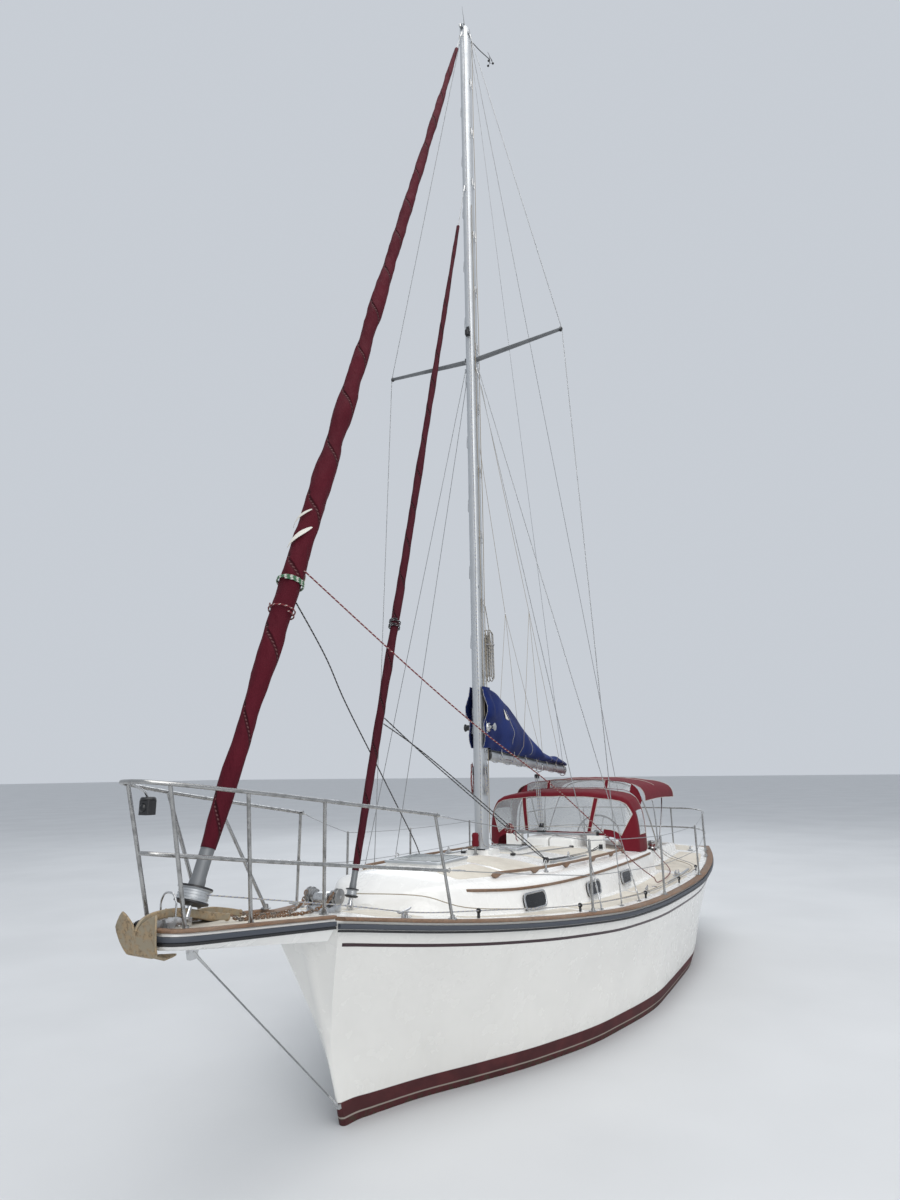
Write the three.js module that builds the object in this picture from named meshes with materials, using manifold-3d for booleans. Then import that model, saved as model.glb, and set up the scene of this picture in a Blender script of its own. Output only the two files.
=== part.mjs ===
// Long-keeled cutter-rigged sailing yacht, afloat, with its sails furled.
// Millimetres. +X forward, +Y to port, +Z up. The origin lies amidships on the centreline, at the waterline.
// Lengthways places are given as s, the distance aft of the stem head, because that is how a yacht is
// measured.
import * as THREE from "three";
import { mergeVertices } from "three/addons/utils/BufferGeometryUtils.js";
import Module from "manifold-3d";

const wasm = await Module();
wasm.setup();

// Driving dimensions
const LENGTH_ON_DECK = 9300;
const STEM_X = LENGTH_ON_DECK / 2;
const SEAT_GAP = 0.3;
const DRAFT = 1220;

const MAST_S = 3060;
const MAST_FORE_AFT = 195;
const MAST_WIDTH = 135;
const MAST_FOOT_Z = 1700;
const MAST_TOP_Z = 12950;
const MAST_SIDES = 20;
const SPREADER = { z: 7614, tipRise: 76, reach: 1200, width: 90, depth: 34 };

const GOOSENECK = { s: 3205, z: 2700, pinRadius: 8, earGap: 60, earThickness: 12 };
const BOOM = { length: 3790, start: 52, height: 120, width: 85, sides: 16, sideAngle: 5.7, droop: 2.6 };
const COLLAR = { lowZ: 2775, highZ: 3440 };
const MAST_WINCH = { s: 3070, z: 3000, radius: 46, reach: 165 };

const FORESTAY = { tackS: -1045, tackZ: 1700, headS: 2946, headZ: 12805, drumZ: 1752, rollZ: 2066 };
const INNER_STAY = { tackS: 618, tackZ: 1512, headS: 2946, headZ: 10192, drumZ: 1556, rollZ: 1752 };
const STAY_WIRE = 5;
const STAY_BORE = 11;

const PLATFORM = { tipS: -1320, tipZ: 1660, rootZ: 1530, tipDepth: 92, rootDepth: 150 };
const CABIN = { aftS: 6200, wall: 42, roof: 38, soleZ: -220, wellForeS: 2700, wellAftS: 6000, wellHalf: 800 };
const COCKPIT = { foreS: 6300, aftS: 8400, halfWidth: 900, seatZ: 930, coamingRise: 270, coamingWall: 90 };
const FOOTWELL = { foreS: 6380, aftS: 8150, halfWidth: 400, soleZ: 480 };
const LOCKER = { foreS: 6520, aftS: 7900, innerY: 500, outerY: 840, floorZ: 440, lid: 30, lap: 30 };
const COMPANIONWAY = { halfWidth: 250, foreS: 5760, sillZ: 1205, board: 22 };
const HATCH_SLIDE = { foreS: 5720, aftS: 6262, halfWidth: 300, runnerZ: 1562, thickness: 28 };
const SEA_HOOD = { foreS: 5120, aftS: 5830, halfWidth: 345, topZ: 1665, wall: 22 };
const TRAVELLER = { s: 5350, z: 1676, half: 620, width: 44, height: 26, padInnerY: 470, padOuterY: 690 };
const FORE_HATCH = { foreS: 1560, aftS: 2130, halfWidth: 285, seatZ: 1708, lid: 26, wall: 45, lap: 14 };
const MID_HATCH = { foreS: 3500, aftS: 3940, halfWidth: 220, seatZ: 1646, lid: 26, wall: 40, lap: 14 };
const PORTLIGHT = { length: 360, height: 150, depth: 64 };
const ENGINE = { foreS: 5060, aftS: 5860, halfWidth: 240, height: 560 };

const RUDDER = {
  heelS: 8155,
  heelZ: -1176,
  headZ: 60,
  tilt: 0.484,
  stockRadius: 28,
  pinRadius: 12,
  thickness: 54,
};
const PROPELLER = { s: 8150, z: -560, radius: 200, hubRadius: 34, hubLength: 90, shaftRadius: 14, blades: 3 };
const STERN_TUBE = { endS: 8040, radius: 26 };
const WHEEL = { s: 7420, z: 1440, radius: 370, rim: 13, hub: 44, spokes: 6 };
const STANCHION = { height: 655, inset: 42, radius: 12.5, places: [2500, 4300, 6200] };

// A lengthways place s as an x coordinate
const xOf = (s) => STEM_X - s;

// Straight-line interpolation in a table whose first column is the key
function lookUp(table, key, column) {
  const last = table.length - 1;
  if (key <= table[0][0]) return table[0][column];
  for (let i = 0; i < last; i += 1) {
    const [low, high] = [table[i], table[i + 1]];
    if (key <= high[0]) {
      const share = (key - low[0]) / (high[0] - low[0]);
      return low[column] + share * (high[column] - low[column]);
    }
  }
  return table[last][column];
}

// Sheer and plan of the gunwale. Columns: s, half-breadth, z
const GUNWALE = [
  [0, 315, 1515],
  [150, 372, 1492],
  [300, 455, 1469],
  [800, 735, 1396],
  [1400, 1012, 1322],
  [2200, 1325, 1247],
  [3200, 1592, 1180],
  [4500, 1700, 1130],
  [6000, 1750, 1115],
  [7200, 1690, 1128],
  [8300, 1560, 1158],
  [8900, 1446, 1182],
  [9300, 1360, 1200],
];
const gunwaleY = (s) => lookUp(GUNWALE, s, 1);
const gunwaleZ = (s) => lookUp(GUNWALE, s, 2);

// Hull sections below the gunwale.
// Columns: s, rake, mid y, mid z, waterline y, its z, bilge y, its z, bottom z
const SECTIONS = [
  [0, 560, 34, 620, 28, 0, 22, -60, -100],
  [150, 545, 92, 640, 52, 0, 36, -90, -140],
  [300, 510, 190, 650, 100, 0, 66, -110, -185],
  [800, 400, 440, 640, 275, 0, 170, -200, -320],
  [1400, 280, 735, 630, 560, 0, 370, -300, -460],
  [2200, 120, 1075, 620, 910, 0, 640, -390, -580],
  [3200, 0, 1385, 620, 1245, 0, 920, -450, -680],
  [4500, 0, 1590, 620, 1480, 0, 1120, -490, -740],
  [6000, 0, 1630, 620, 1495, 0, 1110, -460, -700],
  [7200, 0, 1535, 620, 1320, 0, 900, -340, -520],
  [8300, -40, 1335, 620, 940, 60, 560, -110, -220],
  [8900, -120, 1180, 640, 640, 180, 330, 50, -10],
  [9300, -230, 1060, 700, 600, 380, 300, 260, 200],
];

// Keel fin under the hull, up to the rudder. Columns: s, tilt, top y, top z, mid y, mid z, bottom y, bottom z
const FIN_END_S = RUDDER.heelS - RUDDER.tilt * (DRAFT + RUDDER.heelZ) - 48;
const FIN = [
  [700, 0, 55, -60, 42, -180, 30, -262],
  [1400, 0, 170, -200, 92, -430, 52, -600],
  [2200, 0, 330, -290, 132, -640, 72, -880],
  [3200, 0, 430, -340, 162, -790, 92, -1140],
  [3900, 0, 455, -350, 172, -860, 102, -DRAFT],
  [5200, 0, 450, -350, 165, -880, 102, -DRAFT],
  [6800, 0.1, 350, -290, 130, -800, 96, -DRAFT],
  [7600, 0.35, 190, -160, 84, -720, 74, -DRAFT],
  [FIN_END_S, RUDDER.tilt, 44, -130, 36, -700, 34, -DRAFT],
];

// Coachroof. Columns: s, base y, roof edge y, roof edge z, crown z
const TRUNK = [
  [845, 110, 70, 1462, 1478],
  [940, 345, 270, 1530, 1560],
  [1080, 545, 455, 1582, 1640],
  [1250, 665, 590, 1588, 1688],
  [1600, 805, 740, 1564, 1694],
  [2200, 962, 900, 1534, 1678],
  [3000, 1082, 1024, 1503, 1648],
  [4000, 1150, 1092, 1480, 1606],
  [5000, 1170, 1110, 1466, 1552],
  [CABIN.aftS, 1150, 1092, 1440, 1508],
];
const ROOF_STEPS = [1, 0.75, 0.5, 0.25, 0];

function roofZ(s, y) {
  const [edgeY, edgeZ, crownZ] = [2, 3, 4].map((column) => lookUp(TRUNK, s, column));
  const share = Math.min(Math.abs(y) / edgeY, 1);
  return crownZ - (crownZ - edgeZ) * share * share;
}

// Finishes. Columns of each: colour, roughness, metalness
const FINISHES = {
  gelcoat: [0xe9e6dc, 0.25, 0],
  antifouling: [0x4a1518, 0.8, 0],
  teak: [0x8a6a50, 0.75, 0],
  rubber: [0x5f6b7c, 0.5, 0],
  stainless: [0xc9ccce, 0.2, 1],
  alloy: [0xb9bdc0, 0.4, 1],
  galvanised: [0x9c8a68, 0.7, 0.4],
  wire: [0x9a9da0, 0.35, 1],
  sailcloth: [0x6e1423, 0.85, 0],
  cover: [0x1d3f8f, 0.85, 0],
  canvas: [0x7a1c2e, 0.85, 0],
  glazing: [0x2a3238, 0.15, 0],
  bronze: [0xa07a3c, 0.4, 1],
  iron: [0x7d8488, 0.6, 0.3],
};
const materials = Object.fromEntries(
  Object.entries(FINISHES).map(([name, [color, roughness, metalness]]) => [
    name,
    new THREE.MeshStandardMaterial({ name, color, roughness, metalness }),
  ]),
);

const yacht = new THREE.Group();
yacht.name = "sailing_yacht";

function place(name, geometry, finish, parent = yacht) {
  const mesh = new THREE.Mesh(geometry, materials[finish]);
  mesh.name = name;
  parent.add(mesh);
  return mesh;
}

// Joins and cuts. Every solid goes in and comes out as a BufferGeometry.
function toSolid(geometry) {
  const bare = geometry.clone();
  bare.deleteAttribute("normal");
  bare.deleteAttribute("uv");
  const merged = mergeVertices(bare, 1e-3);
  const vertProperties = new Float32Array(merged.attributes.position.array);
  const triVerts = new Uint32Array(merged.index.array);
  return new wasm.Manifold(new wasm.Mesh({ numProp: 3, vertProperties, triVerts }));
}

function toGeometry(solid) {
  const mesh = solid.getMesh();
  const geometry = new THREE.BufferGeometry();
  geometry.setAttribute("position", new THREE.BufferAttribute(mesh.vertProperties, 3));
  geometry.setIndex(new THREE.BufferAttribute(mesh.triVerts, 1));
  geometry.computeVertexNormals();
  return geometry;
}

function join(...geometries) {
  const solids = geometries.flat().map(toSolid);
  return toGeometry(solids.reduce((whole, solid) => whole.add(solid)));
}

function cut(geometry, ...tools) {
  const solids = tools.flat().map(toSolid);
  return toGeometry(solids.reduce((whole, solid) => whole.subtract(solid), toSolid(geometry)));
}

// The part of a piece that stands clear above its support, a seat gap away
function seatOn(geometry, support) {
  return cut(geometry, support.clone().translate(0, 0, SEAT_GAP));
}

// The part of a piece that lies outside its neighbours, a seat gap away above, below and ahead
function clearOf(geometry, ...neighbours) {
  const moves = [
    [0, 0, SEAT_GAP],
    [0, 0, -SEAT_GAP],
    [SEAT_GAP, 0, 0],
  ];
  return cut(
    geometry,
    neighbours.flatMap((neighbour) => moves.map((move) => neighbour.clone().translate(...move))),
  );
}

// A skin over closed rings of equally many points, with both ends capped
function loft(rings) {
  const count = rings[0].length;
  const points = rings.flat();
  const index = [];
  for (let r = 0; r + 1 < rings.length; r += 1) {
    for (let i = 0; i < count; i += 1) {
      const [a, b] = [r * count + i, r * count + ((i + 1) % count)];
      index.push(a, b, b + count, a, b + count, a + count);
    }
  }
  const centres = [rings[0], rings[rings.length - 1]].map((ring) =>
    ring.reduce((sum, point) => sum.add(point), new THREE.Vector3()).divideScalar(count),
  );
  const first = points.length;
  const lastRing = (rings.length - 1) * count;
  for (let i = 0; i < count; i += 1) {
    const next = (i + 1) % count;
    index.push(first, next, i, first + 1, lastRing + i, lastRing + next);
  }
  const geometry = new THREE.BufferGeometry().setFromPoints([...points, ...centres]);
  geometry.setIndex(index);
  geometry.computeVertexNormals();
  const solid = toSolid(geometry);
  if (solid.volume() >= 0) return geometry;
  for (let i = 0; i < index.length; i += 3) [index[i], index[i + 1]] = [index[i + 1], index[i]];
  geometry.setIndex(index);
  geometry.computeVertexNormals();
  return geometry;
}

// Boxes, rods and tubes by their places
function block(sFore, sAft, yLow, yHigh, zLow, zHigh) {
  const geometry = new THREE.BoxGeometry(sAft - sFore, yHigh - yLow, zHigh - zLow);
  return geometry.translate(xOf((sFore + sAft) / 2), (yLow + yHigh) / 2, (zLow + zHigh) / 2);
}

const at = (s, y, z) => new THREE.Vector3(xOf(s), y, z);

function rod(from, to, radius, sides = 8, radiusAtEnd = radius) {
  const along = new THREE.Vector3().subVectors(to, from);
  const geometry = new THREE.CylinderGeometry(radiusAtEnd, radius, along.length(), sides);
  const turn = new THREE.Quaternion().setFromUnitVectors(
    new THREE.Vector3(0, 1, 0),
    along.clone().normalize(),
  );
  return geometry.applyQuaternion(turn).translate(...from.clone().add(to).divideScalar(2).toArray());
}

function circle(radius, sides) {
  const shape = new THREE.Shape();
  for (let i = 0; i < sides; i += 1) {
    const angle = (2 * Math.PI * i) / sides;
    shape[i ? "lineTo" : "moveTo"](radius * Math.cos(angle), radius * Math.sin(angle));
  }
  return shape;
}

function tube(points, radius, steps = 16, sides = 8, tension = 0.5) {
  const path = new THREE.CatmullRomCurve3(points, false, "catmullrom", tension);
  return new THREE.ExtrudeGeometry(circle(radius, sides), {
    steps,
    curveSegments: 1,
    bevelEnabled: false,
    extrudePath: path,
  });
}

// An upright plate cut to an outline in s and z
function profilePlate(outline, thickness) {
  const shape = new THREE.Shape(outline.map(([s, z]) => new THREE.Vector2(xOf(s), z)));
  const geometry = new THREE.ExtrudeGeometry(shape, { depth: thickness, bevelEnabled: false });
  return geometry.rotateX(Math.PI / 2).translate(0, thickness / 2, 0);
}

const mirrorY = (points) => points.map((point) => new THREE.Vector3(point.x, -point.y, point.z));

// A closed ring from its port half, which runs from top to bottom on the centreline
function wholeRing(half) {
  const starboard = mirrorY(half).reverse();
  const sharesBottom = Math.abs(half[half.length - 1].y) < 1e-6;
  const sharesTop = Math.abs(half[0].y) < 1e-6;
  return [...half, ...starboard.slice(sharesBottom ? 1 : 0, sharesTop ? -1 : undefined)];
}

// Hull
const SECTION_STEPS = 9;
const STEM_KNUCKLE_Z = 1345;

function hullRing([s, rake, midY, midZ, waterY, waterZ, bilgeY, bilgeZ, bottomZ]) {
  const topZ = gunwaleZ(s);
  const lower = [
    [midY, midZ],
    [waterY, waterZ],
    [bilgeY, bilgeZ],
    [0, bottomZ],
  ];
  const atStem = s === 0;
  const start = atStem ? [70, STEM_KNUCKLE_Z] : [gunwaleY(s), topZ];
  const flare = atStem
    ? [
        [gunwaleY(s), topZ],
        [gunwaleY(s) - 30, 1392],
      ]
    : [];
  const spline = new THREE.SplineCurve([start, ...lower].map(([y, z]) => new THREE.Vector2(y, z)));
  const half = [
    ...flare.map(([y, z]) => new THREE.Vector2(y, z)),
    ...spline.getPoints(SECTION_STEPS - flare.length),
  ];
  half[half.length - 1].x = 0;
  const rakeFromZ = atStem ? STEM_KNUCKLE_Z : topZ;
  const points = half.map(({ x: y, y: z }) => at(s + (rake * Math.max(0, rakeFromZ - z)) / rakeFromZ, y, z));
  return [at(s, 0, topZ), ...wholeRing(points)];
}

function finRing([s, tilt, topY, topZ, midY, midZ, bottomY, bottomZ]) {
  const corners = [
    [topY, topZ],
    [midY, midZ],
    [bottomY, bottomZ],
  ];
  return wholeRing(corners.map(([y, z]) => at(s + tilt * (z + DRAFT), y, z)));
}

function rudderAxisPoint(z) {
  return at(RUDDER.heelS + RUDDER.tilt * (z - RUDDER.heelZ), 0, z);
}

// A block on the port side and its mirror image to starboard
function blockPair(sFore, sAft, yInner, yOuter, zLow, zHigh) {
  return [block(sFore, sAft, yInner, yOuter, zLow, zHigh), block(sFore, sAft, -yOuter, -yInner, zLow, zHigh)];
}

const HEEL_STRAP = { foreS: 7980, aftS: 8190, half: 24, pinRoom: 0.6 };
const APERTURE = { foreS: 8000, aftS: 8720, half: 130, below: 262, above: 250 };
const FOREPEAK = { foreS: 1500, half: 430, soleZ: 560 };
const OVER_DECK_Z = 1900;
// The cockpit moulding drops into one plain well in the hull
const LINER = { foreS: 6200, aftS: 8500, half: 1000, lowZ: 400 };

function linerSolid(gap) {
  const stations = [LINER.foreS + gap, 7200, 8300, LINER.aftS - gap];
  const half = LINER.half - gap;
  const rings = stations.map((s) => [
    at(s, half, LINER.lowZ + gap),
    at(s, half, gunwaleZ(s)),
    at(s, -half, gunwaleZ(s)),
    at(s, -half, LINER.lowZ + gap),
  ]);
  return loft(rings);
}

function buildHullParts() {
  const canoeBody = loft(SECTIONS.map(hullRing));
  const stockTunnel = rod(
    rudderAxisPoint(-330),
    rudderAxisPoint(RUDDER.headZ + 8),
    RUDDER.stockRadius + 8,
    16,
  );
  const { wellForeS, wellAftS, wellHalf, soleZ } = CABIN;
  const wells = [
    block(wellForeS, wellAftS, -wellHalf, wellHalf, soleZ, OVER_DECK_Z),
    block(FOREPEAK.foreS, wellForeS + 1, -FOREPEAK.half, FOREPEAK.half, FOREPEAK.soleZ, OVER_DECK_Z),
    block(LINER.foreS, LINER.aftS, -LINER.half, LINER.half, LINER.lowZ, OVER_DECK_Z),
  ];
  return { hull: cut(canoeBody, stockTunnel, wells), keel: buildKeel(canoeBody, stockTunnel) };
}

// Long keel: the fin with its propeller aperture, the heel strap that carries the rudder, and the stern tube
function buildKeel(canoeBody, stockTunnel) {
  const { foreS, aftS, half, below, above } = APERTURE;
  const aperture = block(foreS, aftS, -half, half, PROPELLER.z - below, PROPELLER.z + above);
  const fin = cut(loft(FIN.map(finRing)), aperture, stockTunnel);
  const { foreS: strapFore, aftS: strapAft, half: strapHalf, pinRoom } = HEEL_STRAP;
  const strap = cut(
    block(strapFore, strapAft, -strapHalf, strapHalf, -DRAFT, RUDDER.heelZ),
    rod(
      rudderAxisPoint(RUDDER.heelZ - 80),
      rudderAxisPoint(RUDDER.heelZ + 60),
      RUDDER.pinRadius + pinRoom,
      24,
    ),
  );
  const sternTube = rod(at(7800, 0, PROPELLER.z), at(STERN_TUBE.endS, 0, PROPELLER.z), STERN_TUBE.radius, 12);
  return clearOf(join(fin, strap, sternTube), canoeBody);
}

// Seats, footwell and locker bins in one moulding
function buildCockpit() {
  const { foreS, aftS, halfWidth, seatZ } = COCKPIT;
  return cut(
    linerSolid(SEAT_GAP),
    block(foreS, aftS, -halfWidth, halfWidth, seatZ, OVER_DECK_Z),
    block(
      FOOTWELL.foreS,
      FOOTWELL.aftS,
      -FOOTWELL.halfWidth,
      FOOTWELL.halfWidth,
      FOOTWELL.soleZ,
      OVER_DECK_Z,
    ),
    ...blockPair(LOCKER.foreS, LOCKER.aftS, LOCKER.innerY, LOCKER.outerY, LOCKER.floorZ, seatZ + 1),
  );
}

// Deck, coachroof and cockpit coamings: one moulding
const DECK = { inset: 78, edge: 20, crown: 66, fullHalf: 1670, foreS: 60, aftS: 9215 };

function deckTopZ(s, y) {
  const halfWidth = gunwaleY(s) - DECK.inset;
  const crown = (DECK.crown * halfWidth) / DECK.fullHalf;
  return gunwaleZ(s) + DECK.edge + crown * (1 - (y / halfWidth) ** 2);
}

function deckRing(s) {
  const halfWidth = gunwaleY(s) - DECK.inset;
  const underside = gunwaleZ(s) + SEAT_GAP;
  const half = ROOF_STEPS.map((step) => at(s, halfWidth * step, deckTopZ(s, halfWidth * step))).reverse();
  return [
    ...half,
    at(s, halfWidth, underside),
    at(s, -halfWidth, underside),
    ...mirrorY(half.slice(1)).reverse(),
  ];
}

function trunkRing([s, baseY, edgeY, edgeZ, crownZ], inset, drop, floor) {
  const wallTop = edgeY - inset;
  const half = ROOF_STEPS.map(
    (step) => at(s, wallTop * step, crownZ - drop - (crownZ - edgeZ) * step * step),
  ).reverse();
  const baseZ = floor === undefined ? gunwaleZ(s) + SEAT_GAP : floor;
  return [
    ...half,
    at(s, baseY - inset, baseZ),
    at(s, inset - baseY, baseZ),
    ...mirrorY(half.slice(1)).reverse(),
  ];
}

function trunkSolid(inset, drop, floor, sFore, sAft) {
  const inside = TRUNK.filter(([s]) => s > sFore && s < sAft);
  const stationAt = (s) => [s, ...[1, 2, 3, 4].map((column) => lookUp(TRUNK, s, column))];
  return loft(
    [stationAt(sFore), ...inside, stationAt(sAft)].map((row) => trunkRing(row, inset, drop, floor)),
  );
}

// Places of the portlights on the coachroof side
const PORTLIGHT_ROWS = [
  { s: 2170, z: 1368 },
  { s: 3430, z: 1312 },
  { s: 4560, z: 1286 },
];

function portlightBox(row, side, grow) {
  const { length, height, depth } = PORTLIGHT;
  const [baseY, edgeY, edgeZ] = [1, 2, 3].map((column) => lookUp(TRUNK, row.s, column));
  const reach = length / 2;
  const sweep = Math.atan2(lookUp(TRUNK, row.s + reach, 1) - lookUp(TRUNK, row.s - reach, 1), length);
  const rise = edgeZ - gunwaleZ(row.s);
  const lean = Math.atan2(baseY - edgeY, rise);
  const share = (row.z - gunwaleZ(row.s)) / rise;
  const y = baseY + share * (edgeY - baseY) - CABIN.wall / 2;
  const cutThrough = grow > 0 ? 60 : 0;
  const geometry = new THREE.BoxGeometry(length + grow, depth + cutThrough, height + grow);
  geometry.rotateX(side * lean).rotateZ(-side * sweep);
  return geometry.translate(xOf(row.s), side * y, row.z);
}

function hatchHole({ foreS, aftS, halfWidth, wall }) {
  return block(foreS + wall, aftS - wall, -halfWidth + wall, halfWidth - wall, 1400, OVER_DECK_Z);
}

function hatchCoaming(spec) {
  const { foreS, aftS, halfWidth, seatZ } = spec;
  return block(foreS, aftS, -halfWidth, halfWidth, seatZ - 62, seatZ);
}

const RUNNER = { inner: 262, outer: 290 };
const MAST_STEP = { fore: 140, aft: 200, half: 125 };

function buildDeckParts() {
  const stations = GUNWALE.map(([s]) => s).filter((s) => s > DECK.foreS && s < DECK.aftS);
  const deck = loft([DECK.foreS, ...stations, DECK.aftS].map(deckRing));
  const trunk = trunkSolid(0, 0, undefined, TRUNK[0][0] + 1, CABIN.aftS);
  const [coamingFore, coamingAft] = [COCKPIT.foreS - 100, COCKPIT.aftS + COCKPIT.coamingWall];
  const coaming = loft(
    [coamingFore, 7300, coamingAft].map((s) => {
      const half = COCKPIT.halfWidth + COCKPIT.coamingWall;
      const [low, high] = [gunwaleZ(s) + SEAT_GAP, coamingTopZ(s)];
      return [at(s, half, low), at(s, -half, low), at(s, 40 - half, high), at(s, half - 40, high)];
    }),
  );
  return join(deck, trunk, coaming);
}

const coamingTopZ = (s) => gunwaleZ(s) + COCKPIT.coamingRise - (s - COCKPIT.foreS) * 0.05;

function buildDeckMoulding(outside) {
  const inside = trunkSolid(CABIN.wall, CABIN.roof, 1000, 1130, CABIN.aftS - CABIN.wall);
  const cockpit = block(COCKPIT.foreS, COCKPIT.aftS, -COCKPIT.halfWidth, COCKPIT.halfWidth, 900, OVER_DECK_Z);
  const runners = blockPair(
    SEA_HOOD.foreS + 50,
    CABIN.aftS,
    RUNNER.inner,
    RUNNER.outer,
    1490,
    HATCH_SLIDE.runnerZ,
  );
  const pads = blockPair(
    TRAVELLER.s - 45,
    TRAVELLER.s + 45,
    TRAVELLER.padInnerY,
    TRAVELLER.padOuterY,
    1470,
    TRAVELLER.z - SEAT_GAP,
  );
  const step = block(
    MAST_S - MAST_STEP.fore,
    MAST_S + MAST_STEP.aft,
    -MAST_STEP.half,
    MAST_STEP.half,
    1620,
    MAST_FOOT_Z - SEAT_GAP,
  );
  const hatches = [FORE_HATCH, MID_HATCH];
  const shell = cut(outside, inside, cockpit);
  const fittings = join(shell, runners, pads, step, hatches.map(hatchCoaming));
  const { halfWidth, foreS, sillZ } = COMPANIONWAY;
  const doorway = block(CABIN.aftS - 100, COCKPIT.foreS + 10, -halfWidth, halfWidth, sillZ, OVER_DECK_Z);
  const roofSlot = block(foreS, CABIN.aftS + 10, -halfWidth, halfWidth, 1400, OVER_DECK_Z);
  const windows = PORTLIGHT_ROWS.flatMap(
    (row) => [1, -1].map((side) => portlightBox(row, side, 2 * SEAT_GAP)),
  );
  return cut(fittings, hatches.map(hatchHole), doorway, roofSlot, windows);
}

// Bow platform, rubbing rail and cap rails. Platform columns: s, half-breadth
const PLATFORM_PLAN = [
  [PLATFORM.tipS, 110],
  [-1280, 168],
  [-1200, 202],
  [-900, 235],
  [-400, 276],
  [-SEAT_GAP, 315],
];

const platformTopZ = (s) => PLATFORM.rootZ + (s / PLATFORM.tipS) * (PLATFORM.tipZ - PLATFORM.rootZ);

function buildPlatform() {
  const rings = PLATFORM_PLAN.map(([s, half]) => {
    const top = platformTopZ(s);
    const depth = PLATFORM.rootDepth + (s / PLATFORM.tipS) * (PLATFORM.tipDepth - PLATFORM.rootDepth);
    const port = [
      [half, top],
      [half, top - 75],
      [half - 60, top - depth],
    ].map(([y, z]) => at(s, y, z));
    return [...port, ...mirrorY(port).reverse()];
  });
  return loft(rings);
}

const BELT = { out: 26, height: 62, below: 14 };

// Section of the rubbing rail. Columns: distance out, height
const BELT_SECTION = [
  [2 * SEAT_GAP, 0],
  [BELT.out, -8],
  [BELT.out, 8 - BELT.height],
  [2 * SEAT_GAP + 3, -BELT.height],
];

function buildRubRail() {
  const hullPart = GUNWALE.map(([s, y, z]) => ({ s, y, z: z - BELT.below })).reverse();
  const bowPart = PLATFORM_PLAN.slice(0, -1)
    .map(([s, y]) => ({ s, y, z: platformTopZ(s) - BELT.below }))
    .reverse();
  const stations = [...hullPart, ...bowPart];
  const port = stations.map(({ s, y, z }, i) => {
    const [before, after] = [stations[Math.max(i - 1, 0)], stations[Math.min(i + 1, stations.length - 1)]];
    const run = new THREE.Vector2(before.s - after.s, after.y - before.y).normalize();
    return BELT_SECTION.map(([off, dz]) => new THREE.Vector3(xOf(s) - run.y * off, y + run.x * off, z + dz));
  });
  const nose = BELT_SECTION.map(([off, dz]) => at(PLATFORM.tipS - off, 0, PLATFORM.tipZ - BELT.below + dz));
  return loft([...port, nose, ...port.map(mirrorY).reverse()]);
}

// Section of the cap rail. Columns: distance out from the gunwale, height
const CAP_SECTION = [
  [22, 0],
  [22, 26],
  [10, 34],
  [-62, 34],
  [-70, 26],
  [-70, 0],
];
const CAP_TOP = 34 + SEAT_GAP;

function buildCapRail(side) {
  const rail = loft(
    GUNWALE.map(([s, y, z]) =>
      CAP_SECTION.map(([out, rise]) => at(Math.max(s, 2 * SEAT_GAP), side * (y + out), z + SEAT_GAP + rise)),
    ),
  );
  const { height, inset, radius, places } = STANCHION;
  const posts = places.map((s) => {
    const y = side * (gunwaleY(s) - inset);
    return rod(at(s, y, gunwaleZ(s) + 20), at(s, y, gunwaleZ(s) + height), radius, 8);
  });
  return join(rail, posts);
}

// Ground tackle. Outlines of the plates of a plough's port share. Columns: s, y, z
const BOWER_SHARE = [
  [
    [-1105, 0, 1495],
    [-1236, 56, 1502],
    [-1352, 116, 1542],
    [-1382, -4, 1560],
    [-1240, -4, 1516],
  ],
  [
    [-1352, 116, 1538],
    [-1386, 143, 1606],
    [-1412, 163, 1692],
    [-1394, 138, 1772],
    [-1406, 40, 1716],
    [-1406, -4, 1655],
    [-1382, -4, 1554],
  ],
];
const SECOND_SHARE = [
  [
    [-620, 0, 1594],
    [-770, 56, 1620],
    [-915, 88, 1668],
    [-1012, 92, 1712],
    [-1016, 20, 1676],
    [-1000, -4, 1652],
  ],
];
const BOWER_SHANK = [
  [-1402, 0, 1646],
  [-1403, 20, 1733],
  [-1110, 42, 1706],
  [-640, 46, 1606],
];
const SECOND_SHANK = [
  [-900, 0, 1652],
  [-700, 0, 1668],
  [-430, 0, 1606],
];
const SHARE_THICKNESS = 9;

// A plate through an outline that need not be quite flat
function plateThrough(outline, thickness) {
  const normal = outline.reduce((sum, point, i) => {
    const next = outline[(i + 1) % outline.length];
    return sum.add(new THREE.Vector3().crossVectors(point, next));
  }, new THREE.Vector3());
  const shift = normal.normalize().multiplyScalar(thickness / 2);
  return loft([-1, 1].map((face) => outline.map((point) => point.clone().addScaledVector(shift, face))));
}

function ploughAnchor(share, shank, y) {
  const shares = [1, -1].flatMap((side) =>
    share.map(
      (outline) => plateThrough(outline.map(([s, out, z]) => at(s, y + side * out, z)), SHARE_THICKNESS),
    ),
  );
  const bar = tube(shank.map(([s, out, z]) => at(s, y + out, z)), 12, 10, 6, 0.25);
  return join(shares, bar);
}

const ROLLER = {
  foreS: -1376,
  aftS: -1130,
  half: 66,
  cheek: 8,
  lowZ: 1648,
  topZ: 1722,
  axleS: -1350,
  axleZ: 1698,
  radius: 24,
};

// Hoop over the roller. Columns: half-breadth, z
const ROLLER_BAIL = [
  [62, 1690],
  [60, 1800],
  [30, 1845],
  [-30, 1845],
  [-60, 1800],
  [-62, 1690],
];
const BAIL_S = -1190;

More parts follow.
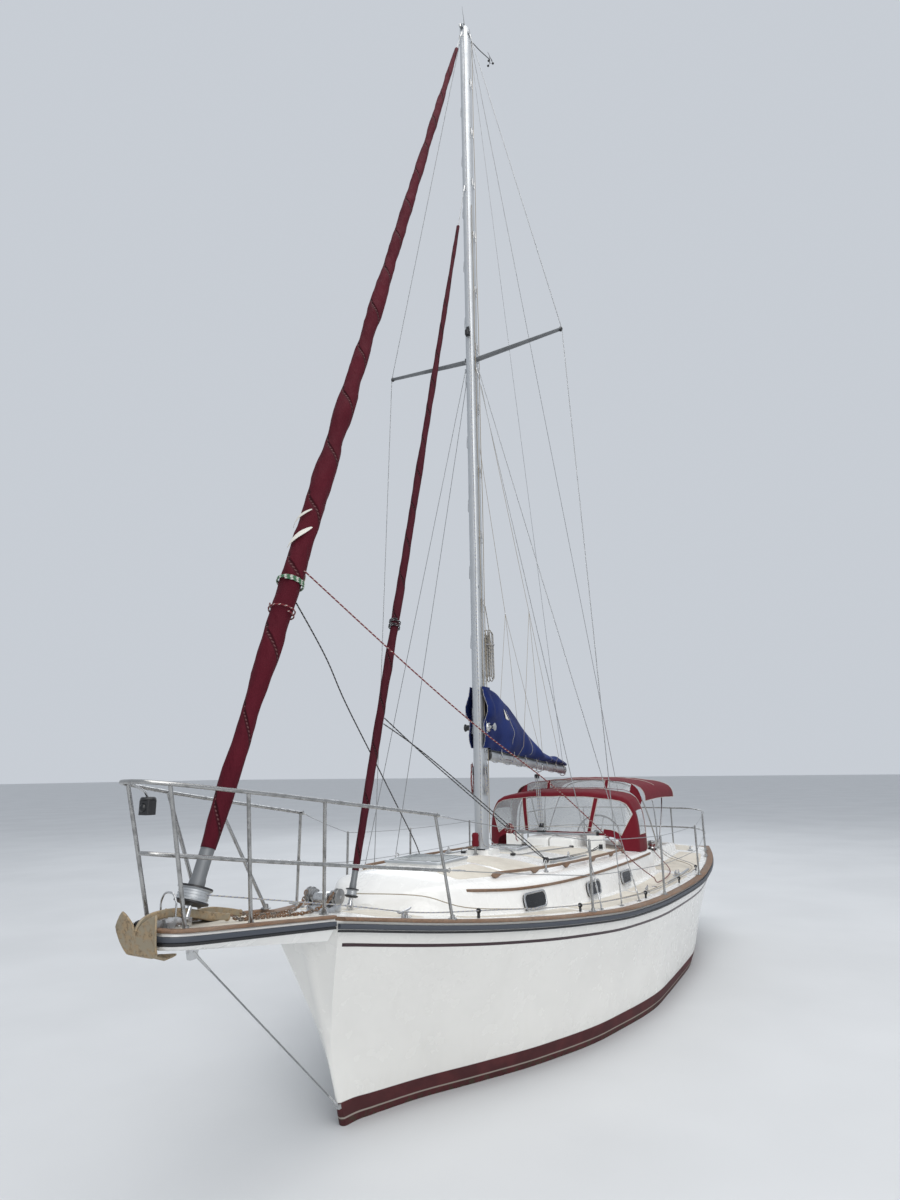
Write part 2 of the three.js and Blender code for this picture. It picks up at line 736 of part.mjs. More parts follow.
function buildBowRoller(...supports) {
  const { foreS, aftS, half, cheek, lowZ, topZ, axleS, axleZ, radius } = ROLLER;
  const cheeks = blockPair(foreS, aftS, half - cheek, half, lowZ, topZ);
  const floor = block(PLATFORM.tipS + 4, aftS, -half, half, PLATFORM.tipZ - 40, PLATFORM.tipZ + 4);
  const roller = rod(at(axleS, -half, axleZ), at(axleS, half, axleZ), radius, 12);
  const bail = tube(ROLLER_BAIL.map(([y, z]) => at(BAIL_S, y, z)), 6, 12, 6);
  return supports.reduce((whole, support) => seatOn(whole, support), join(cheeks, floor, roller, bail));
}

// Tubes of the bow pulpit. Columns: s, half-breadth, z
const PULPIT_TOP = [
  [800, 672, 2180],
  [700, 668, 2196],
  [-620, 440, 2365],
  [-1250, 250, 2445],
  [-1480, 130, 2474],
  [-1530, 0, 2480],
];
const PULPIT_LOW = [
  [862, 742, 1765],
  [-600, 330, 1965],
  [-1250, 110, 2062],
  [-1395, 0, 2083],
];
const PULPIT_LEGS = [
  { foot: [900, 762], head: [800, 672, 2180] },
  { foot: [-60, 262], head: [-380, 487, 2333] },
  { foot: [-720, 205], head: [-950, 344, 2405] },
  { foot: [-1190, 150], head: [-1400, 175, 2463] },
];
const RAIL_RADIUS = 12.5;

function mirroredTube(rows, radius, steps) {
  const port = rows.map((row) => at(...row));
  return tube([...port, ...mirrorY(port).reverse().slice(1)], radius, steps, 6);
}

function buildPulpit(support, capRails) {
  const legs = PULPIT_LEGS.flatMap(({ foot: [s, y], head }) => {
    const footZ = s > 0 ? gunwaleZ(s) + CAP_TOP - 6 : platformTopZ(s) - 8;
    return [1, -1].map(
      (side) => rod(at(s, side * y, footZ), at(head[0], side * head[1], head[2]), RAIL_RADIUS, 6),
    );
  });
  const frame = join(
    mirroredTube(PULPIT_TOP, RAIL_RADIUS, 18),
    mirroredTube(PULPIT_LOW, RAIL_RADIUS, 12),
    legs,
  );
  return capRails.reduce((whole, rail) => seatOn(whole, rail), seatOn(frame, support));
}

// Stern rail. Columns: s, half-breadth, height over the gunwale
const STERN_RAIL = [
  [8120, 1500, 650],
  [8760, 1400, 650],
  [9110, 1180, 655],
  [9190, 800, 658],
  [9200, 0, 660],
];
const STERN_POSTS = [
  [8120, 1500],
  [8760, 1400],
  [9190, 800],
];
const STERN_MID_DROP = 320;

function buildSternRail(support, capRails) {
  const run = (drop) => mirroredTube(
    STERN_RAIL.map(([s, y, rise]) => [s, y, gunwaleZ(s) + rise - drop]),
    RAIL_RADIUS,
    16,
  );
  const posts = STERN_POSTS.flatMap(([s, y]) =>
    [1, -1].map(
      (side) => rod(at(s, side * y, gunwaleZ(s) + 14), at(s, side * y, gunwaleZ(s) + 656), RAIL_RADIUS, 6),
    ),
  );
  return capRails.reduce(
    (whole, rail) => seatOn(whole, rail),
    seatOn(join(run(0), run(STERN_MID_DROP), posts), support),
  );
}

// Mast with its crane, winches and gooseneck
function oval(width, depth, sides) {
  const shape = new THREE.Shape();
  for (let i = 0; i < sides; i += 1) {
    const angle = (2 * Math.PI * (i + 0.5)) / sides;
    shape[i ? "lineTo" : "moveTo"]((width / 2) * Math.cos(angle), (depth / 2) * Math.sin(angle));
  }
  return shape;
}

function column(shape, height) {
  return new THREE.ExtrudeGeometry(shape, { depth: height, bevelEnabled: false });
}

const mastFrontS = MAST_S - (MAST_FORE_AFT / 2) * Math.cos(Math.PI / MAST_SIDES);

function buildMast() {
  const wall = column(oval(MAST_FORE_AFT, MAST_WIDTH, MAST_SIDES), MAST_TOP_Z - MAST_FOOT_Z);
  wall.translate(xOf(MAST_S), 0, MAST_FOOT_Z);
  const crane = block(MAST_S - 150, MAST_S + 200, -28, 28, MAST_TOP_Z - 60, MAST_TOP_Z + 30);
  const { s, z, radius, reach } = MAST_WINCH;
  const winches = [1, -1].flatMap((side) => [
    rod(at(s, side * 40, z), at(s, side * (reach - 10), z), radius, 14, radius * 0.78),
    rod(at(s, side * (reach - 20), z), at(s, side * reach, z), radius, 14),
  ]);
  const half = GOOSENECK.earGap / 2;
  const ear = (low) => block(MAST_S + 80, GOOSENECK.s + 22, -24, 24, low, low + GOOSENECK.earThickness);
  const ears = [ear(GOOSENECK.z - half - GOOSENECK.earThickness), ear(GOOSENECK.z + half)];
  const pin = rod(
    at(GOOSENECK.s, 0, GOOSENECK.z - half - 8),
    at(GOOSENECK.s, 0, GOOSENECK.z + half + 8),
    GOOSENECK.pinRadius,
    16,
  );
  return join(wall, crane, winches, ears, pin);
}

// Section of a spreader. Columns: share of its width, share of its depth
const SPREADER_SECTION = [
  [-0.5, 0],
  [-0.2, 0.5],
  [0.25, 0.4],
  [0.5, 0],
  [0.25, -0.4],
  [-0.2, -0.5],
];

function buildSpreader(side) {
  const { z, tipRise, reach, width, depth } = SPREADER;
  const ring = (y, height, scale) =>
    SPREADER_SECTION.map(
      ([along, up]) => at(MAST_S + along * width * scale, side * y, height + up * depth * scale),
    );
  return loft([ring(MAST_WIDTH / 2 + SEAT_GAP, z, 1), ring(reach, z + tipRise, 0.65)]);
}

// The boom and its cover lie in a group that is turned at the gooseneck
const boomGroup = new THREE.Group();
boomGroup.position.set(xOf(GOOSENECK.s), 0, GOOSENECK.z);
boomGroup.rotation.set(
  0,
  THREE.MathUtils.degToRad(-BOOM.droop),
  THREE.MathUtils.degToRad(BOOM.sideAngle),
  "ZYX",
);
yacht.add(boomGroup);

function buildBoom() {
  const spar = column(oval(BOOM.height, BOOM.width, BOOM.sides), BOOM.length - BOOM.start);
  spar.rotateY(-Math.PI / 2).translate(-BOOM.start, 0, 0);
  const upright = (radius, height) => {
    const barrel = new THREE.CylinderGeometry(radius, radius, height, 16).rotateX(Math.PI / 2);
    return barrel.rotateY(THREE.MathUtils.degToRad(BOOM.droop));
  };
  const tang = new THREE.BoxGeometry(60, 26, GOOSENECK.earGap - 14).translate(-34, 0, 0);
  const eye = upright(20, GOOSENECK.earGap - 2 * SEAT_GAP);
  return cut(join(spar, tang, eye), upright(GOOSENECK.pinRadius + 2, 2 * GOOSENECK.earGap));
}

// Furled mainsail under its cover. Columns: distance from the gooseneck, height over the boom, half-width
const COVER_ROWS = [
  [100, 765, 108],
  [300, 762, 132],
  [560, 705, 148],
  [970, 605, 150],
  [1700, 350, 138],
  [2540, 168, 118],
  [3200, 166, 108],
  [3640, 150, 92],
  [3760, 105, 58],
];

// Section of the cover, port half. Columns: share of the half-width, share of the height
const COVER_SECTION = [
  [0.1, 1],
  [0.5, 0.7],
  [1, 0.28],
  [0.86, 0.1],
  [0.42, 0],
];

function buildCover() {
  const seat = (BOOM.height / 2) * Math.cos(Math.PI / BOOM.sides) + SEAT_GAP;
  return loft(
    COVER_ROWS.map(([along, height, half]) => {
      const port = COVER_SECTION.map(
        ([out, up]) => new THREE.Vector3(-along, half * out, seat + up * height),
      );
      return [...port, ...mirrorY(port).reverse()];
    }),
  );
}

// Front of the cover, beside the mast. Columns: z, outer half-width, outer reach fore and aft
const COLLAR_ROWS = [
  [COLLAR.lowZ, 92, 108],
  [2900, 150, 112],
  [3060, 172, 114],
  [3200, 158, 113],
  [3340, 118, 111],
  [COLLAR.highZ, 86, 108],
];

function buildCollar() {
  const outer = loft(
    COLLAR_ROWS.map(([z, half, reach]) =>
      Array.from({ length: MAST_SIDES }, (_, i) => {
        const angle = (2 * Math.PI * (i + 0.5)) / MAST_SIDES;
        return at(MAST_S - reach * Math.cos(angle), half * Math.sin(angle), z);
      }),
    ),
  );
  const bore = column(oval(MAST_FORE_AFT + 2 * SEAT_GAP, MAST_WIDTH + 2 * SEAT_GAP, MAST_SIDES), 800);
  bore.translate(xOf(MAST_S), 0, COLLAR.lowZ - 60);
  const front = block(MAST_S - 300, MAST_S - 52, -300, 300, COLLAR.lowZ - 10, COLLAR.highZ + 10);
  const { s, z, radius } = MAST_WINCH;
  const winchRoom = block(s - radius - 4, s + radius + 4, -300, 300, z - radius - 4, z + radius + 4);
  return cut(outer, bore, front, winchRoom);
}

// Stays and the furled sails that turn round them
function alongStay(stay, z) {
  const share = (z - stay.tackZ) / (stay.headZ - stay.tackZ);
  return at(stay.tackS + share * (stay.headS - stay.tackS), 0, z);
}

// A solid turned round a stay, hollow for the wire. Profile columns: radius, distance up the stay
function spun(profile, stay, z, sides) {
  const bore = [...profile.slice(-1), ...profile.slice(0, 1)].map(([, along]) => [STAY_BORE, along]);
  const closed = [...profile, ...bore, profile[0]];
  const geometry = new THREE.LatheGeometry(
    closed.map(([radius, along]) => new THREE.Vector2(radius, along)),
    sides,
  );
  const up = new THREE.Vector3().subVectors(
    alongStay(stay, stay.headZ),
    alongStay(stay, stay.tackZ),
  ).normalize();
  const turn = new THREE.Quaternion().setFromUnitVectors(new THREE.Vector3(0, 1, 0), up);
  return geometry.applyQuaternion(turn).translate(...alongStay(stay, z).toArray());
}

const stayLength = (stay, zLow, zHigh) => alongStay(stay, zLow).distanceTo(alongStay(stay, zHigh));

const GENOA_DRUM = [
  [60, 0],
  [104, 14],
  [104, 24],
  [92, 34],
  [92, 84],
  [106, 94],
  [106, 106],
  [50, 112],
  [44, stayLength(FORESTAY, FORESTAY.drumZ, FORESTAY.rollZ) - SEAT_GAP],
];
const GENOA_ROLL = [
  [52, 0],
  [66, 500],
  [86, 1700],
  [96, 2500],
  [90, 3400],
  [74, 5600],
  [56, 8000],
  [40, 10100],
  [26, 10900],
];
const STAYSAIL_DRUM = [
  [40, 0],
  [54, 8],
  [54, 16],
  [38, 22],
  [38, 50],
  [52, 56],
  [52, 64],
  [28, 70],
  [25, stayLength(INNER_STAY, INNER_STAY.drumZ, INNER_STAY.rollZ) - SEAT_GAP],
];
const STAYSAIL_ROLL = [
  [30, 0],
  [38, 700],
  [43, 2200],
  [38, 4500],
  [30, 6600],
  [22, 7900],
];

const STAY_LUG = { half: 40, thickness: 18, below: 40, above: 6, thrustRadius: 22 };

function buildStay(stay, support) {
  const { half, thickness, below, above, thrustRadius } = STAY_LUG;
  const wire = rod(alongStay(stay, stay.tackZ - 10), alongStay(stay, stay.headZ), STAY_WIRE, 6);
  const topOfThrust = alongStay(stay, stay.drumZ).lerp(
    alongStay(stay, stay.tackZ),
    SEAT_GAP / (stay.drumZ - stay.tackZ),
  );
  const thrust = rod(alongStay(stay, stay.tackZ - 8), topOfThrust, thrustRadius, 8);
  const lug = block(
    stay.tackS - half,
    stay.tackS + half,
    -thickness / 2,
    thickness / 2,
    stay.tackZ - 2 * below,
    stay.tackZ + above,
  );
  const head = block(stay.headS - 14, mastFrontS - SEAT_GAP, -9, 9, stay.headZ - 46, stay.headZ + 8);
  return seatOn(join(wire, thrust, lug, head), support);
}

// Standing rigging of one side. Columns of the lower shrouds: s at the deck, s at the mast
const LOWER_SHROUDS = [
  { deckS: 2760, mastS: MAST_S - 34 },
  { deckS: 3640, mastS: MAST_S + 34 },
];
const CAP_SHROUD_S = 3160;
const SHROUD = {
  lowerZ: 7480,
  capRadius: 4.5,
  lowerRadius: 4,
  screwRadius: 10,
  screwLength: 290,
  tipGap: 2.4,
};
const CHAINPLATE = { inset: 118, half: 16, thickness: 14, stations: [2700, 3200, 3700] };
const chainplateY = (s) => gunwaleY(s) - CHAINPLATE.inset;

function buildShrouds(side, support) {
  const { capRadius, lowerRadius, screwRadius, screwLength, tipGap, lowerZ } = SHROUD;
  const foot = (s) => at(s, side * chainplateY(s), deckTopZ(s, chainplateY(s)) + 8);
  const tip = at(MAST_S, side * (SPREADER.reach + capRadius + tipGap), SPREADER.z + SPREADER.tipRise);
  const head = at(MAST_S, side * (MAST_WIDTH / 2 + capRadius + 2), MAST_TOP_Z - 90);
  const upFrom = (from, aim, distance) => from.clone().lerp(aim, distance / from.distanceTo(aim));
  const wireFoot = (s, aim) => upFrom(foot(s), aim, screwLength - 30);
  const caps = [
    rod(wireFoot(CAP_SHROUD_S, tip), tip, capRadius, 6),
    rod(tip, head, capRadius, 7),
    new THREE.BoxGeometry(16, 2 * capRadius + 1, 24).translate(...tip),
  ];
  const tang = (z) => {
    const [inner, outer] = [MAST_WIDTH / 2 + SEAT_GAP, MAST_WIDTH / 2 + 15].map((y) => side * y);
    return block(MAST_S - 46, MAST_S + 46, Math.min(inner, outer), Math.max(inner, outer), z - 34, z + 20);
  };
  const lowerHead = (mastS) => at(mastS, side * (MAST_WIDTH / 2 + 8), lowerZ);
  const lowers = LOWER_SHROUDS.map(({ deckS, mastS }) =>
    rod(wireFoot(deckS, lowerHead(mastS)), lowerHead(mastS), lowerRadius, 6),
  );
  const aims = [[CAP_SHROUD_S, tip], ...LOWER_SHROUDS.map(({ deckS, mastS }) => [deckS, lowerHead(mastS)])];
  const screws = aims.map(([s, aim]) => rod(foot(s), upFrom(foot(s), aim, screwLength), screwRadius, 7));
  const { half, thickness, stations } = CHAINPLATE;
  const strap = loft(
    stations.map((s) => {
      const [y, z] = [chainplateY(s), deckTopZ(s, chainplateY(s))];
      const corners = [
        [y - half, z - 6],
        [y + half, z - 6],
        [y + half, z + thickness],
        [y - half, z + thickness],
      ];
      return corners.map(([across, height]) => at(s, side * across, height));
    }),
  );
  return join(seatOn(strap, support), screws, caps, lowers, tang(lowerZ), tang(MAST_TOP_Z - 90));
}

const BACKSTAY = { s: 9150, plateHalf: 30, screwShare: 0.03 };

function buildBackstay(support) {
  const deckZ = deckTopZ(BACKSTAY.s, 0);
  const plate = block(
    BACKSTAY.s - BACKSTAY.plateHalf,
    BACKSTAY.s + BACKSTAY.plateHalf,
    -20,
    20,
    deckZ - 10,
    deckZ + 60,
  );
  const foot = at(BACKSTAY.s, 0, deckZ + 40);
  const head = at(MAST_S + 200 + 6, 0, MAST_TOP_Z - 20);
  const screw = rod(foot, foot.clone().lerp(head, BACKSTAY.screwShare), SHROUD.screwRadius, 8);
  return seatOn(join(plate, rod(foot, head, SHROUD.capRadius, 6), screw), support);
}

const BOBSTAY = { stemS: 512, stemZ: 150, spritS: -985, lugZ: 1470, lugTopZ: 1570, radius: 6 };

function buildBobstay(hull, platform) {
  const stemEnd = at(BOBSTAY.stemS, 0, BOBSTAY.stemZ);
  const wire = rod(stemEnd, at(BOBSTAY.spritS, 0, BOBSTAY.lugZ + 20), BOBSTAY.radius, 6);
  const strap = rod(
    at(BOBSTAY.stemS + 60, 0, BOBSTAY.stemZ + 20),
    at(BOBSTAY.stemS - 14, 0, BOBSTAY.stemZ - 10),
    15,
    8,
  );
  const lug = block(BOBSTAY.spritS - 50, BOBSTAY.spritS + 50, -10, 10, BOBSTAY.lugZ, BOBSTAY.lugTopZ);
  return clearOf(join(wire, strap, lug), hull, platform);
}

// Deck gear
const WINDLASS = { s: 285, baseHalf: 95, barrelZ: 1618, barrelHalf: 150, gypsyInner: 108 };

function buildWindlass(support) {
  const { s, baseHalf, barrelZ, barrelHalf, gypsyInner } = WINDLASS;
  const base = block(s - 110, s + 110, -baseHalf, baseHalf, 1500, 1562);
  const body = block(s - 70, s + 70, -72, 72, 1550, 1650);
  const barrel = rod(at(s, -barrelHalf, barrelZ), at(s, barrelHalf, barrelZ), 46, 12);
  const gypsies = [-1, 1].map(
    (side) => rod(at(s, side * gypsyInner, barrelZ), at(s, side * barrelHalf, barrelZ), 60, 12),
  );
  return seatOn(join(base, body, barrel, gypsies), support);
}

const HANDRAIL = {
  stations: [1850, 2500, 3200, 4000, 4700, 5250],
  share: 0.86,
  rise: 30,
  half: 14,
  depth: 24,
  footHalf: 30,
};

function buildHandrail(side, support) {
  const { stations, share, rise, half, depth, footHalf } = HANDRAIL;
  const railY = (s) => lookUp(TRUNK, s, 2) * share;
  const bar = loft(
    stations.map((s) => {
      const [y, z] = [railY(s), roofZ(s, railY(s)) + rise];
      const corners = [
        [y - half, z],
        [y + half, z],
        [y + half, z + depth],
        [y - half, z + depth],
      ];
      return corners.map(([across, height]) => at(s, side * across, height));
    }),
  );
  const [first, last] = [stations[0] + footHalf + 5, stations[stations.length - 1] - footHalf - 5];
  const feet = stations.map((s) => {
    const centre = Math.min(Math.max(s, first), last);
    const y = side * railY(centre);
    return block(
      centre - footHalf,
      centre + footHalf,
      y - 11,
      y + 11,
      roofZ(centre, y) - 16,
      roofZ(centre, y) + rise + 6,
    );
  });
  return seatOn(join(bar, feet), support);
}

const WINCH = { s: 6950, inset: 36 };

// Profile of a sheet winch. Columns: radius, height
const WINCH_PROFILE = [
  [0, -8],
  [62, -8],
  [62, 22],
  [44, 40],
  [44, 98],
  [60, 112],
  [60, 130],
  [0, 130],
];

function buildWinch(side, support) {
  const y = side * (COCKPIT.halfWidth + WINCH.inset);
  const drum = new THREE.LatheGeometry(
    WINCH_PROFILE.map(([r, z]) => new THREE.Vector2(r, z)),
    16,
  ).rotateX(Math.PI / 2);
  return seatOn(drum.translate(xOf(WINCH.s), y, coamingTopZ(WINCH.s)), support);
}

function buildHatchLid({ foreS, aftS, halfWidth, seatZ, lid, lap }) {
  return block(foreS - lap, aftS + lap, -halfWidth - lap, halfWidth + lap, seatZ + SEAT_GAP, seatZ + lid);
}

function seaHoodOutside() {
  const { foreS, aftS, halfWidth, topZ } = SEA_HOOD;
  const ring = (s, half, top) => {
    const port = [
      [half - 50, top],
      [half - 10, top - 16],
      [half, 1470],
    ].map(([y, z]) => at(s, y, z));
    return [...port, ...mirrorY(port).reverse()];
  };
  return loft([
    ring(foreS, halfWidth - 20, topZ - 26),
    ring(foreS + 110, halfWidth - 4, topZ - 4),
    ring(aftS, halfWidth, topZ),
  ]);
}

function buildSeaHood(outside, support) {
  const { foreS, aftS, topZ, wall } = SEA_HOOD;
  const room = HATCH_SLIDE.halfWidth + 8;
  const inner = block(foreS + 40, aftS + 20, -room, room, 1400, topZ - wall);
  return seatOn(cut(outside, inner), support);
}

function buildSlidingHatch() {
  const { foreS, aftS, halfWidth, runnerZ, thickness } = HATCH_SLIDE;
  const top = block(foreS, aftS, -halfWidth, halfWidth, runnerZ + SEAT_GAP, runnerZ + thickness);
  const grip = block(aftS - 46, aftS - 12, -170, 170, runnerZ + thickness - 1, runnerZ + thickness + 22);
  return join(top, grip);
}

function buildWashboards() {
  const { halfWidth, sillZ, board } = COMPANIONWAY;
  const clear = halfWidth - SEAT_GAP;
  return block(
    CABIN.aftS - 16 - board,
    CABIN.aftS - 16,
    -clear,
    clear,
    sillZ + SEAT_GAP,
    HATCH_SLIDE.runnerZ - SEAT_GAP,
  );
}

function buildTraveller() {
  const { s, z, half, width, height } = TRAVELLER;
  const track = block(s - width / 2, s + width / 2, -half, half, z, z + height);
  const car = block(s - 38, s + 38, -235, -125, z + height - 2, z + height + 34);
  const ends = blockPair(s - 28, s + 28, half - 26, half, z, z + height + 16);
  return join(track, car, ends);
}

function buildLockerLid(side) {
  const [inner, outer] = [LOCKER.innerY - LOCKER.lap, LOCKER.outerY + LOCKER.lap + 14].map((y) => side * y);
  const [low, high] = [Math.min(inner, outer), Math.max(inner, outer)];
  const [zLow, zHigh] = [COCKPIT.seatZ + SEAT_GAP, COCKPIT.seatZ + LOCKER.lid];
  return block(LOCKER.foreS - LOCKER.lap, LOCKER.aftS + LOCKER.lap, low, high, zLow, zHigh);
}

function buildEngine() {
  const { foreS, aftS, halfWidth, height } = ENGINE;
  return block(foreS, aftS, -halfWidth, halfWidth, CABIN.soleZ + SEAT_GAP, CABIN.soleZ + height);
}

const POST_RADIUS = 38;

function buildMastPost() {
  return rod(
    at(MAST_S, 0, CABIN.soleZ + SEAT_GAP),
    at(MAST_S, 0, roofZ(MAST_S, 0) - CABIN.roof - 1),
    POST_RADIUS,
    16,
  );
}

// Spray dodger and bimini over the cockpit
const DODGER = {
  foreS: 5470,
  aftS: 6400,
  half: 1085,
  aftHalf: 1000,
  sillZ: 1735,
  topZ: 2235,
  shell: 16,
  floorZ: 1380,
};
const BIMINI = { foreS: 6470, aftS: 8480, half: 1000, topZ: 2410, drop: 320, shell: 14 };

// Section of an arch, port half. Columns: share of the half-width, share of the height
const ARCH_SECTION = [
  [0, 1],
  [0.42, 0.985],
  [0.8, 0.91],
  [0.93, 0.76],
  [0.985, 0.48],
  [1, 0],
];

function archPoints(s, half, baseZ, topZ) {
  return ARCH_SECTION.map(([out, up]) => at(s, half * out, baseZ + (topZ - baseZ) * up));
}

function archRing(s, half, baseZ, topZ) {
  const port = archPoints(s, half, baseZ, topZ);
  return [...port, ...mirrorY(port.slice(1)).reverse()];
}

function buildDodgerCanvas(support, hood) {
  const { foreS, aftS, half, aftHalf, sillZ, topZ, shell, floorZ } = DODGER;
  const skin = (inset) =>
    loft([
      archRing(foreS + inset, half - 190 - inset, floorZ, sillZ - inset),
      archRing(foreS + 170 + inset, half - inset, floorZ, topZ - 14 - inset),
      archRing((foreS + aftS) / 2, half - inset, floorZ, topZ + 16 - inset),
      archRing(inset > 0 ? aftS + 30 : aftS, aftHalf - inset, floorZ, topZ + 24 - inset),
    ]);
  return seatOn(seatOn(cut(skin(0), skin(shell)), support), hood);
}

// A hoop from its feet to its crown, port half. Columns: share of the half-width, share of the height
const HOOP_SECTION = [
  [1, 0],
  [0.985, 0.45],
  [0.93, 0.78],
  [0.78, 0.93],
  [0.4, 0.99],
  [0, 1],
];
const HOOP_RADIUS = 11;
const HOOP_STEPS = 16;
const FRAME_FOOT = { half: 48, width: 14, height: 30 };

// Hoops that spread from one pair of feet. Columns of the crowns: s, z
function canopyFrame(feetS, half, crowns, support, canvas) {
  const footZ = coamingTopZ(feetS) - 10;
  const hoops = crowns.map(([s, z]) =>
    mirroredTube(
      HOOP_SECTION.map(([out, up]) => [feetS + (s - feetS) * up, half * out, footZ + (z - footZ) * up]),
      HOOP_RADIUS,
      HOOP_STEPS,
    ),
  );
  const { half: reach, width, height } = FRAME_FOOT;
  const feet = blockPair(
    feetS - reach,
    feetS + reach,
    half - width,
    half + width,
    footZ - 20,
    footZ + height,
  );
  return cut(seatOn(join(hoops, feet), support), canvas.clone().translate(0, 0, -SEAT_GAP));
}

const DODGER_FRAME = {
  feetS: 6330,
  half: 925,
  crowns: [
    [5780, 2209],
    [6330, 2232],
  ],
};
const BIMINI_FRAME = {
  feetS: 7420,
  half: 925,
  crowns: [
    [6540, 2369],
    [7420, 2385],
    [8410, 2362],
  ],
};

// Section of the bimini, port half. Columns: share of the half-width, share of the drop
const BIMINI_SECTION = [
  [0, 0],
  [0.45, 0.06],
  [0.86, 0.3],
  [0.985, 0.62],
  [1, 1],
];

function buildBiminiCanvas() {
  const { foreS, aftS, half, topZ, drop, shell } = BIMINI;
  const ring = (s, top, inset) => {
    const port = BIMINI_SECTION.map(
      ([out, down]) => at(s, (half - inset) * out, top - inset - (drop + inset) * down),
    );
    return [...port, ...mirrorY(port.slice(1)).reverse()];
  };
  const skin = (inset) =>
    loft([
      ring(foreS - inset, topZ - 18, inset),
      ring((foreS + aftS) / 2, topZ, inset),
      ring(aftS + inset, topZ - 26, inset),
    ]);
  return cut(skin(0), skin(shell));
}

// Steering
const PEDESTAL = { s: 7300, headZ: 1380, topZ: 1520, axle: 20 };

function buildPedestal() {
  const { s, headZ, topZ, axle } = PEDESTAL;
  const trunk = rod(at(s, 0, FOOTWELL.soleZ + SEAT_GAP), at(s, 0, headZ), 92, 14, 66);
  const head = block(s - 68, s + 68, -84, 84, headZ - 20, topZ);
  const shaft = rod(at(s + 40, 0, WHEEL.z), at(WHEEL.s - 30 - SEAT_GAP, 0, WHEEL.z), axle, 12);
  const compass = new THREE.SphereGeometry(74, 12, 6).rotateX(Math.PI / 2).translate(xOf(s), 0, topZ + 8);
  return join(trunk, head, shaft, compass);
}

function buildWheel() {
  const { s, z, radius, rim, hub, spokes } = WHEEL;
  const ring = new THREE.TorusGeometry(radius, rim, 6, 24).rotateY(Math.PI / 2).translate(xOf(s), 0, z);
  const boss = rod(at(s - 30, 0, z), at(s + 26, 0, z), hub, 12);
  const arms = Array.from({ length: spokes }, (_, i) => {
    const angle = (2 * Math.PI * i) / spokes;
    return rod(at(s, 0, z), at(s, radius * Math.cos(angle), z + radius * Math.sin(angle)), 7, 6);
  });
  return join(ring, boss, arms);
}

// Underwater gear. Rudder outline aft of the stock. Columns: s, z
const RUDDER_EDGE = [
  [8990, -235],
  [9050, -330],
  [8850, -980],
  [8690, -1140],
  [8560, -1166],
];

function buildRudder() {
  const onAxis = (z) => [RUDDER.heelS + RUDDER.tilt * (z - RUDDER.heelZ), z];
  const blade = profilePlate([onAxis(-1166), onAxis(-300), ...RUDDER_EDGE], RUDDER.thickness);
  const stock = rod(
    rudderAxisPoint(RUDDER.heelZ + 20),
    rudderAxisPoint(RUDDER.headZ),
    RUDDER.stockRadius,
    14,
  );
  const heelPin = rod(
    rudderAxisPoint(RUDDER.heelZ - 24),
    rudderAxisPoint(RUDDER.heelZ + 36),
    RUDDER.pinRadius,
    15,
  );
  return join(blade, stock, heelPin);
}

// Section of a propeller blade. Columns: distance from the shaft, chord, thickness
const BLADE_ROWS = [
  [20, 44, 10],
  [90, 96, 8],
  [150, 92, 6],
  [PROPELLER.radius, 34, 4],
];
const BLADE_TWIST = THREE.MathUtils.degToRad(28);

function buildPropeller() {
  const { s, z, hubRadius, hubLength, shaftRadius, blades } = PROPELLER;
  const hub = rod(at(s - hubLength / 2, 0, z), at(s + hubLength / 2, 0, z), hubRadius, 14, hubRadius * 0.8);
  const shaft = rod(at(STERN_TUBE.endS + SEAT_GAP, 0, z), at(s, 0, z), shaftRadius, 12);
  const twisted = (along, across, out) => {
    const [cos, sin] = [Math.cos(BLADE_TWIST), Math.sin(BLADE_TWIST)];
    return new THREE.Vector3(along * cos - across * sin, along * sin + across * cos, out);
  };
  const blade = loft(
    BLADE_ROWS.map(([out, chord, thick]) => [
      twisted(-thick / 2, -chord / 2, out),
      twisted(thick / 2, -chord / 2, out),
      twisted(thick / 2, chord / 2, out),
      twisted(-thick / 2, chord / 2, out),
    ]),
  );
  const turned = Array.from({ length: blades }, (_, i) =>
    blade.clone().rotateX((2 * Math.PI * i) / blades).translate(xOf(s), 0, z),
  );
  return join(hub, shaft, turned);
}

// Assembly
const { hull, keel } = buildHullParts();
const outside = buildDeckParts();
const deck = buildDeckMoulding(outside);
const landing = join(outside, deck);
const platform = buildPlatform();
const rubRail = buildRubRail();
const hoodOutside = seaHoodOutside();
const dodgerCanvas = buildDodgerCanvas(landing, hoodOutside);
const biminiCanvas = buildBiminiCanvas();
const bowRoller = buildBowRoller(platform, rubRail);
const capRails = [1, -1].map(buildCapRail);
const sides = [
  { name: "port", sign: 1, capRail: capRails[0] },
  { name: "starboard", sign: -1, capRail: capRails[1] },
];

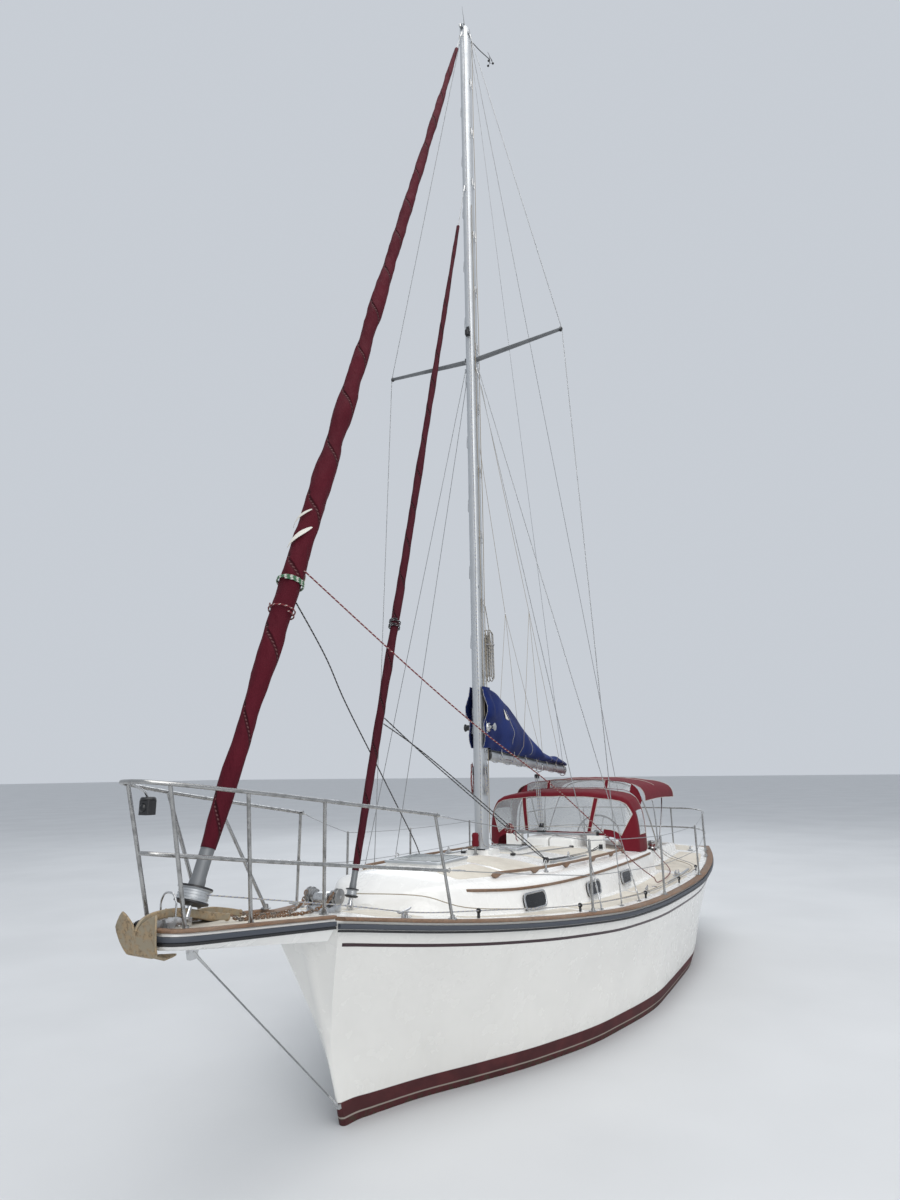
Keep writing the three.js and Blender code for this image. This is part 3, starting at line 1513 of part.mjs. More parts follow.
place("hull", hull, "gelcoat");
place("keel", keel, "antifouling");
place("cockpit_moulding", buildCockpit(), "gelcoat");
place("deck_moulding", deck, "gelcoat");
place("bow_platform", platform, "gelcoat");
place("rub_rail", rubRail, "rubber");
for (const { name, sign, capRail } of sides) {
  place(`${name}_cap_rail`, capRail, "teak");
  place(`${name}_spreader`, buildSpreader(sign), "alloy");
  place(`${name}_shrouds`, buildShrouds(sign, landing), "wire");
  place(`${name}_handrail`, buildHandrail(sign, landing), "teak");
  place(`${name}_winch`, buildWinch(sign, landing), "stainless");
  place(`${name}_locker_lid`, buildLockerLid(sign), "gelcoat");
  PORTLIGHT_ROWS.forEach(
    (row, i) => place(`${name}_portlight_${i + 1}`, portlightBox(row, sign, 0), "glazing"),
  );
}
place("bow_roller", bowRoller, "stainless");
place("bower_anchor", seatOn(ploughAnchor(BOWER_SHARE, BOWER_SHANK, 0), bowRoller), "galvanised");
place("second_anchor", seatOn(ploughAnchor(SECOND_SHARE, SECOND_SHANK, -140), platform), "galvanised");
place("windlass", buildWindlass(landing), "stainless");
place("pulpit", buildPulpit(platform, capRails), "stainless");
place("stern_rail", buildSternRail(landing, capRails), "stainless");
place("mast", buildMast(), "alloy");
place("boom", buildBoom(), "alloy", boomGroup);
place("sail_cover", buildCover(), "cover", boomGroup);
place("sail_cover_collar", buildCollar(), "cover");
place("forestay", buildStay(FORESTAY, platform), "wire");
place("inner_stay", buildStay(INNER_STAY, landing), "wire");
place("genoa_drum", spun(GENOA_DRUM, FORESTAY, FORESTAY.drumZ, 16), "alloy");
place("genoa_roll", spun(GENOA_ROLL, FORESTAY, FORESTAY.rollZ, 12), "sailcloth");
place("staysail_drum", spun(STAYSAIL_DRUM, INNER_STAY, INNER_STAY.drumZ, 14), "alloy");
place("staysail_roll", spun(STAYSAIL_ROLL, INNER_STAY, INNER_STAY.rollZ, 10), "sailcloth");
place("backstay", buildBackstay(landing), "wire");
place("bobstay", buildBobstay(hull, platform), "wire");
place("fore_hatch", buildHatchLid(FORE_HATCH), "glazing");
place("mid_hatch", buildHatchLid(MID_HATCH), "glazing");
place("sliding_hatch", buildSlidingHatch(), "gelcoat");
place("sea_hood", buildSeaHood(hoodOutside, landing), "gelcoat");
place("washboards", buildWashboards(), "teak");
place("mainsheet_traveller", buildTraveller(), "alloy");
for (const [name, { feetS, half, crowns }, canvas] of [
  ["dodger", DODGER_FRAME, dodgerCanvas],
  ["bimini", BIMINI_FRAME, biminiCanvas],
]) {
  place(`${name}_frame`, canopyFrame(feetS, half, crowns, landing, canvas), "stainless");
  place(`${name}_canvas`, canvas, "canvas");
}
place("steering_pedestal", buildPedestal(), "gelcoat");
place("steering_wheel", buildWheel(), "stainless");
place("rudder", buildRudder(), "gelcoat");
place("propeller", buildPropeller(), "bronze");
place("engine_block", buildEngine(), "iron");
place("mast_post", cut(buildMastPost(), deck.clone().translate(0, 0, -SEAT_GAP)), "alloy");

export default yacht;
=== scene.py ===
"""Looks of a long-keeled cutter-rigged sailing yacht afloat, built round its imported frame.

Metres throughout. +X is forward, +Y to port and +Z up, with the origin amidships on the centreline at the waterline.
Lengthways places are given as s, the distance aft of the stem head.
"""

from __future__ import annotations

import functools
import logging
import math
import random
from collections.abc import Callable, Iterable, Sequence
from dataclasses import dataclass, field
from enum import Enum
from typing import Any

import bmesh
import bpy
import numpy as np
from mathutils import Matrix, Quaternion, Vector

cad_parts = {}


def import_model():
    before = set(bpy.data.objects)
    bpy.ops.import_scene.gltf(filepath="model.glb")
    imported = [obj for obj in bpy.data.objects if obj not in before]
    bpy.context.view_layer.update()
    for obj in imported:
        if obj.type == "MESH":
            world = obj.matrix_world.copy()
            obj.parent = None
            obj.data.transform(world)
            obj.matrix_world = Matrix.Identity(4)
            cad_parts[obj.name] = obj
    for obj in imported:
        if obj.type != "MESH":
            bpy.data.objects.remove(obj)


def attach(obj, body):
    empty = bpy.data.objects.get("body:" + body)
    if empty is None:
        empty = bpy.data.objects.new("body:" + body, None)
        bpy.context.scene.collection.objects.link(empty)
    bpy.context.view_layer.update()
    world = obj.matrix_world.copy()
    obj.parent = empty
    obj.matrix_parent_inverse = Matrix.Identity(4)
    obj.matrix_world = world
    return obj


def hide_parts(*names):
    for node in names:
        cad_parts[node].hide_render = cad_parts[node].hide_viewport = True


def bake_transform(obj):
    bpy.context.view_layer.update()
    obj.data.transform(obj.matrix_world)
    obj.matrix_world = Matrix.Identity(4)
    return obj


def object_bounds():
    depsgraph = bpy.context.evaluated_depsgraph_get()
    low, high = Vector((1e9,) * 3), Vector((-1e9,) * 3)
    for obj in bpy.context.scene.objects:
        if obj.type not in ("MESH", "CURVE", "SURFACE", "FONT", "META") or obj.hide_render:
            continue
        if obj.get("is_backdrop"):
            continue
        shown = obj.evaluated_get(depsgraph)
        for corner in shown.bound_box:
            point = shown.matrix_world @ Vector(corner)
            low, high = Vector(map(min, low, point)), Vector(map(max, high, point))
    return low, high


LOG = logging.getLogger("yacht")
STEM_X = 4.65
TAU = 2 * math.pi
UP = Vector((0, 0, 1))
ACROSS = Vector((0, 1, 0))
AHEAD = Vector((1, 0, 0))
ASTERN = Vector((-1, 0, 0))
SIDES = {"port": 1, "starboard": -1}
Line = Callable[[float], float]


class Body(str, Enum):
    """The moving bodies of the frame that pieces ride on."""

    BOAT = "boat"
    BOOM = "boom_spar"
    GENOA = "genoa_furler"
    STAYSAIL = "staysail_furler"
    WHEEL = "wheel"
    RUDDER = "rudder_blade"
    SCREW = "screw"
    FORE_HATCH = "fore_hatch_lid"
    MID_HATCH = "mid_hatch_lid"
    SLIDE = "companion_hatch"
    PORT_LOCKER = "port_locker"
    STARBOARD_LOCKER = "starboard_locker"


# Places and curves


def at(s: float, y: float, z: float) -> Vector:
    """The point at s aft of the stem head, y to port and z over the water."""
    return Vector((STEM_X - s, y, z))


def mirrored(points: Iterable[Vector]) -> list[Vector]:
    """The same points on the other side of the centreline."""
    return [Vector((p.x, -p.y, p.z)) for p in points]


def both(port: Sequence[Vector], shared: bool = False) -> list[Vector]:
    """A section from port round to starboard.

    Args:
        port: Its port side.
        shared: Whether the port side ends on the centreline, at a point that both sides share.

    Returns:
        The whole section.
    """
    starboard = mirrored(port)
    return [*port, *reversed(starboard[:-1] if shared else starboard)]


@dataclass(frozen=True)
class Table:
    """Rows of measurements that are read between by a smooth curve without overshoot.

    Attributes:
        rows: The rows. Their first column is the key and rises from row to row.
    """

    rows: tuple[tuple[float, ...], ...]

    @functools.cached_property
    def _grid(self) -> tuple[np.ndarray, np.ndarray]:
        """The rows and the slope of each column at each row."""
        grid = np.array(self.rows, float)
        steps = np.diff(grid[:, 0])[:, None]
        rise = np.diff(grid, axis=0) / steps
        slopes = np.zeros_like(grid)
        slopes[0], slopes[-1] = rise[0], rise[-1]
        for i in range(1, len(grid) - 1):
            before, after = rise[i - 1], rise[i]
            near, far = 2 * steps[i, 0] + steps[i - 1, 0], steps[i, 0] + 2 * steps[i - 1, 0]
            same = before * after > 0
            safe_before, safe_after = np.where(same, before, 1), np.where(same, after, 1)
            slopes[i] = np.where(same, (near + far) / (near / safe_before + far / safe_after), 0)
        return grid, slopes

    def row(self, key: float) -> np.ndarray:
        """All the columns at a key.

        Args:
            key: The place between the first and the last row.

        Returns:
            The columns, the key among them.
        """
        grid, slopes = self._grid
        key = min(max(key, grid[0, 0]), grid[-1, 0])
        i = int(min(max(np.searchsorted(grid[:, 0], key) - 1, 0), len(grid) - 2))
        width = grid[i + 1, 0] - grid[i, 0]
        t = (key - grid[i, 0]) / width
        return (
            (1 + 2 * t) * (1 - t) ** 2 * grid[i]
            + t * (1 - t) ** 2 * width * slopes[i]
            + t * t * (3 - 2 * t) * grid[i + 1]
            + t * t * (t - 1) * width * slopes[i + 1]
        )

    def value(self, key: float, column: int) -> float:
        """One column at a key."""
        return float(self.row(key)[column])


def through(points: Sequence[Vector], steps: int, closed: bool = False) -> list[Vector]:
    """A smooth curve through some points.

    Args:
        points: The points that it passes through.
        steps: How many stretches each gap between two points is cut into.
        closed: Whether it comes back to its first point.

    Returns:
        The points along the curve.
    """
    count = len(points)
    found = []
    for i in range(count if closed else count - 1):
        if closed:
            a, b, c, d = (points[(i + k) % count] for k in (-1, 0, 1, 2))
        else:
            a, b, c, d = (points[min(max(i + k, 0), count - 1)] for k in (-1, 0, 1, 2))
        for step in range(steps):
            t = step / steps
            found.append(
                0.5
                * (
                    2 * b
                    + (c - a) * t
                    + (2 * a - 5 * b + 4 * c - d) * t * t
                    + (3 * b - a - 3 * c + d) * t**3
                )
            )
    return found if closed else [*found, points[-1].copy()]


def sagging(start: Vector, end: Vector, sag: float, steps: int = 12) -> list[Vector]:
    """Points of a line that hangs between two places, lowest near its middle."""
    return [
        start.lerp(end, t) - Vector((0, 0, 4 * sag * t * (1 - t)))
        for t in (i / steps for i in range(steps + 1))
    ]


def spaced(low: float, high: float, count: int) -> list[float]:
    """Evenly spaced numbers, both ends among them."""
    return [float(x) for x in np.linspace(low, high, count)]


def lengths_along(points: Sequence[Vector]) -> np.ndarray:
    """How far along a line each of its points is."""
    return np.concatenate([[0], np.cumsum([(b - a).length for a, b in zip(points, points[1:])])])


def length_of(points: Sequence[Vector]) -> float:
    """How long a line is."""
    return sum((b - a).length for a, b in zip(points, points[1:]))


def evened(curve: Sequence[Vector], count: int) -> list[tuple[float, float]]:
    """Evenly spaced points of a curve in the plane."""
    lengths = lengths_along(curve)
    wanted = np.linspace(0, lengths[-1], count)
    return list(zip(*(np.interp(wanted, lengths, [p[k] for p in curve]) for k in (0, 1))))


def flat(pairs: Iterable[tuple[float, float]]) -> list[Vector]:
    """Pairs of numbers as points in the plane."""
    return [Vector((a, b, 0)) for a, b in pairs]


def disc(radius: float, half: float) -> list[tuple[float, float]]:
    """The profile of a plain disc, by its radius and half its thickness."""
    return [(0.001, -half), (radius, -half), (radius, half), (0.001, half)]


def sheave(radius: float, groove: float, half: float) -> list[tuple[float, float]]:
    """The profile of a grooved wheel."""
    return [(0.001, -half), (radius, -half), (groove, 0), (radius, half), (0.001, half)]


# Mesh making


@dataclass
class Form:
    """Points and faces of a piece while it is being made.

    Attributes:
        points: Its points.
        faces: Its faces, as the numbers of their points.
        marks: The number of each face's finish.
        lays: Each face's lay map, which is in metres round and along a tube or loft.
    """

    points: list[Vector] = field(default_factory=list)
    faces: list[tuple[int, ...]] = field(default_factory=list)
    marks: list[int] = field(default_factory=list)
    lays: list[list[tuple[float, float]]] = field(default_factory=list)

    def face(self, corners: Sequence[int], mark: int, lay: Sequence[tuple[float, float]] | None = None) -> None:
        """Adds one face over points that are already there."""
        self.faces.append(tuple(corners))
        self.marks.append(mark)
        self.lays.append(list(lay) if lay else [(0.0, 0.0)] * len(corners))

    def add(self, other: Form, move: Matrix | None = None) -> Form:
        """Adds another form, moved by a matrix if there is one."""
        first = len(self.points)
        self.points += [move @ p if move else p.copy() for p in other.points]
        self.faces += [tuple(first + i for i in face) for face in other.faces]
        self.marks += other.marks
        self.lays += other.lays
        return self

    def skin(
        self,
        rows: Sequence[Sequence[Vector]],
        ring: bool = True,
        caps: bool = True,
        mark: int = 0,
        closed: bool = False,
    ) -> Form:
        """Adds a skin over rows of equally many points.

        Args:
            rows: The rows, one after another.
            ring: Whether each row closes on itself.
            caps: Whether the first and the last ring are filled.
            mark: The number of its finish.
            closed: Whether the last row joins the first.

        Returns:
            This form.
        """
        count, first = len(rows[0]), len(self.points)
        self.points += [Vector(p) for row in rows for p in row]
        along = [0.0]
        for before, after in zip(rows, rows[1:]):
            along.append(along[-1] + (Vector(after[0]) - Vector(before[0])).length)
        around = [0.0]
        middle = rows[len(rows) // 2]
        for i in range(count):
            around.append(around[-1] + (Vector(middle[(i + 1) % count]) - Vector(middle[i])).length)
        for r in range(len(rows) if closed else len(rows) - 1):
            low, high = first + r * count, first + ((r + 1) % len(rows)) * count
            v_low, v_high = along[r], along[r + 1] if r + 1 < len(rows) else along[r] + 0.1
            for i in range(count if ring else count - 1):
                j = (i + 1) % count
                lay = [(around[i], v_low), (around[i + 1], v_low), (around[i + 1], v_high), (around[i], v_high)]
                self.face((low + i, low + j, high + j, high + i), mark, lay)
        if ring and caps and not closed:
            last = first + (len(rows) - 1) * count
            self.face(range(first + count - 1, first - 1, -1), mark)
            self.face(range(last, last + count), mark)
        return self

    def tube(
        self,
        path: Sequence[Vector],
        radius: float | Sequence[float],
        sides: int = 10,
        mark: int = 0,
        closed: bool = False,
        flat: float = 1.0,
    ) -> Form:
        """Adds a round tube along a path.

        Args:
            path: The points of its centreline.
            radius: Its radius, or one for each point.
            sides: How many sides it has.
            mark: The number of its finish.
            closed: Whether the last point joins the first.
            flat: How thick it is across its second direction, as a share of the first.

        Returns:
            This form.
        """
        points = [Vector(p) for p in path]
        radii = [radius] * len(points) if isinstance(radius, (int, float)) else list(radius)
        rows = []
        across: Vector | None = None
        for i, point in enumerate(points):
            if closed:
                run = points[(i + 1) % len(points)] - points[i - 1]
            else:
                run = points[min(i + 1, len(points) - 1)] - points[max(i - 1, 0)]
            run.normalize()
            if across is None:
                across = run.orthogonal()
                level = run.cross(UP)
                if level.length > 0.05:
                    across = level
            across = (across - run * across.dot(run)).normalized()
            second = run.cross(across)
            rows.append(
                [
                    point
                    + radii[i] * (math.cos(TAU * k / sides) * across + flat * math.sin(TAU * k / sides) * second)
                    for k in range(sides)
                ]
            )
        return self.skin(rows, mark=mark, closed=closed)

    def lathe(
        self,
        profile: Sequence[tuple[float, float]],
        origin: Vector,
        axis: Vector = UP,
        sides: int = 24,
        mark: int = 0,
    ) -> Form:
        """Adds a solid turned round an axis.

        Args:
            profile: Its radius and height, from one end to the other.
            origin: The point that heights are counted from.
            axis: The direction of the axis.
            sides: How many sides it has.
            mark: The number of its finish.

        Returns:
            This form.
        """
        turn = UP.rotation_difference(Vector(axis).normalized())
        rows = [
            [
                Vector(origin)
                + turn @ Vector((max(r, 1e-4) * math.cos(TAU * k / sides), max(r, 1e-4) * math.sin(TAU * k / sides), h))
                for k in range(sides)
            ]
            for r, h in profile
        ]
        return self.skin(rows, mark=mark)

    def box(self, low: Sequence[float], high: Sequence[float], mark: int = 0) -> Form:
        """Adds a box between two corners."""
        (x0, y0, z0), (x1, y1, z1) = low, high
        ring = [(x0, y0), (x1, y0), (x1, y1), (x0, y1)]
        return self.skin([[Vector((x, y, z)) for x, y in ring] for z in (z0, z1)], mark=mark)

    def block(self, s: tuple[float, float], y: tuple[float, float], z: tuple[float, float], mark: int = 0) -> Form:
        """Adds a box by its extents along s, y and z, where y may be given from either end."""
        return self.box((STEM_X - s[1], min(y), z[0]), (STEM_X - s[0], max(y), z[1]), mark)

    def prism(self, outline: Sequence[tuple[float, float]], heights: Sequence[float], mark: int = 0) -> Form:
        """Adds a prism of one outline in s and y, through some heights."""
        return self.skin([[at(s, y, z) for s, y in outline] for z in heights], mark=mark)

    def rod(self, start: Vector, end: Vector, radius: float, sides: int = 10, mark: int = 0) -> Form:
        """Adds a straight round bar."""
        return self.tube([start, end], radius, sides, mark)

    def ball(self, centre: Vector, radius: float, mark: int = 0, squeeze: float = 1.0, sides: int = 16) -> Form:
        """Adds a ball, or a pebble if it is squeezed in height."""
        steps = sides // 2
        profile = [
            (radius * math.sin(math.pi * i / steps), -radius * squeeze * math.cos(math.pi * i / steps))
            for i in range(steps + 1)
        ]
        return self.lathe(profile, centre, sides=sides, mark=mark)

    def plate(self, outline: Sequence[Vector], thickness: Vector, mark: int = 0) -> Form:
        """Adds a plate of one outline, as thick as a vector says, centred on the outline."""
        return self.skin([[p - thickness / 2 for p in outline], [p + thickness / 2 for p in outline]], mark=mark)


def round_corners(outline: Sequence[tuple[float, float]], radius: float, steps: int = 4) -> list[tuple[float, float]]:
    """An outline in the plane with each corner rounded.

    Args:
        outline: Its corners in order.
        radius: The radius of the rounding.
        steps: How many stretches each rounding has.

    Returns:
        The rounded outline.
    """
    found = []
    count = len(outline)
    for i in range(count):
        here = Vector(outline[i])
        to_last, to_next = Vector(outline[i - 1]) - here, Vector(outline[(i + 1) % count]) - here
        reach = min(radius, 0.48 * to_last.length, 0.48 * to_next.length)
        a, b = here + to_last.normalized() * reach, here + to_next.normalized() * reach
        for k in range(steps + 1):
            t = k / steps
            found.append(tuple((1 - t) ** 2 * a + 2 * t * (1 - t) * here + t * t * b))
    return found


def rounded_box(
    x: tuple[float, float], y: tuple[float, float], radius: float, steps: int = 4
) -> list[tuple[float, float]]:
    """A rounded box in the plane, by its extents."""
    return round_corners([(x[0], y[0]), (x[1], y[0]), (x[1], y[1]), (x[0], y[1])], radius, steps)


def placed(made: bpy.types.Object) -> bpy.types.Object:
    """The object, put into the scene."""
    bpy.context.scene.collection.objects.link(made)
    return made


def applied(made: bpy.types.Object) -> bpy.types.Object:
    """The object with its modifiers worked into its mesh."""
    graph = bpy.context.evaluated_depsgraph_get()
    graph.update()
    mesh = bpy.data.meshes.new_from_object(made.evaluated_get(graph), preserve_all_data_layers=True, depsgraph=graph)
    made.modifiers.clear()
    made.data = mesh
    return made


def mesh_object(name: str, form: Form, outward: bool = True) -> bpy.types.Object:
    """A mesh object of a form, with no finish yet.

    Args:
        name: The name of the object.
        form: Its points and faces.
        outward: Whether its faces are turned to face outwards.

    Returns:
        The object.
    """
    mesh = bpy.data.meshes.new(name)
    mesh.from_pydata([tuple(p) for p in form.points], [], form.faces)
    mesh.polygons.foreach_set("material_index", form.marks)
    layer = mesh.uv_layers.new(name="Lay")
    layer.uv.foreach_set("vector", [x for lay in form.lays for corner in lay for x in corner])
    mesh.validate()
    if outward:
        work = bmesh.new()
        work.from_mesh(mesh)
        bmesh.ops.recalc_face_normals(work, faces=work.faces)
        work.to_mesh(mesh)
        work.free()
    return placed(bpy.data.objects.new(name, mesh))


def carved(made: bpy.types.Object, *tools: Form, join: bool = False) -> bpy.types.Object:
    """The object with some solids cut out of it one after another, or joined to it.

    Args:
        made: The object.
        *tools: The solids, none of which runs through itself.
        join: Whether they are joined on instead of cut away.

    Returns:
        The same object.
    """
    for form in tools:
        tool = mesh_object("carving_tool", form)
        work = made.modifiers.new("carve", "BOOLEAN")
        work.operation = "UNION" if join else "DIFFERENCE"
        work.solver = "EXACT"
        work.object = tool
        bpy.context.view_layer.update()
        applied(made)
        bpy.data.objects.remove(tool)
    return made


@dataclass
class Piece:
    """How one piece is finished off: what it wears, how its edges are broken and what it rides on.

    Attributes:
        name: The name of the piece.
        finishes: Its finishes, in the order of the form's marks.
        body: The body that it rides on.
        stands_for: The nodes of the frame that it replaces.
        smooth: Edges sharper than this angle, in degrees, stay sharp.
        bevel: The width of the rounding of its edges.
        outward: Whether its faces are turned to face outwards.
        bend: For cloth or rope that crosses a joint, the bodies at its two ends and where it starts and stops to turn;
            these are not used, and a piece that has one is put on no body.
    """

    name: str
    finishes: Sequence[Any]
    body: Body = Body.BOAT
    stands_for: Sequence[str] = ()
    smooth: float = 38.0
    bevel: float = 0.0
    outward: bool = True
    bend: tuple[Body, Body, Vector, Vector] | None = None

    def make(self, form: Form) -> bpy.types.Object:
        """Makes the piece of a form."""
        return self.finish(mesh_object(self.name, form, self.outward))

    def finish(self, made: bpy.types.Object) -> bpy.types.Object:
        """Dresses an object, rounds its edges and puts it on its body, or, if it has a bend, bakes its place into its
        mesh.

        Args:
            made: The object, in place.

        Returns:
            The same object.
        """
        made.name = self.name
        for finish in self.finishes:
            made.data.materials.append(finish.material())
        made.data.shade_smooth()
        made.data.set_sharp_from_angle(angle=math.radians(self.smooth))
        if self.bevel:
            rounding = made.modifiers.new("edges", "BEVEL")
            rounding.width = self.bevel
            rounding.segments = 2
            rounding.limit_method = "ANGLE"
            rounding.angle_limit = math.radians(max(self.smooth, 40))
            rounding.use_clamp_overlap = True
            rounding.harden_normals = False
        if self.bend:
            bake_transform(applied(made))
        else:
            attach(made, self.body.value)
        if self.stands_for:
            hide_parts(*self.stands_for)
        LOG.info("%s: %d faces", self.name, len(made.data.polygons))
        return made


# Finishes


class Sock:
    """The output of a node, with the sums that the finishes write with it."""

    def __init__(self, shade: Shade, socket: bpy.types.NodeSocket) -> None:
        """Keeps the socket and the tree that it is in."""
        self.shade = shade
        self.socket = socket

    def _sum(self, operation: str, *values: Sock | float) -> Sock:
        """One Math node."""
        return self.shade.node("ShaderNodeMath", {"operation": operation}, dict(enumerate(values)))

    def __add__(self, other: Sock | float) -> Sock:
        """The sum."""
        return self._sum("ADD", self, other)

    def __radd__(self, other: float) -> Sock:
        """The sum with a number before it."""
        return self._sum("ADD", other, self)

    def __sub__(self, other: Sock | float) -> Sock:
        """The difference."""
        return self._sum("SUBTRACT", self, other)

    def __rsub__(self, other: float) -> Sock:
        """The difference from a number."""
        return self._sum("SUBTRACT", other, self)

    def __mul__(self, other: Sock | float) -> Sock:
        """The product."""
        return self._sum("MULTIPLY", self, other)

    def __rmul__(self, other: float) -> Sock:
        """The product with a number before it."""
        return self._sum("MULTIPLY", other, self)

    def __truediv__(self, other: Sock | float) -> Sock:
        """The quotient."""
        return self._sum("DIVIDE", self, other)

    def power(self, exponent: float) -> Sock:
        """This to a power."""
        return self._sum("POWER", self, exponent)

    def wave(self) -> Sock:
        """A wave from 0 to 1 that goes round once for each whole number."""
        return 0.5 + 0.5 * self.shade.node("ShaderNodeMath", {"operation": "SINE"}, {0: self * TAU})

    def part(self) -> Sock:
        """What is left over a whole number."""
        return self._sum("FRACT", self)

    def size(self) -> Sock:
        """The number without its sign."""
        return self._sum("ABSOLUTE", self)

    def ramp(self, low: float, high: float, to_low: float = 0.0, to_high: float = 1.0) -> Sock:
        """A smooth step from one number to another between two places.

        Args:
            low: Where it leaves the first number.
            high: Where it reaches the second.
            to_low: The first number.
            to_high: The second number.

        Returns:
            The stepped value.
        """
        sockets = {"Value": self, "From Min": low, "From Max": high, "To Min": to_low, "To Max": to_high}
        return self.shade.node("ShaderNodeMapRange", {"interpolation_type": "SMOOTHSTEP"}, sockets)


Colour = tuple[float, float, float]


class Shade:
    """A material while its nodes are being written."""

    def __init__(self, name: str) -> None:
        """Starts a material with one shader."""
        self.material = bpy.data.materials.new(name)
        self.material.use_nodes = True
        self.tree = self.material.node_tree
        self.tree.nodes.clear()
        self.output = self.tree.nodes.new("ShaderNodeOutputMaterial")
        self.shader = self.tree.nodes.new("ShaderNodeBsdfPrincipled")
        self.tree.links.new(self.shader.outputs[0], self.output.inputs["Surface"])

    def feed(self, socket: bpy.types.NodeSocket, value: Any) -> None:
        """Links a socket, or sets its number or colour."""
        if isinstance(value, Sock):
            self.tree.links.new(value.socket, socket)
        elif isinstance(value, (tuple, list)) and socket.type == "RGBA":
            socket.default_value = (*value[:3], 1.0)
        else:
            socket.default_value = value

    def node(
        self,
        kind: str,
        settings: dict[str, Any] | None = None,
        sockets: dict[str | int, Any] | None = None,
        out: str | int = 0,
    ) -> Sock:
        """Adds a node.

        Args:
            kind: The type of the node.
            settings: Its own settings, which are set first. A ramp's stops go under "stops".
            sockets: The values or links of its sockets, by name or number.
            out: Which of its outputs is wanted.

        Returns:
            That output.
        """
        made = self.tree.nodes.new(kind)
        for key, value in (settings or {}).items():
            if key == "stops":
                ramp = made.color_ramp
                while len(ramp.elements) < len(value):
                    ramp.elements.new(0.5)
                for element, (place, colour) in zip(ramp.elements, value):
                    element.position = place
                    element.color = (*colour, 1.0)
            else:
                setattr(made, key, value)
        for key, value in (sockets or {}).items():
            self.feed(made.inputs[key], value)
        return Sock(self, made.outputs[out])

    def place(self) -> Sock:
        """Where the surface is in the yacht's own frame."""
        return self.node("ShaderNodeTexCoord", out="Object")

    def lay(self) -> tuple[Sock, Sock]:
        """How far round and along a tube or loft the surface is, in metres."""
        return self.split(self.node("ShaderNodeUVMap", {"uv_map": "Lay"}))[:2]

    def split(self, vector: Sock) -> tuple[Sock, Sock, Sock]:
        """The three parts of a vector."""
        made = self.tree.nodes.new("ShaderNodeSeparateXYZ")
        self.feed(made.inputs[0], vector)
        return tuple(Sock(self, made.outputs[i]) for i in range(3))

    def stretched(self, vector: Sock, scale: Sequence[float]) -> Sock:
        """A vector with each part multiplied by its own number."""
        return self.node("ShaderNodeVectorMath", {"operation": "MULTIPLY"}, {0: vector, 1: tuple(scale)})

    def noise(self, scale: float, detail: float = 3.0, where: Sock | None = None, rough: float = 0.55) -> Sock:
        """Cloudy noise from about 0.3 to 0.7, by its scale per metre."""
        sockets = {"Vector": where or self.place(), "Scale": scale, "Detail": detail, "Roughness": rough}
        return self.node("ShaderNodeTexNoise", {}, sockets, out="Fac")

    def blend(self, share: Sock | float, first: Sock | Colour, second: Sock | Colour, how: str = "MIX") -> Sock:
        """Two colours mixed by a share."""
        made = self.tree.nodes.new("ShaderNodeMix")
        made.data_type = "RGBA"
        made.blend_type = how
        self.feed(made.inputs[0], share)
        self.feed(made.inputs[6], first)
        self.feed(made.inputs[7], second)
        return Sock(self, made.outputs[2])

    def bump(self, height: Sock, depth: float, strength: float = 1.0) -> Sock:
        """A normal from heights between 0 and 1 that stand for a depth in metres."""
        return self.node("ShaderNodeBump", {}, {"Strength": strength, "Distance": depth, "Height": height})

    def dress(self, **sockets: Any) -> bpy.types.Material:
        """Sets the shader's sockets.

        Args:
            **sockets: The sockets by name, with _ for a space.

        Returns:
            The material.
        """
        for key, value in sockets.items():
            self.feed(self.shader.inputs[key.replace("_", " ")], value)
        return self.material


MADE: dict[Any, bpy.types.Material] = {}


@dataclass(frozen=True)
class Finish:
    """What a surface is made of.

    Attributes:
        name: The finish's own name.
        slot: The kind of material that it is; not used.
        colour: Its main colour.
    """

    name: str
    slot: str
    colour: Colour

    def material(self) -> bpy.types.Material:
        """The material of this finish, made once."""
        if self not in MADE:
            MADE[self] = self.write(Shade(self.name))
        return MADE[self]

    def write(self, shade: Shade) -> bpy.types.Material:
        """Writes the finish's nodes.

        Args:
            shade: The material that they go into.

        Returns:
            That material, dressed.
        """
        raise NotImplementedError

    def shadow(self, share: float) -> Colour:
        """Its colour, darkened to a share."""
        return tuple(share * c for c in self.colour)


@dataclass(frozen=True)
class Gelcoat(Finish):
    """Glossy moulded gelcoat with faint chalking and grime.

    Attributes:
        roughness: How rough it is where it is clean.
        grime: How strong its stains are.
    """

    roughness: float = 0.22
    grime: float = 0.04

    def tint(self, shade: Shade) -> Sock:
        """Its colour with chalking and grime."""
        cloud = shade.noise(1.7, 4).ramp(0.35, 0.7)
        stain = shade.noise(9.0, 5, shade.stretched(shade.place(), (1, 1, 0.25))).ramp(0.52, 0.78)
        clean = shade.blend(cloud, self.colour, self.shadow(0.96))
        return shade.blend(stain * self.grime, clean, (0.36, 0.33, 0.26))

    def write(self, shade: Shade) -> bpy.types.Material:
        """Writes the nodes."""
        ripple = shade.noise(55.0, 2)
        rough = shade.noise(6.0, 4).ramp(0.3, 0.75, self.roughness, self.roughness + 0.1)
        return shade.dress(
            Base_Color=self.tint(shade),
            Roughness=rough,
            Normal=shade.bump(ripple, 0.0006, 0.07),
            Coat_Weight=0.25,
            Coat_Roughness=0.12,
        )


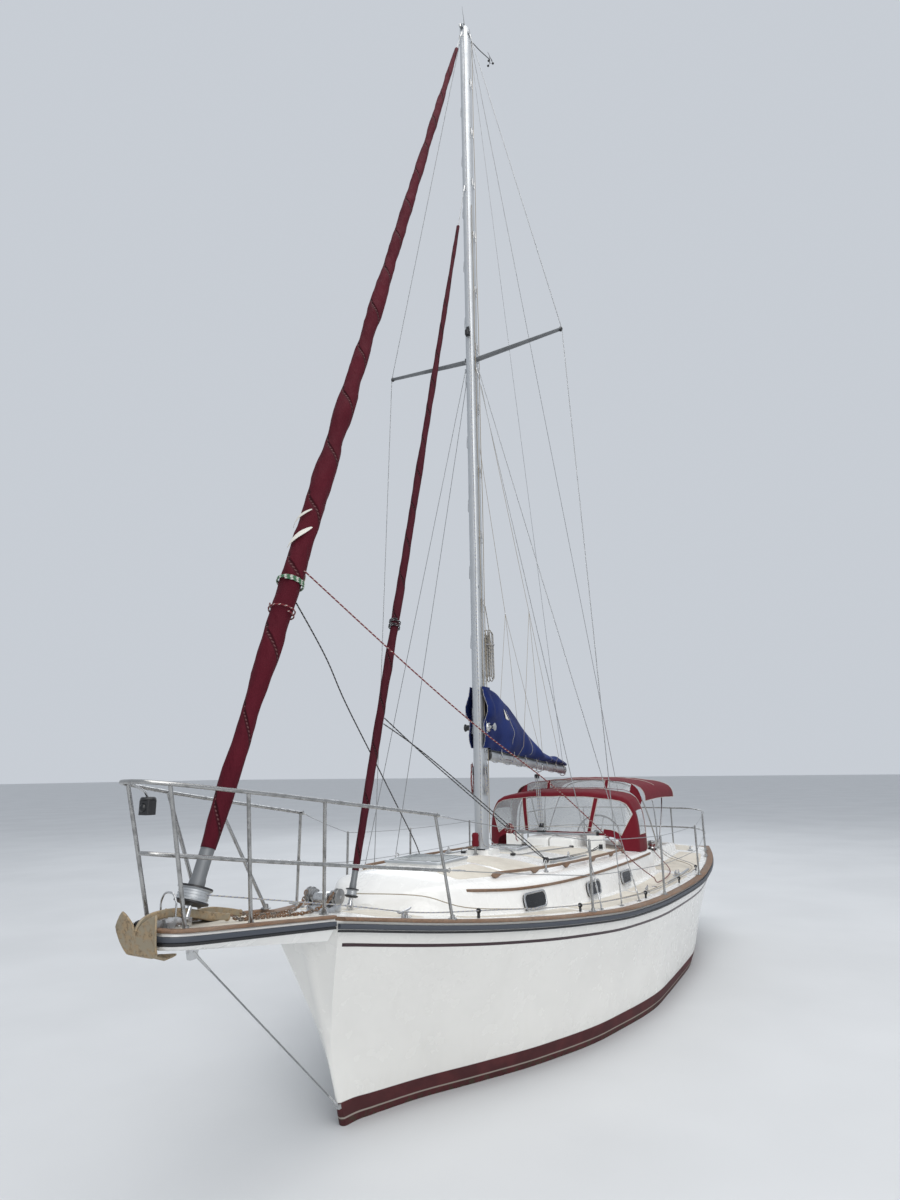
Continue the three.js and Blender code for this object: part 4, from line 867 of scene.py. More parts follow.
@dataclass(frozen=True)
class HullPaint(Gelcoat):
    """Topsides with dark red antifouling below a boot line, weed at the water and run marks.

    Attributes:
        below: The colour of the antifouling.
        line_z: The height of its edge.
    """

    below: Colour = (0.055, 0.008, 0.01)
    line_z: float = 0.17

    def write(self, shade: Shade) -> bpy.types.Material:
        """Writes the nodes."""
        z = shade.split(shade.place())[2]
        runs = shade.noise(14.0, 3, shade.stretched(shade.place(), (1, 1, 0.06))).ramp(0.5, 0.8)
        low = z.ramp(0.15, 0.75, 1.0, 0.0)
        topsides = shade.blend(runs * low * 0.08, self.tint(shade), (0.42, 0.38, 0.28))
        patch = shade.noise(5.0, 5).ramp(0.35, 0.7)
        antifouling = shade.blend(patch, self.below, (0.085, 0.014, 0.016))
        slime = shade.noise(22.0, 4).ramp(0.45, 0.62) * z.ramp(0.02, 0.09, 1.0, 0.0)
        antifouling = shade.blend(slime * 0.7, antifouling, (0.04, 0.04, 0.02))
        stripe = z.ramp(0.05, 0.053) * z.ramp(0.062, 0.065, 1.0, 0.0)
        antifouling = shade.blend(stripe * 0.6, antifouling, (0.5, 0.46, 0.4))
        under = z.ramp(self.line_z - 0.003, self.line_z + 0.003, 1.0, 0.0)
        rough = shade.noise(6.0, 4).ramp(0.3, 0.75, self.roughness, self.roughness + 0.08)
        return shade.dress(
            Base_Color=shade.blend(under, topsides, antifouling),
            Roughness=rough * (1 - under) + under * 0.78,
            Normal=shade.bump(shade.noise(48.0, 2) + under * shade.noise(160.0, 3), 0.0006, 0.07),
            Coat_Weight=(1 - under) * 0.3,
            Coat_Roughness=0.1,
        )


@dataclass(frozen=True)
class NonSkid(Finish):
    """Moulded non-skid deck panels: a fine pebble pattern with painted shade in its lows, and patches of grime."""

    def write(self, shade: Shade) -> bpy.types.Material:
        """Writes the nodes."""
        sockets = {"Vector": shade.place(), "Scale": 230.0}
        pebble = shade.node("ShaderNodeTexVoronoi", {"feature": "F1"}, sockets, out="Distance")
        grime = shade.noise(4.0, 6).ramp(0.4, 0.75)
        # Painted shade: the lows of the pebble pattern are darkened.
        tint = shade.blend(pebble.ramp(0.3, 0.75) * 0.35, self.colour, self.shadow(0.62))
        tint = shade.blend(grime * 0.3, tint, (0.34, 0.3, 0.23))
        return shade.dress(Base_Color=tint, Roughness=0.72, Normal=shade.bump(1 - pebble, 0.0012, 0.7))


@dataclass(frozen=True)
class Teak(Finish):
    """Oiled and weathered teak.

    Attributes:
        grain: How the grain runs, as the scale of the noise along x, y and z.
        grey: How far it has silvered.
    """

    grain: tuple[float, float, float] = (0.05, 1.0, 1.0)
    grey: float = 0.25

    def write(self, shade: Shade) -> bpy.types.Material:
        """Writes the nodes."""
        run = shade.stretched(shade.place(), self.grain)
        figure = shade.noise(95.0, 6, run, 0.65)
        pores = shade.noise(420.0, 3, run).ramp(0.56, 0.7)
        tint = shade.blend(figure.ramp(0.3, 0.7), self.shadow(0.62), tuple(1.25 * c for c in self.colour))
        tint = shade.blend(pores * 0.55, tint, self.shadow(0.3))
        silver = shade.noise(2.6, 5).ramp(0.35, 0.75) * self.grey
        tint = shade.blend(silver, tint, (0.33, 0.29, 0.24))
        rough = figure.ramp(0.3, 0.7, 0.5, 0.78)
        return shade.dress(Base_Color=tint, Roughness=rough, Normal=shade.bump(figure - pores * 0.6, 0.0009, 0.6))


@dataclass(frozen=True)
class Metal(Finish):
    """Bare or plated metal, from mirror polished tube to dull castings.

    Attributes:
        roughness: How rough it is where it is bright.
        dull: How much rougher and darker its tarnished patches are.
        speckle: The scale of those patches, per metre.
        shine: How metallic it is.
    """

    roughness: float = 0.16
    dull: float = 0.2
    speckle: float = 18.0
    shine: float = 1.0

    def write(self, shade: Shade) -> bpy.types.Material:
        """Writes the nodes."""
        patch = shade.noise(self.speckle, 5).ramp(0.42, 0.72)
        brush = shade.noise(210.0, 2, shade.stretched(shade.place(), (1, 1, 0.15)))
        return shade.dress(
            Base_Color=shade.blend(patch * 0.8, self.colour, self.shadow(1 - 1.4 * self.dull)),
            Metallic=self.shine,
            Roughness=patch * self.dull + brush * 0.05 + self.roughness,
            Normal=shade.bump(brush, 0.0002, 0.25),
        )


@dataclass(frozen=True)
class Rust(Finish):
    """Old galvanising: tan rust over dull grey zinc.

    Attributes:
        zinc: The colour of the zinc that is left.
        share: How much of the surface has rusted.
    """

    zinc: Colour = (0.3, 0.29, 0.26)
    share: float = 0.6

    def write(self, shade: Shade) -> bpy.types.Material:
        """Writes the nodes."""
        cloud = shade.noise(16.0, 7, rough=0.65)
        rusty = cloud.ramp(0.62 - 0.3 * self.share, 0.78 - 0.3 * self.share)
        deep = shade.noise(60.0, 5).ramp(0.45, 0.7)
        rust = shade.blend(deep, self.colour, self.shadow(0.45))
        return shade.dress(
            Base_Color=shade.blend(rusty, self.zinc, rust),
            Metallic=0.45 * (1 - rusty),
            Roughness=rusty * 0.3 + 0.58,
            Normal=shade.bump(shade.noise(130.0, 5) + rusty * 0.4, 0.0012, 0.8),
        )


@dataclass(frozen=True)
class Laid(Finish):
    """Wire or rope whose strands run round it, by its lay map, with painted shade in the grooves between them.

    Attributes:
        pitch: How far apart the strands are along it, in metres.
        turns: How many strands cross a metre round it.
        braided: Whether strands run both ways.
        fleck: The colour of the tracer strands.
        fleck_share: How much of it they take.
        metal: How metallic it is.
        roughness: How rough it is.
    """

    pitch: float = 0.012
    turns: float = 120.0
    braided: bool = True
    fleck: Colour = (0.1, 0.1, 0.1)
    fleck_share: float = 0.0
    metal: float = 0.0
    roughness: float = 0.8

    def write(self, shade: Shade) -> bpy.types.Material:
        """Writes the nodes."""
        around, along = shade.lay()
        one = (around * self.turns + along / self.pitch).wave()
        height = one
        if self.braided:
            height = one * (around * self.turns - along / self.pitch).wave()
        # Painted shade: the grooves between the strands are darkened to half.
        tint = shade.blend(height, self.shadow(0.5), self.colour)
        if self.fleck_share:
            tracer = (around * (self.turns / 4) + along / (4 * self.pitch)).wave()
            tint = shade.blend(tracer.ramp(1 - self.fleck_share, 1.05 - self.fleck_share), tint, self.fleck)
        worn = shade.noise(7.0, 4).ramp(0.4, 0.75)
        tint = shade.blend(worn * 0.35, tint, self.shadow(0.6))
        return shade.dress(
            Base_Color=tint,
            Metallic=self.metal,
            Roughness=self.roughness,
            Normal=shade.bump(height, 0.0012, 0.8),
        )


@dataclass(frozen=True)
class Cloth(Finish):
    """Woven acrylic or sail cover cloth, faded by the sun.

    Attributes:
        faded: The colour where the sun has bleached it.
        thread: The threads of its weave to a metre.
        fade: How much it has bleached.
    """

    faded: Colour = (0.3, 0.05, 0.07)
    thread: float = 520.0
    fade: float = 0.4

    def write(self, shade: Shade) -> bpy.types.Material:
        """Writes the nodes."""
        x, y, z = shade.split(shade.place())
        weave = ((x + z * 0.7) * self.thread).wave() * ((y + z * 0.7) * self.thread).wave()
        sun = shade.noise(1.3, 5).ramp(0.3, 0.75)
        streak = shade.noise(7.0, 5, shade.stretched(shade.place(), (1, 1, 0.3))).ramp(0.4, 0.8)
        tint = shade.blend(sun * self.fade, self.colour, self.faded)
        tint = shade.blend(streak * 0.35, tint, self.shadow(0.55))
        tint = shade.blend(weave * 0.3, tint, self.shadow(0.45))
        crease = shade.noise(11.0, 4)
        return shade.dress(
            Base_Color=tint,
            Roughness=0.86,
            Normal=shade.bump(crease + weave * 0.05, 0.008, 0.5),
            Sheen_Weight=0.03,
            Sheen_Roughness=0.5,
            Specular_IOR_Level=0.25,
        )


@dataclass(frozen=True)
class RolledSail(Cloth):
    """A sail's sun strip rolled on its stay: seams spiral round it by its lay map, with painted shade in the fold along
    each seam.

    Attributes:
        seam: How far the seams are apart along the stay, in metres.
        girth: How far it is round the roll, in metres.
        stitching: The colour of the seams' thread.
    """

    seam: float = 0.62
    girth: float = 0.5
    stitching: Colour = (0.5, 0.42, 0.4)

    def write(self, shade: Shade) -> bpy.types.Material:
        """Writes the nodes."""
        around, along = shade.lay()
        spiral = (along / self.seam + around / self.girth).part()
        wander = shade.noise(3.0, 4) * 0.12
        edge = (spiral + wander - 0.5).size()
        fold = edge.ramp(0.0, 0.06, 1.0, 0.0)
        thread = edge.ramp(0.012, 0.02, 1.0, 0.0) * (along * 42).wave().ramp(0.4, 0.6)
        sun = shade.noise(2.2, 5).ramp(0.3, 0.75)
        tint = shade.blend(sun * self.fade, self.colour, self.faded)
        # Painted shade: the fold along each seam is darkened.
        tint = shade.blend(fold * 0.7, tint, self.shadow(0.35))
        tint = shade.blend(thread * 0.5, tint, self.stitching)
        crease = shade.noise(9.0, 5, shade.stretched(shade.place(), (1, 1, 0.35)))
        return shade.dress(
            Base_Color=tint,
            Roughness=0.8,
            Normal=shade.bump(crease - fold * 0.5, 0.035, 1.0),
            Specular_IOR_Level=0.2,
        )


@dataclass(frozen=True)
class Clear(Finish):
    """Clear vinyl or tinted glazing that shows what is behind it.

    Attributes:
        cover: How much of what is behind it hides.
        roughness: How rough it is.
        haze: How strong its haze and scratches are.
        gloss: How much it mirrors the sky.
    """

    cover: float = 0.3
    roughness: float = 0.08
    haze: float = 0.3
    gloss: float = 0.6

    def write(self, shade: Shade) -> bpy.types.Material:
        """Writes the nodes."""
        cloud = shade.noise(5.0, 5).ramp(0.35, 0.75)
        tint = shade.blend(cloud * self.haze, self.colour, tuple(min(1.0, 1.6 * c + 0.05) for c in self.colour))
        return shade.dress(
            Base_Color=tint,
            Roughness=cloud * 0.12 + self.roughness,
            Alpha=cloud * 0.15 * self.haze + self.cover,
            Normal=shade.bump(shade.noise(9.0, 3), 0.004, 0.35),
            Coat_Weight=self.gloss,
            Coat_Roughness=0.04,
            Specular_IOR_Level=0.8 * self.gloss,
        )


@dataclass(frozen=True)
class Moulded(Finish):
    """Rubber or plastic with a fine moulded texture.

    Attributes:
        roughness: How rough it is.
        scuff: How strong its scuffs are.
    """

    roughness: float = 0.5
    scuff: float = 0.4

    def write(self, shade: Shade) -> bpy.types.Material:
        """Writes the nodes."""
        scuffs = shade.noise(26.0, 6, rough=0.7).ramp(0.5, 0.75)
        chalk = tuple(min(1.0, 1.5 * c + 0.06) for c in self.colour)
        return shade.dress(
            Base_Color=shade.blend(scuffs * self.scuff, self.colour, chalk),
            Roughness=scuffs * 0.2 + self.roughness,
            Normal=shade.bump(shade.noise(330.0, 3), 0.0004, 0.5),
        )


HULL_WHITE = HullPaint("topsides", "gelcoat", (0.8, 0.79, 0.755))
ANTIFOULING = HullPaint("antifouling_paint", "antifouling", (0.78, 0.765, 0.72))
WHITE = Gelcoat("moulded_white", "gelcoat", (0.86, 0.855, 0.83))
DECK_BEIGE = NonSkid("deck_non_skid", "gelcoat", (0.74, 0.69, 0.6))
TEAK = Teak("weathered_teak", "teak", (0.2, 0.115, 0.068))
TEAK_UPRIGHT = Teak("upright_teak", "teak", (0.17, 0.09, 0.05), grain=(1.0, 0.06, 1.0), grey=0.1)
CHROME = Metal("polished_stainless", "stainless", (0.58, 0.585, 0.59), roughness=0.13, dull=0.2)
# A darker copy of the polished stainless for the rails: painted shade, standing in for the dark surroundings that the
# rails reflect.
SHADED_RAIL_STEEL = Metal("rail_stainless", "stainless", (0.4, 0.4, 0.395), roughness=0.2, dull=0.35)
DARK_STEEL = Metal("tarnished_stainless", "stainless", (0.36, 0.36, 0.36), roughness=0.3, dull=0.3)
ALLOY = Metal("anodised_alloy", "alloy", (0.52, 0.54, 0.56), roughness=0.42, dull=0.08, speckle=3.0, shine=0.75)
# A darkened copy of the anodised alloy. On the spreaders it is painted shade, for their undersides seen from below; the
# furling drums' collars wear it as well.
DARK_AND_SHADED_ALLOY = Metal("dark_and_shaded_alloy", "alloy", (0.2, 0.21, 0.22), roughness=0.5, dull=0.2, speckle=3.0, shine=0.5)
ZINC = Rust("galvanised_anchor", "galvanised", (0.34, 0.25, 0.15), zinc=(0.33, 0.28, 0.2), share=0.7)
CHAIN_ZINC = Rust("galvanised_chain", "galvanised", (0.22, 0.12, 0.065), zinc=(0.2, 0.18, 0.16), share=0.75)
WIRE = Laid("stay_wire", "wire", (0.5, 0.51, 0.52), 0.03, 330.0, False, metal=1.0, roughness=0.34)
GENOA_CLOTH = RolledSail(
    "genoa_sun_strip", "sailcloth", (0.06, 0.0015, 0.008), (0.1, 0.004, 0.014), stitching=(0.2, 0.1, 0.1)
)
STAYSAIL_CLOTH = RolledSail(
    "staysail_sun_strip",
    "sailcloth",
    (0.05, 0.004, 0.01),
    (0.08, 0.009, 0.017),
    seam=0.42,
    girth=0.26,
    stitching=(0.12, 0.07, 0.07),
)
SAIL_WHITE = Cloth("white_sail_patch", "sailcloth", (0.72, 0.7, 0.64), (0.6, 0.58, 0.52))
COVER_BLUE = Cloth("blue_cover_cloth", "cover", (0.002, 0.01, 0.08), (0.004, 0.03, 0.2), fade=0.6)
CANVAS = Cloth("burgundy_canvas", "canvas", (0.13, 0.004, 0.012), (0.19, 0.01, 0.022), fade=0.6)
PIPING = Cloth("pale_piping", "canvas", (0.6, 0.56, 0.5), (0.5, 0.46, 0.42))
VINYL = Clear("clear_vinyl", "canvas", (0.42, 0.44, 0.45), cover=0.3, haze=0.4)
DARK_GLASS = Moulded("dark_window", "glazing", (0.006, 0.007, 0.009), roughness=0.2, scuff=0.0)
SMOKED = Clear("smoked_acrylic", "glazing", (0.045, 0.06, 0.06), cover=0.92, roughness=0.16, haze=0.2, gloss=0.12)
SLATE = Moulded("slate_rub_strip", "rubber", (0.05, 0.058, 0.074), roughness=0.5, scuff=0.2)
BLACK = Moulded("black_plastic", "rubber", (0.014, 0.014, 0.016), roughness=0.42, scuff=0.25)
COVE = Moulded("cove_stripe_paint", "gelcoat", (0.03, 0.008, 0.014), roughness=0.3, scuff=0.1)
BRONZE = Metal("cast_bronze", "bronze", (0.36, 0.22, 0.09), roughness=0.38, dull=0.3)
GREEN_IRON = Moulded("engine_paint", "iron", (0.2, 0.22, 0.23), roughness=0.45, scuff=0.5)
WHITE_ROPE = Laid("white_braid", "sailcloth", (0.62, 0.6, 0.54), fleck=(0.06, 0.1, 0.3), fleck_share=0.12)
TAN_ROPE = Laid("laid_rope", "sailcloth", (0.42, 0.36, 0.27), 0.02, 90.0, False)
PALE_ROPE = Laid("pale_halyard", "sailcloth", (0.5, 0.46, 0.39), fleck=(0.12, 0.12, 0.14), fleck_share=0.16)
RED_ROPE = Laid("red_sheet", "sailcloth", (0.24, 0.02, 0.03), fleck=(0.5, 0.45, 0.4), fleck_share=0.12)
DARK_ROPE = Laid("dark_sheet", "sailcloth", (0.03, 0.03, 0.035), fleck=(0.3, 0.3, 0.3), fleck_share=0.1)
GREEN_ROPE = Laid("green_sheet", "sailcloth", (0.08, 0.24, 0.12), fleck=(0.6, 0.6, 0.55), fleck_share=0.35)


# Lines of the yacht

# Sheer and plan of the gunwale: s, half-breadth, z
GUNWALE = Table(
    (
        (0.0, 0.315, 1.515),
        (0.15, 0.372, 1.492),
        (0.3, 0.455, 1.469),
        (0.8, 0.735, 1.396),
        (1.4, 1.012, 1.322),
        (2.2, 1.325, 1.247),
        (3.2, 1.592, 1.18),
        (4.5, 1.7, 1.13),
        (6.0, 1.75, 1.115),
        (7.2, 1.69, 1.128),
        (8.3, 1.56, 1.158),
        (8.9, 1.446, 1.182),
        (9.3, 1.36, 1.2),
    )
)

# Hull sections below it: s, rake, then y and z of the topsides, the waterline and the bilge, and z of the bottom
SECTIONS = Table(
    (
        (0.0, 0.56, 0.034, 0.62, 0.028, 0.0, 0.022, -0.06, -0.1),
        (0.15, 0.545, 0.092, 0.64, 0.052, 0.0, 0.036, -0.09, -0.14),
        (0.3, 0.51, 0.19, 0.65, 0.1, 0.0, 0.066, -0.11, -0.185),
        (0.8, 0.4, 0.44, 0.64, 0.275, 0.0, 0.17, -0.2, -0.32),
        (1.4, 0.28, 0.735, 0.63, 0.56, 0.0, 0.37, -0.3, -0.46),
        (2.2, 0.12, 1.075, 0.62, 0.91, 0.0, 0.64, -0.39, -0.58),
        (3.2, 0.0, 1.385, 0.62, 1.245, 0.0, 0.92, -0.45, -0.68),
        (4.5, 0.0, 1.59, 0.62, 1.48, 0.0, 1.12, -0.49, -0.74),
        (6.0, 0.0, 1.63, 0.62, 1.495, 0.0, 1.11, -0.46, -0.7),
        (7.2, 0.0, 1.535, 0.62, 1.32, 0.0, 0.9, -0.34, -0.52),
        (8.3, -0.04, 1.335, 0.62, 0.94, 0.06, 0.56, -0.11, -0.22),
        (8.9, -0.12, 1.18, 0.64, 0.64, 0.18, 0.33, 0.05, -0.01),
        (9.3, -0.23, 1.06, 0.7, 0.6, 0.38, 0.3, 0.26, 0.2),
    )
)

DRAFT = 1.22
# The rudder stock's axis: s and z of its foot, and how far aft it leans over each metre of height
STOCK_FOOT = (8.155, -1.176)
STOCK_RAKE = 0.484

# Keel fin: s, tilt, then y and z of its top and its middle, and y of its foot
FIN = Table(
    (
        (0.7, 0.0, 0.055, -0.06, 0.042, -0.18, 0.03, -0.262),
        (1.4, 0.0, 0.17, -0.2, 0.092, -0.43, 0.052, -0.6),
        (2.2, 0.0, 0.33, -0.29, 0.132, -0.64, 0.072, -0.88),
        (3.2, 0.0, 0.43, -0.34, 0.162, -0.79, 0.092, -1.14),
        (3.9, 0.0, 0.455, -0.35, 0.172, -0.86, 0.102, -DRAFT),
        (5.2, 0.0, 0.45, -0.35, 0.165, -0.88, 0.102, -DRAFT),
        (6.8, 0.1, 0.35, -0.29, 0.13, -0.8, 0.096, -DRAFT),
        (7.6, 0.35, 0.19, -0.16, 0.084, -0.72, 0.074, -DRAFT),
        (8.084, 0.484, 0.044, -0.13, 0.036, -0.7, 0.034, -DRAFT),
    )
)

# Coachroof: s, base y, roof edge y, roof edge z, crown z
TRUNK = Table(
    (
        (0.845, 0.11, 0.07, 1.462, 1.478),
        (0.94, 0.345, 0.27, 1.53, 1.56),
        (1.08, 0.545, 0.455, 1.582, 1.64),
        (1.25, 0.665, 0.59, 1.588, 1.688),
        (1.6, 0.805, 0.74, 1.564, 1.694),
        (2.2, 0.962, 0.9, 1.534, 1.678),
        (3.0, 1.082, 1.024, 1.503, 1.648),
        (4.0, 1.15, 1.092, 1.48, 1.606),
        (5.0, 1.17, 1.11, 1.466, 1.552),
        (6.2, 1.15, 1.092, 1.44, 1.508),
    )
)
CABIN_AFT = 6.2
DECK_INSET = 0.078
MAST_S = 3.06
TRAVELLER_S = 5.35
PEDESTAL_S = 7.3


@dataclass(frozen=True)
class HatchPlace:
    """Where a deck hatch is.

    Attributes:
        fore: Its fore end.
        aft: Its after end.
        half: Half its width.
        seat: The height that its lid sits at.
        wall: The thickness of its coaming.
    """

    fore: float
    aft: float
    half: float
    seat: float
    wall: float


FORE_HATCH = HatchPlace(1.56, 2.13, 0.285, 1.708, 0.045)
MID_HATCH = HatchPlace(3.5, 3.94, 0.22, 1.646, 0.04)


def gunwale(s: float) -> tuple[float, float]:
    """Half-breadth and height of the gunwale."""
    row = GUNWALE.row(s)
    return float(row[1]), float(row[2])


def deck_z(s: float, y: float) -> float:
    """Height of the deck's top."""
    half, z = gunwale(s)
    half -= DECK_INSET
    return z + 0.02 + 0.066 * half / 1.67 * (1 - (y / half) ** 2)


def roof_z(s: float, y: float) -> float:
    """Height of the coachroof's top."""
    row = TRUNK.row(s)
    share = min(abs(y) / row[2], 1.0)
    return float(row[4] - (row[4] - row[3]) * share * share)


def section_curve(s: float, steps: int) -> list[Vector]:
    """The port side of a hull section in y and z, from the gunwale to the centreline, before its rake."""
    row = SECTIONS.row(s)
    return through(flat([gunwale(s), *zip(row[2:8:2], row[3:8:2]), (0.0, row[8])]), steps)


def raked(s: float, y: float, z: float) -> Vector:
    """The point of a hull section, moved along by the section's rake."""
    top_z = gunwale(s)[1]
    return at(s + SECTIONS.value(s, 1) * max(0.0, top_z - z) / top_z, y, z)


def hull_point(s: float, z: float) -> Vector:
    """A point of the port topsides at a section and a height, its rake included."""
    curve = section_curve(s, 12)
    low = next(i for i, p in enumerate(curve) if p.y <= z or i == len(curve) - 1)
    a, b = curve[max(low - 1, 0)], curve[low]
    share = 0.0 if abs(a.y - b.y) < 1e-9 else min(max((a.y - z) / (a.y - b.y), 0.0), 1.0)
    return raked(s, a.x + share * (b.x - a.x), z)


@dataclass
class Stage:
    """Floor, soft studio light and the camera at the photograph's place.

    Attributes:
        camera_at: Where the camera stands.
        look: Its level direction.
        pitch: How far it looks up, in degrees.
        roll: How far it leans, in degrees.
        focal: Its focal length over the height of the frame.
    """

    camera_at: Vector = field(default_factory=lambda: Vector((9.035, 3.541, 2.508)))
    look: Vector = field(default_factory=lambda: Vector((-0.8859, -0.4639, 0.0)))
    pitch: float = 13.47
    roll: float = -0.69
    focal: float = 720.3 / 1200

    def camera(self) -> None:
        """Makes the camera."""
        data = bpy.data.cameras.new("camera")
        data.sensor_width = 36.0
        data.lens = 36.0 * self.focal
        data.clip_end = 500.0
        made = placed(bpy.data.objects.new("camera", data))
        level = self.look.normalized()
        side = level.cross(UP)
        pitch, roll = math.radians(self.pitch), math.radians(self.roll)
        ahead = math.cos(pitch) * level + math.sin(pitch) * UP
        above = math.cos(pitch) * UP - math.sin(pitch) * level
        right = math.cos(roll) * side + math.sin(roll) * above
        top = math.cos(roll) * above - math.sin(roll) * side
        turn = Matrix((right, top, -ahead)).transposed()
        made.matrix_world = Matrix.Translation(self.camera_at) @ turn.to_4x4()
        bpy.context.scene.camera = made

    def light(self, name: str, place: Sequence[float], size: float, power: float, tint: Colour) -> None:
        """Makes one large soft lamp that points at the yacht."""
        data = bpy.data.lights.new(name, "AREA")
        data.shape = "SQUARE"
        data.size = size
        data.energy = power
        data.color = tint
        made = placed(bpy.data.objects.new(name, data))
        made.location = place
        made.rotation_euler = (Vector((0, 0, 2)) - Vector(place)).to_track_quat("-Z", "Y").to_euler()

    def build(self) -> None:
        """Makes the floor, the lamps and the camera."""
        self.camera()
        scene = bpy.context.scene
        scene.view_settings.view_transform = "Standard"
        world = bpy.data.worlds.new("studio")
        world.use_nodes = True
        world.node_tree.nodes["Background"].inputs["Color"].default_value = (0.8, 0.85, 0.92, 1)
        world.node_tree.nodes["Background"].inputs["Strength"].default_value = 0.72
        scene.world = world
        self.light("sky_lamp", (6.0, 6.0, 26.0), 22.0, 3300.0, (1.0, 0.98, 0.95))
        self.light("port_lamp", (16.0, 16.0, 12.0), 14.0, 1900.0, (1.0, 0.98, 0.95))
        self.light("quarter_lamp", (-18.0, -10.0, 14.0), 14.0, 900.0, (0.94, 0.97, 1.0))
        floor = mesh_object("floor", Form().box((-300, -300, -0.02), (300, 300, 0.0)))
        shade = Shade("pale_floor")
        speck = shade.noise(0.4, 3).ramp(0.3, 0.7)
        tint = shade.blend(speck, (0.6, 0.61, 0.62), (0.64, 0.65, 0.66))
        floor.data.materials.append(shade.dress(Base_Color=tint, Roughness=0.7))
        floor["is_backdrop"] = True


@dataclass
class Hull:
    """The hull, its keel and what is let into it.

    Attributes:
        stations: How many sections the skin has.
        girth: How many points each section has on one side.
    """

    stations: int = 72
    girth: int = 26

    def half_section(self, s: float) -> list[Vector]:
        """The port side of one section, from the gunwale to the centreline."""
        return [raked(s, y, z) for y, z in evened(section_curve(s, 14), self.girth)]

    def stem(self, share: float) -> list[Vector]:
        """The rounded nose ahead of the first full section, its share of the full width given."""
        found = []
        for p in self.half_section(0.02):
            forward = 0.02 * (1 - share)
            flare = max(0.0, min(1.0, (p.z - 1.33) / 0.1))
            width = share + (1 - share) * flare
            narrow = min(p.y, 0.035 + 0.03 * max(0.0, p.z / 1.35) + 0.3 * flare)
            found.append(Vector((p.x + forward, narrow * width, p.z)))
        return found

    def outside(self) -> Form:
        """The skin of the hull, closed across the deck."""
        places = [0.03, 0.06, 0.1, 0.15, 0.2, 0.25, *spaced(0.3, 9.3, self.stations)]
        halves = [self.stem(0.25), self.stem(0.7), self.stem(1.0), *(self.half_section(s) for s in places)]
        rows = [both(half, shared=True) for half in halves]
        form = Form().skin(rows, caps=False)
        count = len(rows[0])
        for first, flip in ((0, False), ((len(rows) - 1) * count, True)):
            for i in range(count // 2):
                corners = [first + i, first + i + 1, first + count - 2 - i, first + count - 1 - i]
                corners = list(dict.fromkeys(corners))
                form.face(corners[::-1] if flip else corners, 0)
        return form

    def fin(self) -> Form:
        """The keel fin down to its foot."""
        rows = []
        for s in spaced(0.7, 8.084, 44):
            _, tilt, top_y, top_z, mid_y, mid_z, foot_y, foot_z = FIN.row(s)
            curve = through(flat([(top_y, top_z), (mid_y, mid_z), (foot_y, foot_z)]), 6)
            half = [at(s + tilt * (p.y + DRAFT), p.x, p.y) for p in curve]
            rows.append(both(half))
        return Form().skin(rows)

    def wells(self) -> list[Form]:
        """The cabin, the forepeak and the well for the cockpit moulding, as solids to cut away."""
        return [
            Form().block((2.7, 6.0), (-0.8, 0.8), (-0.22, 1.9)),
            Form().block((1.5, 2.71), (-0.43, 0.43), (0.56, 1.9)),
            Form().block((6.2, 8.5), (-1.0, 1.0), (0.4, 1.9)),
            Form().rod(self.on_stock(-0.33), self.on_stock(0.068), 0.036, 20),
        ]

    def liner(self) -> None:
        """The cockpit moulding: seats, footwell and the lockers under the seats."""
        rows = []
        for s in (6.2003, 6.6, 7.2, 7.7, 8.3, 8.4997):
            z = gunwale(s)[1] - 0.0004
            rows.append([at(s, 0.9997, 0.4003), at(s, 0.9997, z), at(s, -0.9997, z), at(s, -0.9997, 0.4003)])
        made = mesh_object("cockpit_liner", Form().skin(rows))
        cuts = [((6.3, 8.4), (-0.9, 0.9), 0.93, 0.06), ((6.38, 8.15), (-0.4, 0.4), 0.48, 0.05)]
        for (fore, aft), (low, high), floor, radius in cuts:
            outline = rounded_box((fore, aft), (low, high), radius, 5)
            carved(made, Form().prism(outline, (floor, 1.9)))
        for sides in ((0.5, 0.84), (-0.84, -0.5)):
            carved(made, Form().block((6.52, 7.9), sides, (0.44, 0.94)))
        Piece("cockpit_liner", [WHITE], stands_for=["cockpit_moulding"], smooth=30, bevel=0.006).finish(made)

    def keel(self) -> None:
        """The long keel with its propeller aperture, heel strap and stern tube."""
        made = mesh_object("long_keel", self.fin())
        outline = [(8.0, -0.822), (8.0, -0.31), (8.72, -0.31), (8.72, -0.822)]
        corners = [at(s, 0, z) for s, z in round_corners(outline, 0.12, 6)]
        carved(
            made,
            Form().plate(corners, Vector((0, 0.26, 0))),
            Form().rod(self.on_stock(-0.36), self.on_stock(0.068), 0.036, 20),
        )
        extra = Form()
        extra.block((7.98, 8.19), (-0.024, 0.024), (-DRAFT, -1.177))
        extra.rod(at(7.8, 0, -0.56), at(8.04, 0, -0.56), 0.026, 20)
        self.absorb(made, [mesh_object("keel_fittings", extra)])
        Piece("long_keel", [ANTIFOULING], stands_for=["keel"], smooth=32).finish(made)

    def build(self) -> None:
        """Makes the hull, the keel and the cockpit moulding."""
        made = carved(mesh_object("canoe_body", self.outside()), *self.wells())
        Piece("canoe_body", [HULL_WHITE], stands_for=["hull"], smooth=32).finish(made)
        self.keel()
        self.liner()

    @staticmethod
    def on_stock(z: float) -> Vector:
        """The point of the rudder stock's axis at a height."""
        return at(STOCK_FOOT[0] + STOCK_RAKE * (z - STOCK_FOOT[1]), 0, z)

    @staticmethod
    def absorb(made: bpy.types.Object, others: Sequence[bpy.types.Object]) -> None:
        """Adds the meshes of other objects to one and removes them."""
        work = bmesh.new()
        for source in (made, *others):
            work.from_mesh(source.data)
        work.to_mesh(made.data)
        work.free()
        for other in others:
            bpy.data.objects.remove(other)


